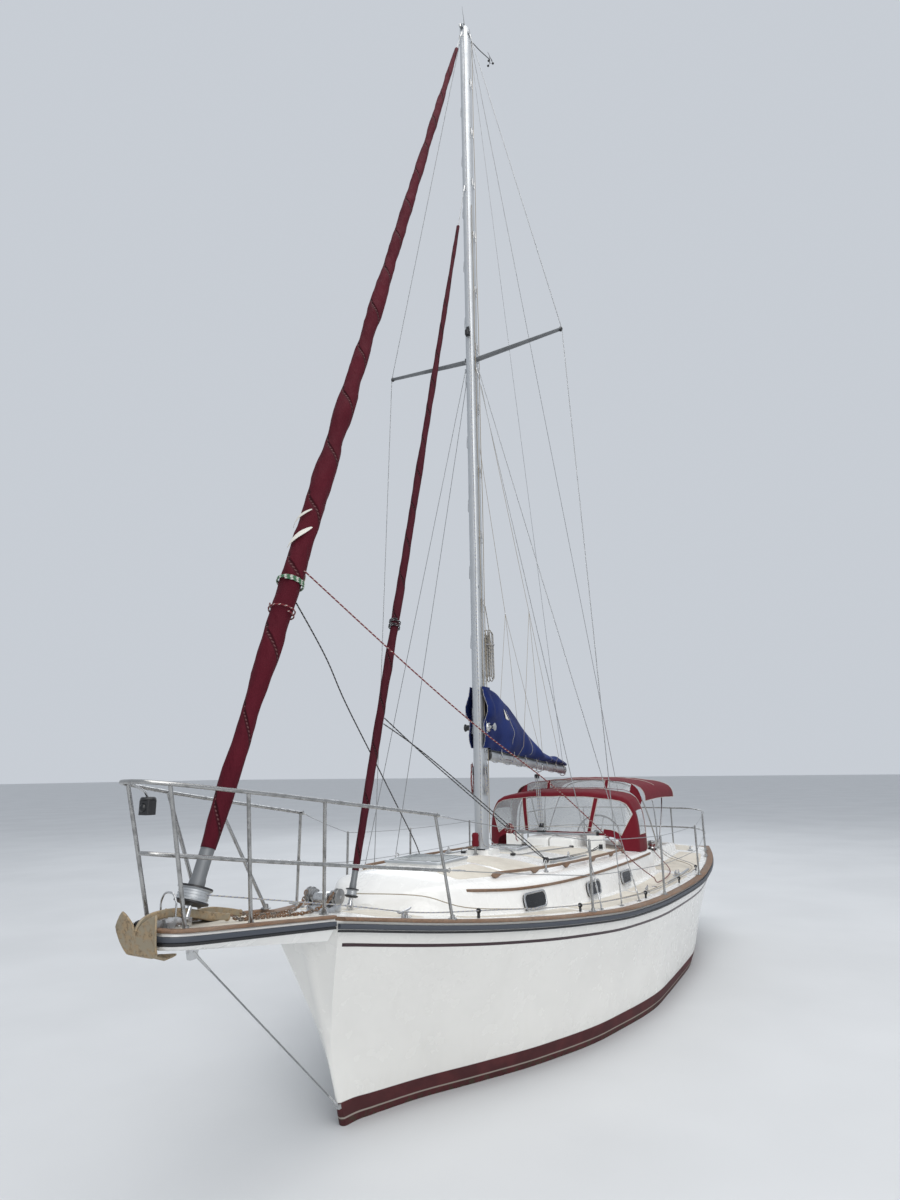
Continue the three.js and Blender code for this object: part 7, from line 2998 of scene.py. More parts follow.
@dataclass(frozen=True)
class Stay:
    """A headstay's line.

    Attributes:
        tack_s: Where its tack is.
        tack_z: The height of its tack.
        head_s: Where its head is.
        head_z: The height of its head.
        drum_z: The height where its drum starts.
        roll_z: The height where its rolled sail starts.
    """

    tack_s: float
    tack_z: float
    head_s: float
    head_z: float
    drum_z: float
    roll_z: float

    def point(self, z: float) -> Vector:
        """The point of the stay at a height."""
        share = (z - self.tack_z) / (self.head_z - self.tack_z)
        return at(self.tack_s + share * (self.head_s - self.tack_s), 0, z)

    def up(self) -> Vector:
        """The direction of the stay."""
        return (self.point(self.head_z) - self.point(self.tack_z)).normalized()


FORESTAY = Stay(-1.045, 1.7, 2.946, 12.805, 1.752, 2.066)
INNER_STAY = Stay(0.618, 1.512, 2.946, 10.192, 1.556, 1.752)


@dataclass
class FurledSail:
    """A headsail rolled on its stay, with its drum.

    Attributes:
        name: The name that its pieces start with.
        stay: The stay that it turns round.
        body: The body that it rides on.
        drum: Profile of its drum: radius and distance up from the drum's foot.
        roll: Profile of the rolled sail: radius and distance up from its foot.
        finish: The finish of its sun strip.
        turns: How many times the leech goes round it.
    """

    name: str
    stay: Stay
    body: Body
    drum: tuple[tuple[float, float], ...]
    roll: tuple[tuple[float, float], ...]
    finish: Finish
    turns: float

    def make_drum(self) -> None:
        """The drum, its guard, its line and the torque tube above it."""
        form = Form()
        up, base = self.stay.up(), self.stay.point(self.stay.drum_z)
        shell = [(r * 0.998, h) for r, h in self.drum[:-1]]
        top = self.drum[-2]
        collar = [(top[0], top[1]), (top[0] * 0.98, top[1] + 0.03), (self.drum[-1][0], top[1] + 0.05), self.drum[-1]]
        form.lathe([(0.011, 0.0), *shell[:3]], base, up, 30, mark=1)
        form.lathe([(0.02, 0.02), *shell[2:6], (0.02, shell[5][1])], base, up, 30)
        form.lathe([(0.02, shell[4][1]), *shell[5:], (0.011, top[1])], base, up, 30, mark=1)
        form.lathe([(0.011, top[1] - 0.01), *collar, (0.011, self.drum[-1][1])], base, up, 24, mark=2)
        low, high, radius = self.drum[3][1], self.drum[4][1], self.drum[3][0]
        for k in range(3):
            h = low + (high - low) * (k + 0.5) / 3
            form.lathe(
                [
                    (radius - 0.004, h - 0.004), (radius + 0.0035, h - 0.002), (radius + 0.0035, h + 0.002),
                    (radius - 0.004, h + 0.004),
                ],
                base,
                up,
                30,
            )
        Piece(
            f"{self.name}_furling_drum", [ALLOY, BLACK, DARK_AND_SHADED_ALLOY], self.body, [f"{self.name}_drum"], smooth=40
        ).make(form)

    def make_roll(self) -> None:
        """The rolled sail: a bundle that thickens and slackens, with its leech spiralling up."""
        up, base = self.stay.up(), self.stay.point(self.stay.roll_z)
        turn = UP.rotation_difference(up)
        shape = Table(self.roll_by_height())
        length = self.roll[-1][1]
        draw = random.Random(f"roll {self.name}")
        waves = [(draw.uniform(0.5, 2.2), draw.uniform(0, TAU), draw.uniform(0.35, 1.0)) for _ in range(9)]
        rows = []
        steps, sides = 320, 30
        for i in range(steps + 1):
            h = length * i / steps
            radius = shape.value(h, 1)
            slack = 0.06 * sum(share * math.sin(TAU * h / wide + phase) for wide, phase, share in waves) / 2
            row = []
            for k in range(sides):
                a = TAU * k / sides
                spiral = (a / TAU - self.turns * h / length) % 1.0
                lip = 0.09 * (1 - spiral) ** 3 - 0.07 * math.exp(-((spiral - 0.03) / 0.05) ** 2)
                folds = 0.03 * math.sin(2 * a + 9 * h) + 0.022 * math.sin(3 * a - 17 * h) + 0.016 * math.sin(
                    5 * a + 31 * h
                )
                r = max(radius * min(1.03, 0.9 + slack + lip + folds), 0.012)
                row.append(base + turn @ Vector((r * math.cos(a), r * math.sin(a), h)))
            rows.append(row)
        form = Form().skin(rows)
        Piece(f"{self.name}_rolled_sail", [self.finish], self.body, [f"{self.name}_roll"], smooth=60).make(form)

    def roll_by_height(self) -> tuple[tuple[float, float], ...]:
        """The roll's profile with the height as its key."""
        return tuple((h, r) for r, h in self.roll)

    def build(self) -> None:
        """Makes the drum and the rolled sail."""
        self.make_drum()
        self.make_roll()


GENOA = FurledSail(
    "genoa",
    FORESTAY,
    Body.GENOA,
    (
        (0.06, 0), (0.104, 0.014), (0.104, 0.024), (0.092, 0.034), (0.092, 0.084), (0.106, 0.094), (0.106, 0.106),
        (0.05, 0.112), (0.044, 0.333),
    ),
    (
        (0.052, 0), (0.066, 0.5), (0.086, 1.7), (0.096, 2.5), (0.09, 3.4), (0.074, 5.6), (0.056, 8.0), (0.04, 10.1),
        (0.026, 10.9),
    ),
    GENOA_CLOTH,
    17.0,
)
STAYSAIL = FurledSail(
    "staysail",
    INNER_STAY,
    Body.STAYSAIL,
    (
        (0.04, 0), (0.054, 0.008), (0.054, 0.016), (0.038, 0.022), (0.038, 0.05), (0.052, 0.056), (0.052, 0.064),
        (0.028, 0.07), (0.025, 0.2026),
    ),
    ((0.03, 0), (0.038, 0.7), (0.043, 2.2), (0.038, 4.5), (0.03, 6.6), (0.022, 7.9)),
    STAYSAIL_CLOTH,
    19.0,
)


# Boom, mainsail cover and running rigging aloft

BOOM_FRAME = (
    Matrix.Translation((1.445, 0, 2.7))
    @ Matrix.Rotation(math.radians(5.7), 4, "Z")
    @ Matrix.Rotation(math.radians(-2.6), 4, "Y")
)


def on_boom(along: float, across: float, up: float) -> Vector:
    """The point at a distance along the boom from its pin, to port of it and above its axis."""
    return BOOM_FRAME @ Vector((-along, across, up))


@dataclass
class Boom:
    """The boom with its gooseneck, end fittings and bails.

    Attributes:
        fore: Where the spar starts, from the gooseneck's pin.
        aft: Where it ends.
        height: Its height.
        width: Its width.
    """

    fore: float = 0.056
    aft: float = 3.786
    height: float = 0.119
    width: float = 0.084

    def ring(self, along: float, share: float = 1.0, sides: int = 26) -> list[Vector]:
        """A section of the spar."""
        return [
            on_boom(along, 0.5 * share * self.width * math.sin(a), 0.5 * share * self.height * math.cos(a))
            for a in (TAU * k / sides for k in range(sides))
        ]

    def build(self) -> None:
        """Makes the spar and its fittings."""
        form = Form().skin([self.ring(a) for a in (0.075, 1.0, 2.0, 3.0, 3.74)])
        slot = [
            (-0.011, 0.055), (-0.011, 0.066), (-0.003, 0.066), (-0.003, 0.058), (0.003, 0.058), (0.003, 0.066),
            (0.011, 0.066), (0.011, 0.055),
        ]
        form.skin([[on_boom(a, y, z) for y, z in slot] for a in (0.08, 3.7)])
        for rows in (
            [(self.fore, 0.8), (0.062, 1.02), (0.1, 1.03)],
            [(3.72, 1.03), (3.772, 1.02), (3.784, 0.93), (self.aft, 0.8)],
        ):
            form.skin([self.ring(a, k) for a, k in rows], mark=1)
        tang = rounded_box((0.004, 0.064), (-0.023, 0.023), 0.008)
        form.plate([on_boom(a, 0, z) for a, z in tang], BOOM_FRAME.to_3x3() @ Vector((0, 0.026, 0)), 2)
        bore = [(0.0102, -0.0297), (0.02, -0.0297), (0.02, 0.0297), (0.0102, 0.0297)]
        up = BOOM_FRAME.to_3x3() @ UP
        turn = UP.rotation_difference(up)
        rows = [
            [
                on_boom(0, 0, 0) + turn @ Vector((r * math.cos(a), r * math.sin(a), h))
                for a in (TAU * k / 24 for k in range(24))
            ]
            for r, h in bore
        ]
        form.skin(rows, closed=True, mark=2)
        for along, half in ((2.03, 0.048), (2.28, 0.048), (3.66, 0.046)):
            bail = [
                on_boom(along, y, z)
                for y, z in (
                    (half, 0.0), (half, -0.04), (half * 0.7, -0.08), (0, -0.094), (-half * 0.7, -0.08), (-half, -0.04),
                    (-half, 0.0),
                )
            ]
            form.tube(through(bail, 4), 0.005, 8, mark=2)
            for side in (-1, 1):
                form.rod(on_boom(along, side * 0.04, 0), on_boom(along, side * 0.055, 0), 0.01, 10, mark=2)
        for along in (0.6, 0.74):
            form.rod(on_boom(along, 0.044, -0.02), on_boom(along, 0.062, -0.02), 0.006, 8, mark=2)
            form.rod(on_boom(along - 0.05, 0.06, -0.02), on_boom(along + 0.05, 0.06, -0.02), 0.006, 8, mark=2)
        for y in (-0.018, 0.018):
            form.lathe(sheave(0.022, 0.017, 0.006), on_boom(3.765, y, 0.0), BOOM_FRAME.to_3x3() @ ACROSS, 16, 1)
        Piece("boom_section", [ALLOY, BLACK, CHROME], Body.BOOM, ["boom"], smooth=38).make(form)
        self.lashings()

    def lashings(self) -> None:
        """Pale lashings that lace the sail cover under the boom."""
        form = Form()
        for along in (0.34, 0.82, 1.32, 1.86, 2.42, 2.98, 3.5):
            edge, top = 0.42 * SailCover.table.value(max(along, 0.1), 2) + 0.014, 0.078
            loop = [
                (edge + 0.01, top + 0.03), (edge + 0.006, 0.03), (0.05, -0.045), (0.0, -0.069), (-0.05, -0.045),
                (-edge - 0.006, 0.03), (-edge - 0.01, top + 0.03),
            ]
            lean = 0.03
            for shift in (-0.006, 0.006):
                path = [on_boom(along + shift + lean * k / 6, y, z) for k, (y, z) in enumerate(loop)]
                form.tube(through(path, 4), 0.0034, 6)
            knot = on_boom(along, edge + 0.014, 0.03)
            form.ball(knot, 0.011, squeeze=1.4, sides=8)
            for drop in (0.075, 0.12):
                tail = [
                    knot, knot + Vector((0.012, 0.01, -0.4 * drop)), knot + Vector((-0.006 - 0.1 * drop, 0.014, -drop))
                ]
                form.tube(through(tail, 3), 0.003, 6)
        Piece("cover_lashings", [WHITE_ROPE], Body.BOOM, smooth=60).make(form)


@dataclass
class SailCover:
    """The cover over the mainsail on its boom, one cloth from the mast's flanks to the boom's end.

    Attributes:
        flap: Its flanks beside the mast: height and half width.
        fronts: Places along the boat where the flanks are shaped, with their share of that half width.
        girth: How many points each side has from its lower edge to its ridge.
        share: A section's shape: shares of its half width and of its height.
        table: Its sections over the boom: distance along, height and half width.
    """

    flap: Table = field(
        default_factory=lambda: Table(
            (
                (2.775, 0.094), (2.87, 0.118), (2.94, 0.108), (3.06, 0.108), (3.13, 0.16), (3.22, 0.16), (3.34, 0.12),
                (3.455, 0.088),
            )
        )
    )
    fronts: tuple[tuple[float, float], ...] = ((2.99, 0.82), (3.02, 0.93), (3.06, 1.0), (3.11, 1.0), (3.16, 0.95))
    girth: int = 22
    share: tuple[tuple[float, float], ...] = (
        (0.42, 0.0), (0.86, 0.1), (1.0, 0.28), (0.82, 0.5), (0.5, 0.74), (0.2, 0.95), (0.0, 1.0)
    )
    table = Table(
        (
            (0.1, 0.765, 0.108),
            (0.3, 0.762, 0.132),
            (0.56, 0.705, 0.148),
            (0.97, 0.605, 0.15),
            (1.7, 0.35, 0.138),
            (2.54, 0.168, 0.118),
            (3.2, 0.166, 0.108),
            (3.64, 0.15, 0.092),
            (3.76, 0.105, 0.058),
        )
    )

    def section(self, along: float, side: int) -> list[Vector]:
        """One side of a section along the boom, from the lower edge to the ridge.

        Args:
            along: How far it is from the gooseneck's pin.
            side: 1 to port and -1 to starboard.

        Returns:
            Its points.
        """
        _, height, half = self.table.row(along)
        seat = 0.062
        found = []
        for k, (y, z) in enumerate(evened(through(flat(self.share), 8), self.girth)):
            u = k / (self.girth - 1)
            free = math.sin(math.pi * min(1.0, u * 1.02)) ** 0.7
            corner = math.atan2(z * height, along + 0.25)
            fold = 0.013 * math.sin(15 * corner + 3.1 * along + side) + 0.006 * math.sin(
                31 * corner - 5 * along + 2 * side
            )
            lump = 0.014 * math.sin(9.5 * along + 2.2 * u + side) * min(1.0, along / 1.6)
            pull = -0.014 * math.exp(-((math.fmod(along + 0.16, 0.52) - 0.26) / 0.05) ** 2) * (1 - u)
            out = y * half + free * (fold + lump) + pull
            sag = 0.012 * math.sin(8.0 * along + 1.0) * min(1.0, along) * u
            found.append(on_boom(along, side * max(out, 0.0 if u >= 1 else 0.004), seat + z * (height - seat) + sag))
        found[-1] = on_boom(along, 0.0, height + 0.01 * math.sin(8.0 * along + 1.0) * min(1.0, along))
        return found

    def flank(self, s: float, share: float, side: int) -> list[Vector]:
        """One side beside the mast, from its lower edge up to its top."""
        found = []
        for k in range(self.girth):
            z = 2.775 + (3.452 - 2.775) * k / (self.girth - 1)
            wave = 0.005 * math.sin(22 * z + 40 * s)
            found.append(at(s, side * (self.flap.value(z, 1) * share + wave), z))
        return found

    def half(self, side: int) -> list[list[Vector]]:
        """All the rows of one side."""
        rows = [self.flank(s, share, side) for s, share in self.fronts]
        places = [0.1, 0.16, 0.22, *spaced(0.3, 3.6, 64), 3.65, 3.7, 3.735, 3.76]
        return rows + [self.section(a, side) for a in places]

    def build(self) -> None:
        """Makes the cover and its trim."""
        form = Form()
        for side in (1, -1):
            form.skin(self.half(side), ring=False)
        made = mesh_object("mainsail_cover", form)
        work = bmesh.new()
        work.from_mesh(made.data)
        bmesh.ops.remove_doubles(work, verts=work.verts, dist=0.0004)
        bmesh.ops.recalc_face_normals(work, faces=work.faces)
        area = sum(face.calc_area() for face in work.faces)
        work.to_mesh(made.data)
        work.free()
        thick = made.modifiers.new("thickness", "SOLIDIFY")
        thick.thickness, thick.offset = 0.0025, 0.0
        applied(made)
        carved(made, Form().rod(at(3.07, -0.3, 3.0), at(3.07, 0.3, 3.0), 0.054, 28))
        start, end = at(3.22, 0, 2.9), at(3.75, -0.05, 2.9)
        bend = (Body.BOAT, Body.BOOM, start, end)
        Piece(
            "mainsail_cover", [COVER_BLUE], stands_for=["sail_cover", "sail_cover_collar"], smooth=70, bend=bend
        ).finish(made)
        self.trim(bend)

    def trim(self, bend: tuple[Body, Body, Vector, Vector]) -> None:
        """The cover's hems, its lacing, its ties and its patch.

        Args:
            bend: The cover's own bend between the mast and the boom.
        """
        hems = Form()
        for side in (1, -1):
            rows = self.half(side)
            edge = [row[0] for row in rows]
            hems.tube(edge, 0.0045, 6)
            hems.tube(rows[0], 0.0045, 6)
            lace = [p + Vector((0.004, side * 0.003, 0)) for p in rows[0][::2]]
            hems.tube(lace, 0.0028, 6, mark=1)
        Piece("cover_hems", [COVER_BLUE, WHITE_ROPE], smooth=60, bend=bend).make(hems)
        extras = Form()
        for along, low, high in ((0.62, 6, 17), (1.42, 3, 15), (2.5, 0, 14), (3.3, 0, 16)):
            for side in (1, -1):
                row = self.section(along, side)
                outward = Vector((0, side * 0.004, 0))
                extras.tube([p + outward for p in row[low:high]], 0.0032, 6)
        patch = [
            self.section(a, 1)[k] + Vector((0, 0.006, 0.001))
            for a, k in ((0.44, 15), (0.5, 15), (0.535, 12), (0.475, 12))
        ]
        extras.plate(patch, Vector((0, 0.003, 0)), mark=1)
        Piece("cover_ties_and_patch", [WHITE_ROPE, SAIL_WHITE], Body.BOOM, smooth=60).make(extras)


def turns_round(
    stay: Stay, low: float, high: float, rounds: float, radius: Callable[[float], float], start: float
) -> list[Vector]:
    """Points of a rope that winds round a rolled sail.

    Args:
        stay: The stay that the sail is rolled on.
        low: The height over the roll's foot where it starts.
        high: The height where it ends.
        rounds: How many turns it takes.
        radius: The roll's radius at a height over its foot.
        start: The angle where it starts.

    Returns:
        Its points.
    """
    base, up = stay.point(stay.roll_z), stay.up()
    turn = UP.rotation_difference(up)
    steps = max(6, int(rounds * 22))
    found = []
    for k in range(steps + 1):
        h = low + (high - low) * k / steps
        a = start + TAU * rounds * k / steps
        r = radius(h)
        found.append(base + turn @ Vector((r * math.cos(a), r * math.sin(a), h)))
    return found


@dataclass
class ClewGear:
    """The white clew and patches that show on the rolled genoa, with the sheets wound round it.

    Attributes:
        clew: The height of the clew over the roll's foot.
    """

    clew: float = 1.96

    def build(self) -> None:
        """Makes the patches and the wound turns."""
        shape = Table(GENOA.roll_by_height())

        def out(h: float, extra: float) -> float:
            """The roll's radius at a height, and a little more."""
            return 1.06 * shape.value(h, 1) + extra

        form = Form()
        for low, high, start, wide in (
            (self.clew + 0.02, self.clew + 0.24, 2.2, 0.62),
            (self.clew + 0.3, self.clew + 0.5, -0.5, 0.42),
            (self.clew + 0.52, self.clew + 0.66, -0.9, 0.34),
        ):
            rows = []
            for k in range(9):
                t = k / 8
                h = low + (high - low) * t
                spread = wide * math.sin(math.pi * (0.08 + 0.84 * t)) * 0.6
                middle = start + 1.6 * t
                turn = UP.rotation_difference(GENOA.stay.up())
                base = GENOA.stay.point(GENOA.stay.roll_z)
                rows.append(
                    [
                        base + turn @ Vector((out(h, 0.004) * math.cos(a), out(h, 0.004) * math.sin(a), h))
                        for a in spaced(middle - spread, middle + spread, 7)
                    ]
                )
            form.skin(rows, ring=False)
        patches = mesh_object("genoa_clew_patches", form)
        thick = patches.modifiers.new("thickness", "SOLIDIFY")
        thick.thickness, thick.offset = 0.003, 1.0
        Piece("genoa_clew_patches", [SAIL_WHITE], Body.GENOA, smooth=60).finish(applied(patches))
        ropes = Form()
        ropes.tube(turns_round(GENOA.stay, self.clew, self.clew + 0.03, 2.3, lambda h: out(h, 0.007), 0.3), 0.0065, 8)
        ropes.tube(
            turns_round(GENOA.stay, self.clew - 0.26, self.clew - 0.2, 1.7, lambda h: out(h, 0.007), 1.2),
            0.006,
            8,
            mark=1,
        )
        Piece("genoa_sheet_turns", [GREEN_ROPE, RED_ROPE], Body.GENOA, smooth=60).make(ropes)
        wraps = Form()
        thin = Table(STAYSAIL.roll_by_height())
        for low in (2.15, 2.2):
            wraps.tube(
                turns_round(STAYSAIL.stay, low, low + 0.03, 1.8, lambda h: 1.06 * thin.value(h, 1) + 0.006, low),
                0.0055,
                8,
            )
        Piece("staysail_sheet_turns", [DARK_ROPE], Body.STAYSAIL, smooth=60).make(wraps)


@dataclass
class RunningRigging:
    """Halyards, the bundles on their cleats, the topping lift, lazyjacks and the mainsheet."""

    def halyards(self) -> None:
        """Halyards down the mast and aft along the roof, the bundles on the cleats and the turning blocks."""
        form = Form()
        runs = (
            (at(2.945, 0.03, 12.9), at(2.95, 0.05, 1.86)),
            (at(3.165, 0.052, 12.85), at(3.165, 0.05, 1.86)),
            (at(3.162, -0.04, 12.85), at(3.17, -0.055, 1.86)),
            (at(3.0, 0.072, 9.9), at(3.03, 0.076, 3.12)),
        )
        for k, (top, foot) in enumerate(runs):
            steps = 14
            path = [top.lerp(foot, i / steps) + Vector((0, 0.004 * math.sin(i * 2.1 + k), 0)) for i in range(steps + 1)]
            form.tube(path, 0.0042, 6, mark=k % 2)
        for s, y in ((2.95, 0.05), (3.165, 0.05), (3.17, -0.055)):
            side = 1 if y > 0 else -1
            away = side * (0.32 if s < 3.0 else 0.345)
            foot = [
                at(s, y, 1.86), at(s + 0.004, y + side * 0.01, 1.78), at(s + 0.012, y + side * 0.06, 1.732),
                at(3.17, away * 0.8, 1.69),
            ]
            aft = [at(p, away * (1 + 0.03 * math.sin(5 * p)), roof_z(p, away) + 0.009) for p in (3.28, 3.9, 4.5, 5.1)]
            form.tube(through(foot + aft, 5), 0.0042, 6)
        for side, top in ((1, 2.6), (-1, 2.6)):
            bundle = []
            for k in range(46):
                a = TAU * k / 11.5
                bundle.append(
                    at(
                        3.03 + 0.03 * math.sin(a),
                        side * (0.086 + 0.006 * math.sin(0.7 * k)),
                        top - 0.14 + 0.15 * math.cos(a) - 0.0012 * k,
                    )
                )
            form.tube(through(bundle, 2), 0.0045, 6, mark=2 if side < 0 else 0)
        for side in (1, -1):
            for s, y in ((3.2, 0.3), (5.06, 0.333)):
                spot = at(s, side * y, roof_z(s, y) + 0.012)
                form.lathe(
                    [(0.001, -0.01), (0.028, -0.01), (0.03, 0.0), (0.028, 0.012), (0.001, 0.014)], spot, UP, 18, mark=3
                )
        Piece("halyards", [WHITE_ROPE, TAN_ROPE, RED_ROPE, BLACK], smooth=60).make(form)

    def aloft(self) -> None:
        """The topping lift and the lazyjacks, from aloft down to the boom."""
        lift = Form()
        top, end = at(3.25, -0.01, 12.9), on_boom(3.72, 0, 0.07)
        steps = 16
        lift.tube([top.lerp(end, i / steps) for i in range(steps + 1)], 0.0032, 6)
        run = (end - top).normalized()
        Piece(
            "topping_lift", [WIRE], smooth=60, bend=(Body.BOAT, Body.BOOM, top + run * 0.1, top + run * 0.9)
        ).make(lift)
        for name, side in SIDES.items():
            form = Form()
            top = at(3.16, side * 0.075, 7.3)
            knot = on_boom(1.35, side * 0.17, 2.0)
            form.tube([top.lerp(knot, i / 8) for i in range(9)], 0.0028, 6)
            for along in (0.95, 1.9, 2.9):
                half = SailCover.table.value(along, 2)
                foot = on_boom(along, side * 0.05, -0.03)
                wide = on_boom(along, side * (half + 0.02), 0.16)
                form.tube([knot.lerp(wide, i / 5) for i in range(6)] + [foot], 0.0026, 6)
            form.ball(knot, 0.012, sides=8, mark=1)
            run = (knot - top).normalized()
            bend = (Body.BOAT, Body.BOOM, top + run * 0.1, top + run * 0.8)
            Piece(f"{name}_lazyjack", [TAN_ROPE, CHROME], smooth=60, bend=bend).make(form)

    def mainsheet(self) -> None:
        """The mainsheet's falls and its blocks on the boom and on the car."""
        upper, lower = on_boom(2.15, 0, -0.16), at(TRAVELLER_S, -0.18, 1.79)
        block = Form()
        for y in (-0.016, 0.016):
            block.lathe(disc(0.03, 0.011), upper + Vector((0, y, 0)), ACROSS, 18)
        block.tube(
            through([on_boom(2.03, 0, -0.094), on_boom(2.15, 0, -0.115), on_boom(2.28, 0, -0.094)], 4),
            0.004,
            8,
            mark=1,
        )
        block.rod(on_boom(2.15, 0, -0.115), upper, 0.006, 8, mark=1)
        Piece("mainsheet_boom_block", [BLACK, CHROME], Body.BOOM, smooth=40).make(block)
        base = Form()
        for y in (-0.016, 0.016):
            base.lathe(disc(0.028, 0.011), lower + Vector((0, y, 0)), ACROSS, 18)
        base.rod(at(TRAVELLER_S, -0.18, 1.736), lower, 0.007, 8, mark=1)
        Piece("mainsheet_car_block", [BLACK, CHROME], smooth=40).make(base)
        falls = Form()
        for x, y in ((0.028, 0.016), (-0.028, 0.016), (0.028, -0.016), (-0.028, -0.016)):
            a, b = upper + Vector((x, y, 0)), lower + Vector((x, y, 0))
            falls.tube([a.lerp(b, i / 10) for i in range(11)], 0.0046, 7)
        Piece("mainsheet_falls", [WHITE_ROPE], smooth=60, bend=(Body.BOOM, Body.BOAT, upper, lower)).make(falls)
        tail = through(
            [
                lower + Vector((0.0, 0.03, 0.0)),
                at(5.36, -0.3, 1.74),
                at(5.38, -0.48, 1.73),
                at(5.42, -0.6, 1.62),
                at(5.5, -0.66, 1.545),
            ],
            6,
        )
        Piece("mainsheet_tail", [WHITE_ROPE], smooth=60).make(Form().tube(tail, 0.0046, 7))

    def build(self) -> None:
        """Makes the running rigging aloft."""
        self.halyards()
        self.aloft()
        self.mainsheet()


# Fittings of the after end of the coachroof and of the coamings


def coaming_top(s: float) -> float:
    """Height of the coamings' top."""
    return gunwale(s)[1] + 0.278 - (s - 6.3) * 0.05


@dataclass
class Companionway:
    """The sea hood, the sliding hatch under it and the washboards."""

    def sea_hood(self) -> None:
        """The moulded hood that the hatch slides into."""
        rows = []
        for s, half, top in (
            (5.121, 0.318, 1.628), (5.13, 0.33, 1.643), (5.16, 0.337, 1.653), (5.23, 0.342, 1.661),
            (5.5, 0.344, 1.665), (5.829, 0.345, 1.665),
        ):
            base = roof_z(s, half) - 0.012
            side = round_corners([(half, base), (half - 0.012, top - 0.004), (0.0, top), (0.0, base)], 0.045, 6)
            port = [p for p in side if p[0] > 0.01]
            ring = [at(s, y, z) for y, z in port]
            rows.append(both(ring))
        made = mesh_object("sea_hood_moulding", Form().skin(rows))
        carved(made, Form().block((5.16, 5.9), (-0.308, 0.308), (1.3, 1.643)))
        Piece("sea_hood_moulding", [WHITE], stands_for=["sea_hood"], smooth=32).finish(made)

    def slide(self) -> None:
        """The hatch, with its tinted panel and its grip."""
        outline = rounded_box((5.72, 6.262), (-0.3, 0.3), 0.02)
        form = Form()
        form.prism(outline, (1.5625, 1.579))
        inner = rounded_box((5.745, 6.235), (-0.275, 0.275), 0.03)
        form.prism(inner, (1.576, 1.59), mark=1)
        grip = [(6.216, 1.585), (6.25, 1.585), (6.247, 1.604), (6.24, 1.612), (6.226, 1.612), (6.219, 1.604)]
        form.skin([[at(s, y, z) for s, z in grip] for y in (-0.17, -0.16, 0.16, 0.17)], mark=2)
        Piece(
            "sliding_hatch_panel", [WHITE, SMOKED, TEAK_UPRIGHT], Body.SLIDE, ["sliding_hatch"], smooth=32, bevel=0.002
        ).make(form)

    def boards(self) -> None:
        """The teak washboards in the companionway."""
        form = Form()
        levels = (1.2054, 1.322, 1.4415, 1.5616)
        for low, high in zip(levels, levels[1:]):
            form.block((6.1622, 6.1838), (-0.2496, 0.2496), (low, high - 0.0022))
        form.block((6.1838, 6.188), (-0.03, 0.03), (1.5, 1.54), 1)
        form.tube(
            [at(6.188, -0.014, 1.52), at(6.199, -0.014, 1.51), at(6.199, 0.014, 1.51), at(6.188, 0.014, 1.52)],
            0.0035,
            8,
            mark=1,
        )
        Piece("teak_washboards", [TEAK_UPRIGHT, CHROME], stands_for=["washboards"], smooth=32, bevel=0.0025).make(form)

    def build(self) -> None:
        """Makes the companionway."""
        self.sea_hood()
        self.slide()
        self.boards()


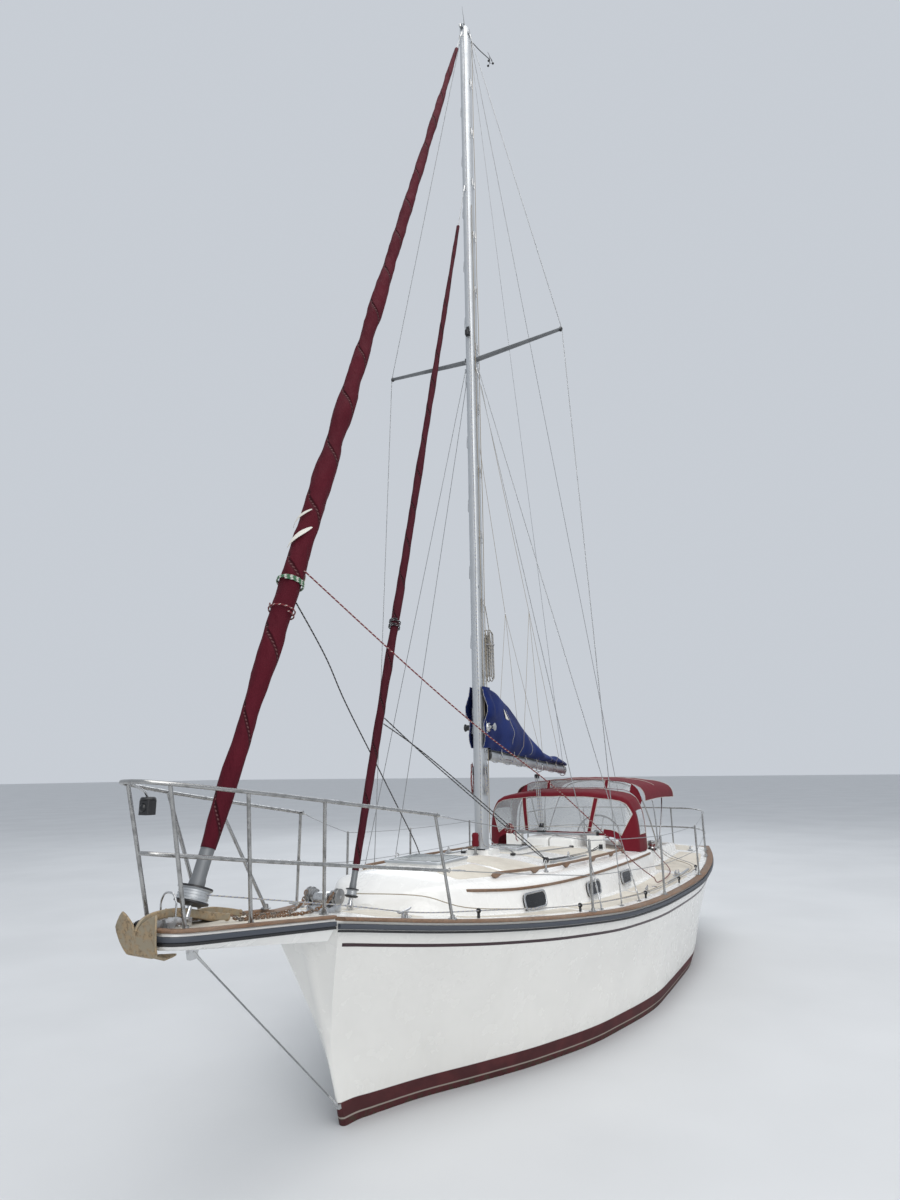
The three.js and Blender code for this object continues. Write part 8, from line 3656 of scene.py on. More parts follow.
@dataclass
class DeckGear:
    """The mainsheet traveller and the sheet winches.

    Attributes:
        drum: A sheet winch's profile: radius and height.
    """

    drum: tuple[tuple[float, float], ...] = (
        (0.055, 0.02), (0.057, 0.028), (0.0445, 0.042), (0.0425, 0.07), (0.044, 0.095), (0.059, 0.11), (0.0595, 0.118),
        (0.05, 0.121), (0.05, 0.129), (0.03, 0.13), (0.022, 0.126), (0.012, 0.126), (0.001, 0.12)
    )

    def traveller(self) -> None:
        """The track across the hood, its car and its ends."""
        section = [
            (5.329, 1.6762), (5.371, 1.6762), (5.371, 1.682), (5.358, 1.684), (5.358, 1.69), (5.371, 1.693),
            (5.371, 1.7), (5.329, 1.7), (5.329, 1.693), (5.342, 1.69), (5.342, 1.684), (5.329, 1.682),
        ]
        form = Form().skin([[at(s, y, z) for s, z in section] for y in (-0.6, 0.6)])
        for k in range(22):
            y = -0.567 + 0.054 * k
            form.lathe([(0.006, 0), (0.005, 0.0022), (0.0001, 0.0022)], at(TRAVELLER_S, y, 1.6995), sides=8, mark=1)
        for side in (1, -1):
            form.block((5.322, 5.378), (side * 0.594, side * 0.62), (1.6762, 1.718), 2)
            form.lathe(disc(0.014, 0.008), at(TRAVELLER_S, side * 0.602, 1.712), AHEAD, 12, 2)
        form.block((5.312, 5.388), (-0.234, -0.126), (1.7015, 1.72), 2)
        form.block((5.33, 5.37), (-0.21, -0.15), (1.72, 1.735), 1)
        for y in (-0.228, -0.132):
            form.lathe(disc(0.013, 0.007), at(TRAVELLER_S, y, 1.723), AHEAD, 12, 1)
        for y in (-0.3, 0.2):
            line = through(
                [
                    at(TRAVELLER_S, -0.23 if y < 0 else -0.13, 1.728),
                    at(5.352, y, 1.716),
                    at(5.352, math.copysign(0.598, y), 1.72),
                ],
                4,
            )
            form.tube(line, 0.003, 6, mark=3)
        Piece(
            "traveller_track",
            [ALLOY, CHROME, BLACK, WHITE_ROPE],
            stands_for=["mainsheet_traveller"],
            smooth=38,
            bevel=0.001,
        ).make(form)

    def winch(self, base: Vector, side: int) -> Form:
        """A sheet winch with its ribbed drum and its jaw."""
        form = Form()
        form.lathe([(0.062, -0.006), (0.062, 0.008), (0.06, 0.021), (0.001, 0.021)], base, sides=32, mark=1)
        form.lathe(self.drum, base, sides=32)
        for k in range(10):
            a = TAU * k / 10
            spot = base + Vector((0.0435 * math.cos(a), 0.0435 * math.sin(a), 0.0))
            form.rod(spot + Vector((0, 0, 0.045)), spot + Vector((0, 0, 0.094)), 0.0017, 5)
        jaw = round_corners([(0.02, -0.012), (0.072, -0.008), (0.072, 0.008), (0.02, 0.012)], 0.006)
        spin = Matrix.Translation(base) @ Matrix.Rotation(math.radians(150 * side), 4, "Z")
        return form.skin([[spin @ Vector((min(x, 0.061), y, z)) for x, y in jaw] for z in (0.122, 0.129)], mark=1)

    def wound(self, base: Vector, side: int) -> Form:
        """Three turns of a sheet round a winch and its tail to the cleat."""
        turns = []
        for k in range(3 * 16 + 1):
            a = TAU * k / 16 * side
            turns.append(base + Vector((0.048 * math.cos(a), 0.048 * math.sin(a), 0.052 + 0.011 * k / 16)))
        tail = [(-0.1, -side * 0.06, 0.075), (-0.22, -side * 0.075, 0.01), (-0.34, -side * 0.045, 0.006)]
        return Form().tube([*turns, *through([turns[-1], *(base + Vector(p) for p in tail)], 6)[1:]], 0.005, 7)

    def winches(self) -> None:
        """The two sheet winches, each with its wound sheet and its cleat."""
        for name, side in SIDES.items():
            base = at(6.95, side * 0.936, coaming_top(6.95) - 0.008)
            Piece(f"{name}_sheet_winch", [CHROME, BLACK], stands_for=[f"{name}_winch"], smooth=40).make(
                self.winch(base, side)
            )
            cleat = Form()
            RoofFittings().cleat(cleat, Vector(), 0.13)
            gear = Form().add(cleat, Matrix.Translation(at(7.22, side * 0.955, coaming_top(7.22) - 0.008)))
            Piece(f"{name}_coaming_cleat", [CHROME], smooth=40).make(gear)
            rope = RED_ROPE if side > 0 else DARK_ROPE
            Piece(f"{name}_winch_turns", [rope], smooth=60).make(self.wound(base, side))

    def build(self) -> None:
        """Makes the traveller and the winches."""
        self.traveller()
        self.winches()


# Dodger and bimini


def seat_z(s: float, y: float) -> float:
    """Height of what the canvas stands on.

    Args:
        s: The place along the boat.
        y: How far it is from the centreline.

    Returns:
        The height of the hood, the roof, the coaming or the deck there.
    """
    y = abs(y)
    half, rail = gunwale(s)
    if s < CABIN_AFT:
        if 5.12 < s < 5.83 and y < 0.345:
            return 1.666
        _, base, edge, edge_z, _ = TRUNK.row(s)
        if y <= edge:
            return roof_z(s, y)
        if y <= base:
            return edge_z + (y - edge) / (base - edge) * (rail - edge_z)
    elif 0.9 <= y <= 0.99:
        return coaming_top(s)
    return deck_z(s, min(y, half - 0.08))


@dataclass
class Canopy:
    """One continuous canvas stretched over hoops, some of its panels clear.

    Attributes:
        name: The name that its pieces start with.
        node: The node of the frame that it replaces.
        rings: Rows of key, s, half width, height of its crown and height of its lower edge.
        arch: The shape of a ring: share of the half width and share of the height.
        places: The columns of one side, as shares of the way along the arch.
        keys: The keys of its rows.
        clear: Whether the panel at a key, a side and a share of the way along the arch is clear.
        across: Lines of pale piping along a row: its key and how far round they go.
        along: Lines of pale piping along the boat: their share of the arch and the keys where they start and end.
        grounded: Whether its lower edge stands on what is under it.
        rests_on: What it is stretched over; not used.
    """

    name: str
    node: str
    rings: Table
    arch: tuple[tuple[float, float], ...]
    places: tuple[float, ...]
    keys: tuple[float, ...]
    clear: Callable[[float, int, float], bool]
    across: tuple[tuple[float, float], ...]
    along: tuple[tuple[float, float, float], ...]
    grounded: bool
    rests_on: str

    def shape(self, share: float) -> tuple[float, float]:
        """The arch at a share of the way from its crown to its lower edge."""
        curve = through(flat(self.arch), 10)
        lengths = lengths_along(curve)
        want = share * lengths[-1]
        return tuple(float(np.interp(want, lengths, [p[k] for p in curve])) for k in (0, 1))

    def point(self, key: float, side: int, share: float, lift: float = 0.0) -> Vector:
        """A point of the canvas, lifted off it a little."""
        _, s, half, top, low = self.rings.row(key)
        y, z = self.shape(share)
        if self.grounded:
            low = max(low, seat_z(s, half) + 0.004)
        height = low + (top - low) * z
        slack = 0.006 * math.sin(5.1 * key + 9 * share) * math.sin(
            math.pi * min(1.0, (key % 1.0))
        ) - 0.004 * math.sin(24 * share)
        level = max(height + slack * z + lift, (seat_z(s, half * y) + 0.004 + lift) if self.grounded else -9.0)
        return at(s, side * (half * y + lift * (1 - z)), level)

    def build(self) -> None:
        """Makes the canvas and its trim."""
        sides = [(-1, u) for u in reversed(self.places[1:])] + [(1, u) for u in self.places]
        rows = [[self.point(key, side, u) for side, u in sides] for key in self.keys]
        form = Form().skin(rows, ring=False)
        count = len(sides) - 1
        for r in range(len(rows) - 1):
            key = (self.keys[r] + self.keys[r + 1]) / 2
            for c in range(count):
                side = -1 if c < len(self.places) - 1 else 1
                share = (sides[c][1] + sides[c + 1][1]) / 2
                if self.clear(key, side, share):
                    form.marks[r * count + c] = 1
        made = mesh_object(self.name, form)
        girth = length_of(rows[len(rows) // 2])
        run = length_of([row[len(sides) // 2] for row in rows])
        thick = made.modifiers.new("thickness", "SOLIDIFY")
        thick.thickness, thick.offset = 0.0022, -1.0
        Piece(self.name, [CANVAS, VINYL], stands_for=[self.node] if self.node else [], smooth=50).finish(applied(made))
        self.trim(sides)

    def trim(self, sides: Sequence[tuple[int, float]]) -> None:
        """The canvas's pale piping, over the columns given by side and share."""
        piping = Form()
        for key, reach in self.across:
            marks = [(side, u) for side, u in sides if u <= reach]
            piping.tube([self.point(key, side, u, 0.002) for side, u in marks], 0.0034, 6)
        for share, start, end in self.along:
            for side in (1, -1):
                piping.tube([self.point(k, side, share, 0.002) for k in spaced(start, end, 14)], 0.0034, 6)
        Piece(f"{self.name}_piping", [PIPING], smooth=60).make(piping)


@dataclass
class Hoops:
    """The bent tubes that a canvas is stretched over.

    Attributes:
        name: The name of the piece.
        node: The node of the frame that it replaces.
        feet_s: Where the tubes are hinged.
        crowns: The middle of each hoop: s and z.
        half: How far out they are hinged.
        shape: A hoop's shape: shares of the half width and of its height over the hinges.
    """

    name: str
    node: str
    feet_s: float
    crowns: tuple[tuple[float, float], ...]
    half: float = 0.925
    shape: tuple[tuple[float, float], ...] = ((1, 0), (0.985, 0.45), (0.93, 0.78), (0.78, 0.93), (0.4, 0.99), (0, 1))

    def build(self) -> None:
        """Makes the hoops, their hinges and their feet."""
        form = Form()
        foot_z = coaming_top(self.feet_s) - 0.018
        for s, z in self.crowns:
            port = [
                at(self.feet_s + (s - self.feet_s) * up, self.half * out, foot_z + (z - foot_z) * up)
                for out, up in self.shape
            ]
            hoop = through(both(port, shared=True), 5)
            form.tube(hoop, 0.0108, 12)
        for side in (1, -1):
            form.block(
                (self.feet_s - 0.047, self.feet_s + 0.047),
                (side * (self.half - 0.013), side * (self.half + 0.013)),
                (foot_z + 0.006, foot_z + 0.014),
            )
            for shift in (-0.018, 0.0, 0.018):
                form.rod(
                    at(self.feet_s + shift, side * (self.half - 0.014), foot_z + 0.02),
                    at(self.feet_s + shift, side * (self.half + 0.014), foot_z + 0.02),
                    0.005,
                    10,
                )
        Piece(self.name, [CHROME], stands_for=[self.node], smooth=40).make(form)


DODGER_PLACES = (
    0, 0.06, 0.12, 0.18, 0.235, 0.262, 0.266, 0.294, 0.298, 0.34, 0.4, 0.46, 0.51, 0.515, 0.545, 0.58, 0.62, 0.66,
    0.665, 0.72, 0.78, 0.84, 0.845, 0.92, 1.0,
)


def dodger_clear(key: float, side: int, share: float) -> bool:
    """The dodger's clear panels: two ahead of the middle strip, their outer neighbours and one at each side."""
    front = 1.04 < key < 1.8 and (share < 0.264 or 0.296 < share < 0.62)
    return (front and not (share > 0.4 and key < 1.15)) or (2.25 < key < 3.72 and 0.62 < share < 0.843)


def bimini_clear(key: float, side: int, share: float) -> bool:
    """The bimini has no clear panels."""
    return False


def bridge_clear(key: float, side: int, share: float) -> bool:
    """The panel between dodger and bimini is clear between its strips."""
    return 0.06 < key < 0.94 and not 0.262 < share < 0.3 and share < 0.53


DODGER = Canopy(
    "dodger_cloth",
    "dodger_canvas",
    Table(
        (
            (0.0, 5.462, 0.893, 1.672, 1.38), (1.0, 5.476, 0.9, 1.705, 1.38), (2.0, 5.66, 1.08, 2.222, 1.38),
            (3.0, 5.935, 1.083, 2.248, 1.38), (4.0, 6.398, 1.0, 2.256, 1.38),
        )
    ),
    ((0, 1), (0.42, 0.985), (0.8, 0.91), (0.93, 0.76), (0.985, 0.48), (1, 0)),
    DODGER_PLACES,
    (
        0.0, 0.5, 1.0, 1.03, 1.05, 1.2, 1.35, 1.5, 1.65, 1.78, 1.81, 1.88, 1.95, 2.0, 2.1, 2.22, 2.27, 2.5, 2.75, 3.0,
        3.25, 3.5, 3.7, 3.75, 3.9, 4.0,
    ),
    dodger_clear,
    ((1.03, 0.4), (1.2, 0.62), (1.8, 0.62), (4.0, 1.0)),
    ((0.264, 1.03, 1.8), (0.296, 1.03, 1.8), (0.62, 1.2, 1.8), (0.843, 2.25, 3.72)),
    True,
    "dodger_hoops",
)
BIMINI = Canopy(
    "bimini_cloth",
    "bimini_canvas",
    Table(((0.0, 6.472, 0.998, 2.391, 2.075), (1.0, 7.4, 0.999, 2.409, 2.09), (2.0, 8.478, 0.998, 2.384, 2.07))),
    ((0, 1), (0.45, 0.95), (0.86, 0.72), (0.985, 0.38), (1, 0)),
    tuple(spaced(0, 1, 15)),
    tuple(spaced(0, 2, 17)),
    bimini_clear,
    ((0.0, 1.0), (1.0, 0.7), (2.0, 1.0)),
    ((1.0, 0.0, 2.0),),
    False,
    "bimini_hoops",
)
BRIDGE = Canopy(
    "dodger_bridge_panel",
    "",
    Table(((0.0, 6.402, 0.93, 2.262, 2.0), (1.0, 6.468, 0.95, 2.388, 2.08))),
    ((0, 1), (0.42, 0.97), (0.8, 0.84), (0.95, 0.5), (1, 0)),
    (0, 0.08, 0.16, 0.24, 0.26, 0.264, 0.298, 0.302, 0.38, 0.46, 0.52, 0.535, 0.6, 0.7, 0.8, 0.9, 1.0),
    (0.0, 0.05, 0.07, 0.3, 0.5, 0.7, 0.93, 0.95, 1.0),
    bridge_clear,
    (),
    ((0.264, 0.05, 0.95), (0.298, 0.05, 0.95)),
    False,
    "dodger_hoops",
)


def build_canvas() -> None:
    """Makes the canvases and their frames."""
    Hoops("dodger_hoops", "dodger_frame", 6.33, ((5.78, 2.209), (6.33, 2.232))).build()
    Hoops("bimini_hoops", "bimini_frame", 7.42, ((6.54, 2.369), (7.42, 2.385), (8.41, 2.362))).build()
    DODGER.build()
    BIMINI.build()
    BRIDGE.build()


# Cockpit


@dataclass
class Cockpit:
    """Locker lids, the sole's grating, the steering pedestal and the wheel."""

    def lids(self) -> None:
        """The locker lids in the seats."""
        for name, side in SIDES.items():
            outline = rounded_box((6.49, 7.93), (0.47, 0.884), 0.03)
            form = Form()
            for inset, (low, high) in ((0.0, (0.9304, 0.95)), (0.006, (0.949, 0.957))):
                ring = [(s + math.copysign(inset, 7.21 - s), y + math.copysign(inset, 0.677 - y)) for s, y in outline]
                form.skin([[at(s, side * y, z) for s, y in ring] for z in (low, high)])
            for fore in (6.53, 7.24):
                pad = rounded_box((fore, fore + 0.65), (0.505, 0.85), 0.04)
                form.skin([[at(s, side * y, z) for s, y in pad] for z in (0.955, 0.9595)], mark=1)
            for s in (6.75, 7.67):
                form.block((s - 0.035, s + 0.035), (side * 0.862, side * 0.883), (0.956, 0.9598), 2)
            form.tube(
                [
                    at(7.16, side * 0.478, 0.958), at(7.17, side * 0.488, 0.9585), at(7.25, side * 0.488, 0.9585),
                    at(7.26, side * 0.478, 0.958),
                ],
                0.0015,
                6,
                mark=2,
            )
            body = Body.PORT_LOCKER if side > 0 else Body.STARBOARD_LOCKER
            Piece(
                f"{name}_seat_lid", [WHITE, DECK_BEIGE, CHROME], body, [f"{name}_locker_lid"], smooth=32, bevel=0.0012
            ).make(form)

    def grating(self) -> None:
        """Teak slats on the sole, fore and aft of the pedestal."""
        form = Form()
        for fore, aft in ((6.46, 7.16), (7.46, 8.06)):
            for k in range(9):
                y = -0.32 + 0.08 * k
                form.block((fore, aft), (y - 0.03, y + 0.03), (0.492, 0.506))
            for s in (fore + 0.06, (fore + aft) / 2, aft - 0.06):
                form.block((s - 0.02, s + 0.02), (-0.35, 0.35), (0.4805, 0.4925))
        Piece("sole_grating", [TEAK], smooth=32, bevel=0.003).make(form)
        hatch = Form()
        for s in (6.43, 8.1):
            for y in (-0.36, 0.36):
                hatch.lathe([(0.03, 0), (0.03, 0.003), (0.001, 0.0025)], at(s, y, 0.4802), sides=16)
        Piece("sole_drains", [CHROME], smooth=40).make(hatch)

    def pedestal(self) -> None:
        """The pedestal with its compass, brake and engine levers."""
        form = Form()
        centre = at(PEDESTAL_S, 0, 0)
        form.lathe([(0.092, 0.4806), (0.0915, 0.5), (0.078, 0.53), (0.072, 0.9), (0.066, 1.37)], centre, sides=32)
        head = rounded_box((7.235, 7.365), (-0.081, 0.081), 0.03)
        rows = []
        for z, grow in ((1.36, 0.9), (1.375, 1.0), (1.5, 1.0), (1.519, 0.88)):
            rows.append([at(7.3 + (s - 7.3) * grow, y * grow, z) for s, y in head])
        form.skin(rows)
        form.lathe([(0.074, 1.5185), (0.074, 1.53), (0.066, 1.536), (0.058, 1.54)], centre, sides=32, mark=1)
        form.lathe(
            [(0.06, 1.532), (0.058, 1.552), (0.047, 1.574), (0.026, 1.589), (0.001, 1.594)], centre, sides=32, mark=3
        )
        form.rod(at(PEDESTAL_S, 0, 1.44), at(7.3895, 0, 1.44), 0.0198, 20, mark=2)
        form.lathe([(0.03, 0), (0.03, 0.006), (0.021, 0.01)], at(7.367, 0, 1.44), ASTERN, 20, mark=2)
        for side in (1, -1):
            form.lathe(
                [(0.016, 0), (0.016, 0.018), (0.001, 0.02)],
                at(PEDESTAL_S, side * 0.08, 1.45),
                Vector((0, side, 0)),
                16,
                mark=2,
            )
            lever = [at(PEDESTAL_S, side * 0.094, 1.45), at(7.285, side * 0.1, 1.5), at(7.272, side * 0.102, 1.552)]
            form.tube(lever, 0.005, 8, mark=2)
            form.ball(lever[-1], 0.013, mark=1, sides=12)
        for k in range(6):
            a = TAU * k / 6
            form.lathe(
                [(0.008, 0), (0.008, 0.005), (0.001, 0.006)],
                centre + Vector((0.083 * math.cos(a), 0.083 * math.sin(a), 0.4985)),
                sides=8,
                mark=2,
            )
        Piece(
            "steering_pedestal_column", [WHITE, BLACK, CHROME, SMOKED], stands_for=["steering_pedestal"], smooth=35
        ).make(form)

    def wheel(self) -> None:
        """The wheel, its rim partly bound with black cord."""
        form = Form()
        centre = at(7.42, 0, 1.44)
        rim = [centre + Vector((0, 0.37 * math.cos(a), 0.37 * math.sin(a))) for a in (TAU * k / 96 for k in range(96))]
        form.tube(rim, 0.0128, 12, closed=True)
        form.lathe(
            [(0.03, -0.03), (0.044, -0.024), (0.044, 0.01), (0.03, 0.022), (0.02, 0.026), (0.001, 0.026)],
            centre,
            ASTERN,
            28,
        )
        for k in range(6):
            a = TAU * (k + 0.25) / 6
            out = Vector((0, math.cos(a), math.sin(a)))
            form.tube(
                [centre + out * 0.03, centre + out * 0.2 + Vector((-0.004, 0, 0)), centre + out * 0.362],
                [0.0085, 0.007, 0.0068],
                10,
            )
        wrap = [
            centre + Vector((0, 0.37 * math.cos(a), 0.37 * math.sin(a)))
            for a in spaced(math.radians(66), math.radians(114), 20)
        ]
        form.tube(wrap, 0.0152, 14, mark=1)
        Piece("steering_wheel_rim", [CHROME, BLACK], Body.WHEEL, ["steering_wheel"], smooth=40).make(form)

    def build(self) -> None:
        """Makes the cockpit's gear."""
        self.lids()
        self.grating()
        self.pedestal()
        self.wheel()


# Under water and below deck


@dataclass
class SteeringGear:
    """The rudder and the propeller."""

    def rudder(self) -> None:
        """The blade as a foil, its stock and its heel pin."""
        lead = [Hull.on_stock(z) for z in spaced(-1.166, -0.3, 16)]
        trail = through(
            [at(8.56, 0, -1.166), at(8.69, 0, -1.14), at(8.85, 0, -0.98), at(9.05, 0, -0.33), at(8.99, 0, -0.235)], 6
        )
        lengths = lengths_along(trail)
        rows = []
        foil = [(0.0, 0.55), (0.03, 0.75), (0.12, 0.97), (0.3, 1.0), (0.6, 0.68), (0.85, 0.32), (1.0, 0.08)]
        for i, tip in enumerate(lead):
            want = lengths[-1] * i / (len(lead) - 1)
            x, z = (float(np.interp(want, lengths, [p[k] for p in trail])) for k in (0, 2))
            end = Vector((x, 0, z))
            port = [tip.lerp(end, u) + Vector((0, 0.0265 * t, 0)) for u, t in foil]
            rows.append(both(port))
        form = Form().skin(rows)
        form.rod(Hull.on_stock(-1.155), Hull.on_stock(0.058), 0.0278, 20, mark=1)
        form.rod(Hull.on_stock(-1.2), Hull.on_stock(-1.14), 0.0118, 16, mark=1)
        Piece("rudder_foil", [ANTIFOULING, BRONZE], Body.RUDDER, ["rudder"], smooth=40).make(form)

    def propeller(self) -> None:
        """The propeller on its shaft, three blades of a bronze casting."""
        form = Form()
        centre = at(8.15, 0, -0.56)
        form.lathe(
            [
                (0.0001, -0.1095), (0.0138, -0.1095), (0.0138, -0.045), (0.034, -0.044), (0.034, 0.01), (0.0275, 0.03),
                (0.0265, 0.038), (0.012, 0.0445), (0.0001, 0.045),
            ],
            centre,
            ASTERN,
            24,
        )
        for blade in range(3):
            turn = Quaternion(ASTERN, TAU * blade / 3)
            rows = []
            for out, chord, thick in (
                (0.02, 0.044, 0.01), (0.055, 0.075, 0.0092), (0.09, 0.096, 0.008), (0.15, 0.092, 0.006),
                (0.185, 0.058, 0.005), (0.2, 0.03, 0.003),
            ):
                twist = Quaternion(UP, math.radians(28 + 26 * (1 - out / 0.2)))
                ring = []
                for k in range(16):
                    a = TAU * k / 16
                    local = Vector((0.5 * thick * math.sin(a), 0.5 * chord * math.cos(a), out))
                    spun = twist.inverted() @ Vector((local.x, local.y, 0))
                    ring.append(centre + turn @ Vector((spun.x, spun.y, out)))
                rows.append(ring)
            form.skin(rows)
        Piece("bronze_propeller", [BRONZE], Body.SCREW, ["propeller"], smooth=45).make(form)

    def build(self) -> None:
        """Makes the rudder and the propeller."""
        self.rudder()
        self.propeller()


@dataclass
class BelowDeck:
    """The engine on its beds and the post under the mast."""

    def engine(self) -> None:
        """A small marine diesel: block, head, sump, pulleys, exhaust and gearbox."""
        form = Form()
        form.block((5.16, 5.56), (-0.14, 0.14), (-0.08, 0.2))
        form.block((5.18, 5.54), (-0.11, 0.11), (0.2, 0.27))
        form.block((5.2, 5.52), (-0.06, 0.06), (0.27, 0.325))
        for s in (5.24, 5.36, 5.48):
            form.lathe([(0.02, 0.0), (0.02, 0.012), (0.001, 0.014)], at(s, 0.0, 0.325), sides=14, mark=1)
        form.skin(
            [
                [at(s, y, z) for s, y in rounded_box((5.18, 5.54), (-w, w), 0.04)]
                for z, w in ((-0.215, 0.07), (-0.2, 0.09), (-0.07, 0.12))
            ]
        )
        form.lathe([(0.001, 0), (0.13, 0), (0.13, 0.05), (0.11, 0.06), (0.001, 0.06)], at(5.56, 0, 0.03), ASTERN, 30)
        form.lathe(
            [(0.1, 0.055), (0.09, 0.12), (0.065, 0.2), (0.05, 0.22), (0.03, 0.23), (0.03, 0.29), (0.001, 0.295)],
            at(5.56, 0, 0.0),
            ASTERN,
            26,
        )
        for y, z, r in ((0.0, -0.02, 0.075), (0.14, 0.15, 0.04), (-0.12, 0.2, 0.05)):
            form.lathe(
                [(0.001, -0.03), (r, -0.03), (0.88 * r, -0.018), (r, -0.006), (0.3 * r, 0.0), (0.3 * r, 0.05)],
                at(5.11, y, z),
                ASTERN,
                22,
                mark=1,
            )
        belt = [
            at(5.128, y, z)
            for y, z in (
                (-0.07, -0.02), (-0.165, 0.19), (-0.12, 0.245), (0.12, 0.188), (0.177, 0.16), (0.075, -0.03),
                (0.0, -0.09),
            )
        ]
        form.tube(through(belt, 4, True), 0.005, 6, mark=1, closed=True)
        for k in range(3):
            s = 5.24 + 0.12 * k
            form.tube(through([at(s, 0.1, 0.22), at(s, 0.17, 0.22), at(s + 0.02, 0.2, 0.16)], 4), 0.018, 10)
        form.tube([at(5.2, 0.2, 0.15), at(5.54, 0.2, 0.15)], 0.03, 14)
        for side in (1, -1):
            for s in (5.2, 5.72):
                form.block((s - 0.03, s + 0.03), (side * 0.13, side * 0.238), (-0.1, -0.085), 1)
                form.lathe(
                    [(0.03, -0.12), (0.034, -0.1), (0.02, -0.06), (0.012, -0.02), (0.001, -0.02)],
                    at(s, side * 0.205, -0.06),
                    sides=16,
                    mark=1,
                )
            form.block((5.062, 5.858), (side * 0.165, side * 0.238), (-0.2193, -0.17))
        Piece("diesel_engine", [GREEN_IRON, BLACK], stands_for=["engine_block"], smooth=35, bevel=0.004).make(form)

    def post(self) -> None:
        """The compression post under the mast, with its shoes."""
        form = Form().lathe(
            [(0.037, -0.2193), (0.038, -0.19), (0.034, -0.185), (0.034, 1.57), (0.038, 1.575), (0.038, 1.6055)],
            at(MAST_S, 0, 0),
            sides=28,
        )
        Piece("compression_post", [ALLOY], stands_for=["mast_post"], smooth=35).make(form)

    def build(self) -> None:
        """Makes what is below deck."""
        self.engine()
        self.post()


# Sheets and lines on deck


def over_deck(s: float, y: float) -> Vector:
    """A point of a sheet that runs along a little over the deck."""
    return at(s, y, deck_z(s, abs(y)) + 0.03)


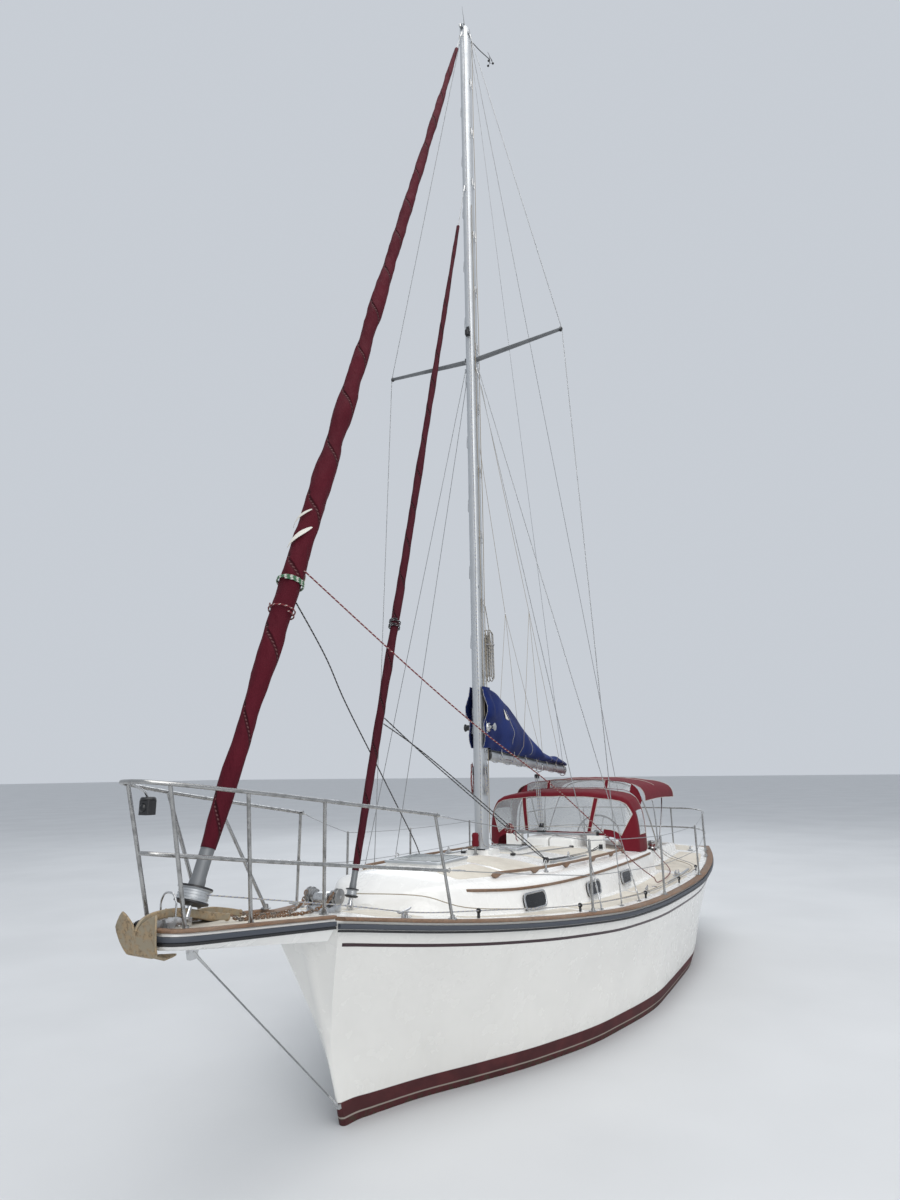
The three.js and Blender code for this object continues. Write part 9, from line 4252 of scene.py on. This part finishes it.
@dataclass
class Lines:
    """The sheets from the rolled headsails, the furling lines and the halyard's spare length."""

    def sheet(self, name: str, finish: Finish, radius: float, body: Body, knots: Sequence[Vector], free: float) -> None:
        """A sheet from a rolled sail down to the deck.

        Args:
            name: The name of the piece.
            finish: Its finish.
            radius: Its radius.
            body: The furler that its first end is wound on.
            knots: The points that it passes through.
            free: How far from its first end its bend reaches along it.
        """
        path = through(knots, 7)
        run = (knots[1] - knots[0]).normalized()
        bend = (body, Body.BOAT, knots[0], knots[0] + run * free)
        Piece(name, [finish], smooth=60, bend=bend).make(Form().tube(path, radius, 8))

    def genoa_sheets(self) -> None:
        """The red sheet to port and the dark one to starboard."""
        base = GENOA.stay.point(4.02)
        red = [
            base + Vector((0.0, 0.1, 0)),
            at(0.75, 0.42, 3.4),
            at(1.6, 0.72, 2.87),
            at(2.83, 1.0, 2.3),
            at(4.24, 1.3, 1.53),
            at(4.86, 1.42, 1.25),
        ]
        self.sheet("red_genoa_sheet", RED_ROPE, 0.006, Body.GENOA, red, 0.5)
        lead = [
            at(4.86, 1.42, 1.25),
            over_deck(4.98, 1.43),
            over_deck(5.6, 1.42),
            over_deck(6.3, 1.3),
            at(6.6, 1.06, 1.36),
            at(6.85, 0.99, coaming_top(6.85) + 0.045),
        ]
        Piece("red_sheet_lead", [RED_ROPE], smooth=60).make(Form().tube(through(lead, 6), 0.006, 8))
        dark = [
            base + Vector((0.01, -0.1, -0.04)),
            at(0.45, -0.2, 3.5),
            at(0.95, -0.31, 3.1),
            at(1.9, -0.45, 2.33),
            at(2.8, -0.64, 1.66),
            at(3.35, -1.02, 1.44),
            at(3.75, -1.3, 1.22),
        ]
        self.sheet("dark_genoa_sheet", DARK_ROPE, 0.006, Body.GENOA, dark, 0.5)
        lead = [
            at(3.75, -1.3, 1.22),
            over_deck(4.3, -1.36),
            over_deck(5.4, -1.42),
            over_deck(6.3, -1.3),
            at(6.6, -1.06, 1.36),
            at(6.85, -0.99, coaming_top(6.85) + 0.045),
        ]
        Piece("dark_sheet_lead", [DARK_ROPE], smooth=60).make(Form().tube(through(lead, 6), 0.006, 8))

    def staysail_sheets(self) -> None:
        """The pair of dark sheets to the block on the port side of the roof, and on aft."""
        base = STAYSAIL.stay.point(3.95)
        for k, lift in enumerate((0.0, 0.035)):
            knots = [
                base + Vector((-0.01, 0.045, -0.05 - 0.05 * k)),
                at(1.5, 0.18, 2.66 + lift * 0.5),
                at(2.3, 0.44, 2.13 + lift),
                at(2.9, 0.64, 1.735 + lift),
                at(3.08, 0.7, 1.625 + lift * 0.3),
            ]
            knots[0] = STAYSAIL.stay.point(2.98 - 0.05 * k) + Vector((-0.01, 0.045, 0))
            self.sheet(f"staysail_sheet_{k + 1}", DARK_ROPE, 0.0055, Body.STAYSAIL, knots, 0.35)
        form = Form()
        for k in range(2):
            y = 0.7 + 0.03 * k
            path = [
                at(3.08, y, 1.63),
                at(3.2, y + 0.002, roof_z(3.2, y) + 0.03),
                at(3.9, y - 0.02, roof_z(3.9, y) + 0.008),
                at(4.8, y - 0.05, roof_z(4.8, y) + 0.008),
                at(5.26, y - 0.08, roof_z(5.26, y - 0.08) + 0.03),
            ]
            form.tube(through(path, 6), 0.0055, 7)
        for spot in (at(3.1, 0.715, roof_z(3.1, 0.71) + 0.034), at(5.3, 0.655, roof_z(5.3, 0.65) + 0.03)):
            form.lathe(disc(0.028, 0.022), spot, ACROSS, 18, mark=1)
            form.rod(spot - Vector((0, 0, 0.04)), spot, 0.012, 10, mark=2)
        Piece("staysail_sheet_leads", [DARK_ROPE, BLACK, CHROME], smooth=50).make(form)

    def lashings(self) -> None:
        """The red lashing that holds the staysail's sheets together, and the covered post by the mast's foot."""
        middle, run = at(2.59, 0.535, 1.952), (at(2.9, 0.64, 1.75) - at(2.3, 0.44, 2.145)).normalized()
        across = run.cross(UP).normalized()
        over = across.cross(run)
        turns = []
        for k in range(6 * 12 + 1):
            a, t = TAU * k / 12, k / 72
            wide = 0.026 + 0.01 * math.sin(3.1 * TAU * t)
            turns.append(
                middle + run * (0.06 * (t - 0.5)) + across * wide * math.cos(a) + over * (wide + 0.008) * math.sin(a)
            )
        loose = [
            turns[-1],
            turns[-1] + Vector((0, 0.02, -0.03)),
            turns[-1] + Vector((0.02, 0.03, -0.075)),
            turns[-1] + Vector((-0.01, 0.035, -0.1)),
        ]
        form = Form().tube(through(turns, 2), 0.0055, 7).tube(through(loose, 5), 0.005, 7)
        Piece("sheet_lashing", [RED_ROPE], smooth=60).make(form)
        post = Form()
        foot = at(2.87, 0.012, roof_z(2.87, 0) + 0.002)
        post.lathe(
            [(0.001, 0.0), (0.03, 0.0), (0.03, 0.012), (0.014, 0.016), (0.014, 0.1), (0.001, 0.1)],
            foot,
            UP,
            20,
            mark=1,
        )
        post.lathe(
            [
                (0.016, 0.085), (0.036, 0.088), (0.039, 0.12), (0.034, 0.16), (0.038, 0.2), (0.028, 0.222),
                (0.001, 0.228),
            ],
            foot,
            UP,
            22,
        )
        Piece("mast_foot_post", [CANVAS, DARK_STEEL], smooth=50).make(post)

    def furling_lines(self) -> None:
        """The furling lines from the drums back along the port deck through small fairleads."""
        form = Form()
        stops = [(s, gunwale(s)[0] - 0.13) for s in (1.25, 2.45, 3.9, 5.35, 6.6)]
        leads = [at(s, y, deck_z(s, y) + 0.055) for s, y in stops]
        drum = GENOA.stay.point(1.81) + Vector((-0.02, 0.088, 0))
        last = [at(7.0, 1.2, 1.28), at(7.16, 0.99, coaming_top(7.16) + 0.02)]
        form.tube(through([drum, at(0.1, 0.33, 1.6), at(0.7, 0.56, 1.475), *leads, *last], 7), 0.0045, 7)
        inner = STAYSAIL.stay.point(1.585) + Vector((-0.01, 0.04, 0))
        path = [
            inner,
            at(0.95, 0.46, 1.55),
            at(1.32, 0.76, 1.42),
            *[p + Vector((0, -0.05, -0.006)) for p in leads[1:]],
            at(6.95, 1.16, 1.27),
            at(7.18, 0.97, coaming_top(7.18) + 0.02),
        ]
        form.tube(through(path, 7), 0.004, 7, mark=1)
        for p in leads:
            form.lathe(
                [(0.016, -0.006), (0.021, -0.003), (0.021, 0.003), (0.016, 0.006), (0.0095, 0.003), (0.0095, -0.003)],
                p,
                AHEAD,
                14,
                mark=2,
            )
            form.block(
                (STEM_X - p.x - 0.012, STEM_X - p.x + 0.012), (p.y - 0.008, p.y + 0.008), (p.z - 0.058, p.z - 0.014), 2
            )
        Piece("furling_lines", [WHITE_ROPE, TAN_ROPE, BLACK], smooth=60).make(form)

    def spare_halyard(self) -> None:
        """The spare length of the main halyard, coiled and hung behind the mast."""
        radius, rounds = 0.0055, 7
        core = at(3.262, 0.03, 3.84)
        start = at(3.17, 0.052, 4.42)
        points = [start, start + Vector((-0.02, 0, -0.06)), start + Vector((-0.043, 0.004, -0.14))]
        for k in range(rounds):
            wide, tall = 0.044 + 0.01 * math.sin(1.9 * k), 0.235 + 0.035 * math.sin(2.7 * k)
            low, high = spaced(math.pi, 0, 7), spaced(0, math.pi, 7)
            ring = [(wide, tall * h) for h in (0.5, 0.0, -0.5)]
            ring += [(-wide * math.cos(a), -tall - wide * math.sin(a)) for a in low]
            ring += [(-wide, tall * h) for h in (-0.5, 0.0, 0.5)]
            ring += [(-wide * math.cos(a), tall + wide * math.sin(a)) for a in high]
            for i, (out, rise) in enumerate(ring):
                drift = 0.065 - 0.13 * (k + i / len(ring)) / rounds
                points.append(core + Vector((out, drift, rise)))
        tail = points[-1]
        points += [
            tail + Vector((0.002, -0.004, -0.12)),
            tail + Vector((0.0, -0.01, -0.34)),
            tail + Vector((-0.006, -0.014, -0.5)),
        ]
        path = through(points, 2)
        length = length_of(path)
        made = Piece("spare_halyard", [PALE_ROPE], smooth=60).make(Form().tube(path, radius, 8))
        LOG.info("spare_halyard: %.2f m", length)
        tie = [
            core + Vector((0.062 * math.sin(a), 0.005 + 0.078 * math.cos(a), 0.12 + 0.004 * k / 12))
            for k, a in ((k, TAU * k / 12) for k in range(30))
        ]
        Piece("halyard_tie", [WHITE_ROPE], smooth=60).make(Form().tube(through(tie, 2), 0.004, 6))

    def build(self) -> None:
        """Makes the lines."""
        self.genoa_sheets()
        self.staysail_sheets()
        self.lashings()
        self.furling_lines()
        self.spare_halyard()


def note_size(key: str, sizes: dict[str, list[list[float]]]) -> None:
    """Keeps the box of what is shown now."""
    low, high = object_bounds()
    sizes[key] = [list(low), list(high)]


def main() -> None:
    """Builds the yacht round its frame, assembly by assembly."""
    logging.basicConfig(level=logging.INFO, format="%(message)s")
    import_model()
    sizes: dict[str, list[list[float]]] = {}
    note_size("cad", sizes)
    Stage().build()
    deck = Deck()
    Hull().build()
    deck.build()
    Belt().build()
    GuardRails().build()
    BowPlatform().build()
    RoofFittings().build(deck)
    Hatches().build()
    build_tackle()
    Mast().build()
    StandingRigging().build()
    GENOA.build()
    STAYSAIL.build()
    Boom().build()
    SailCover().build()
    ClewGear().build()
    RunningRigging().build()
    Companionway().build()
    DeckGear().build()
    build_canvas()
    Cockpit().build()
    SteeringGear().build()
    BelowDeck().build()
    Lines().build()
    note_size("visual", sizes)


if __name__ == "__main__":
    main()
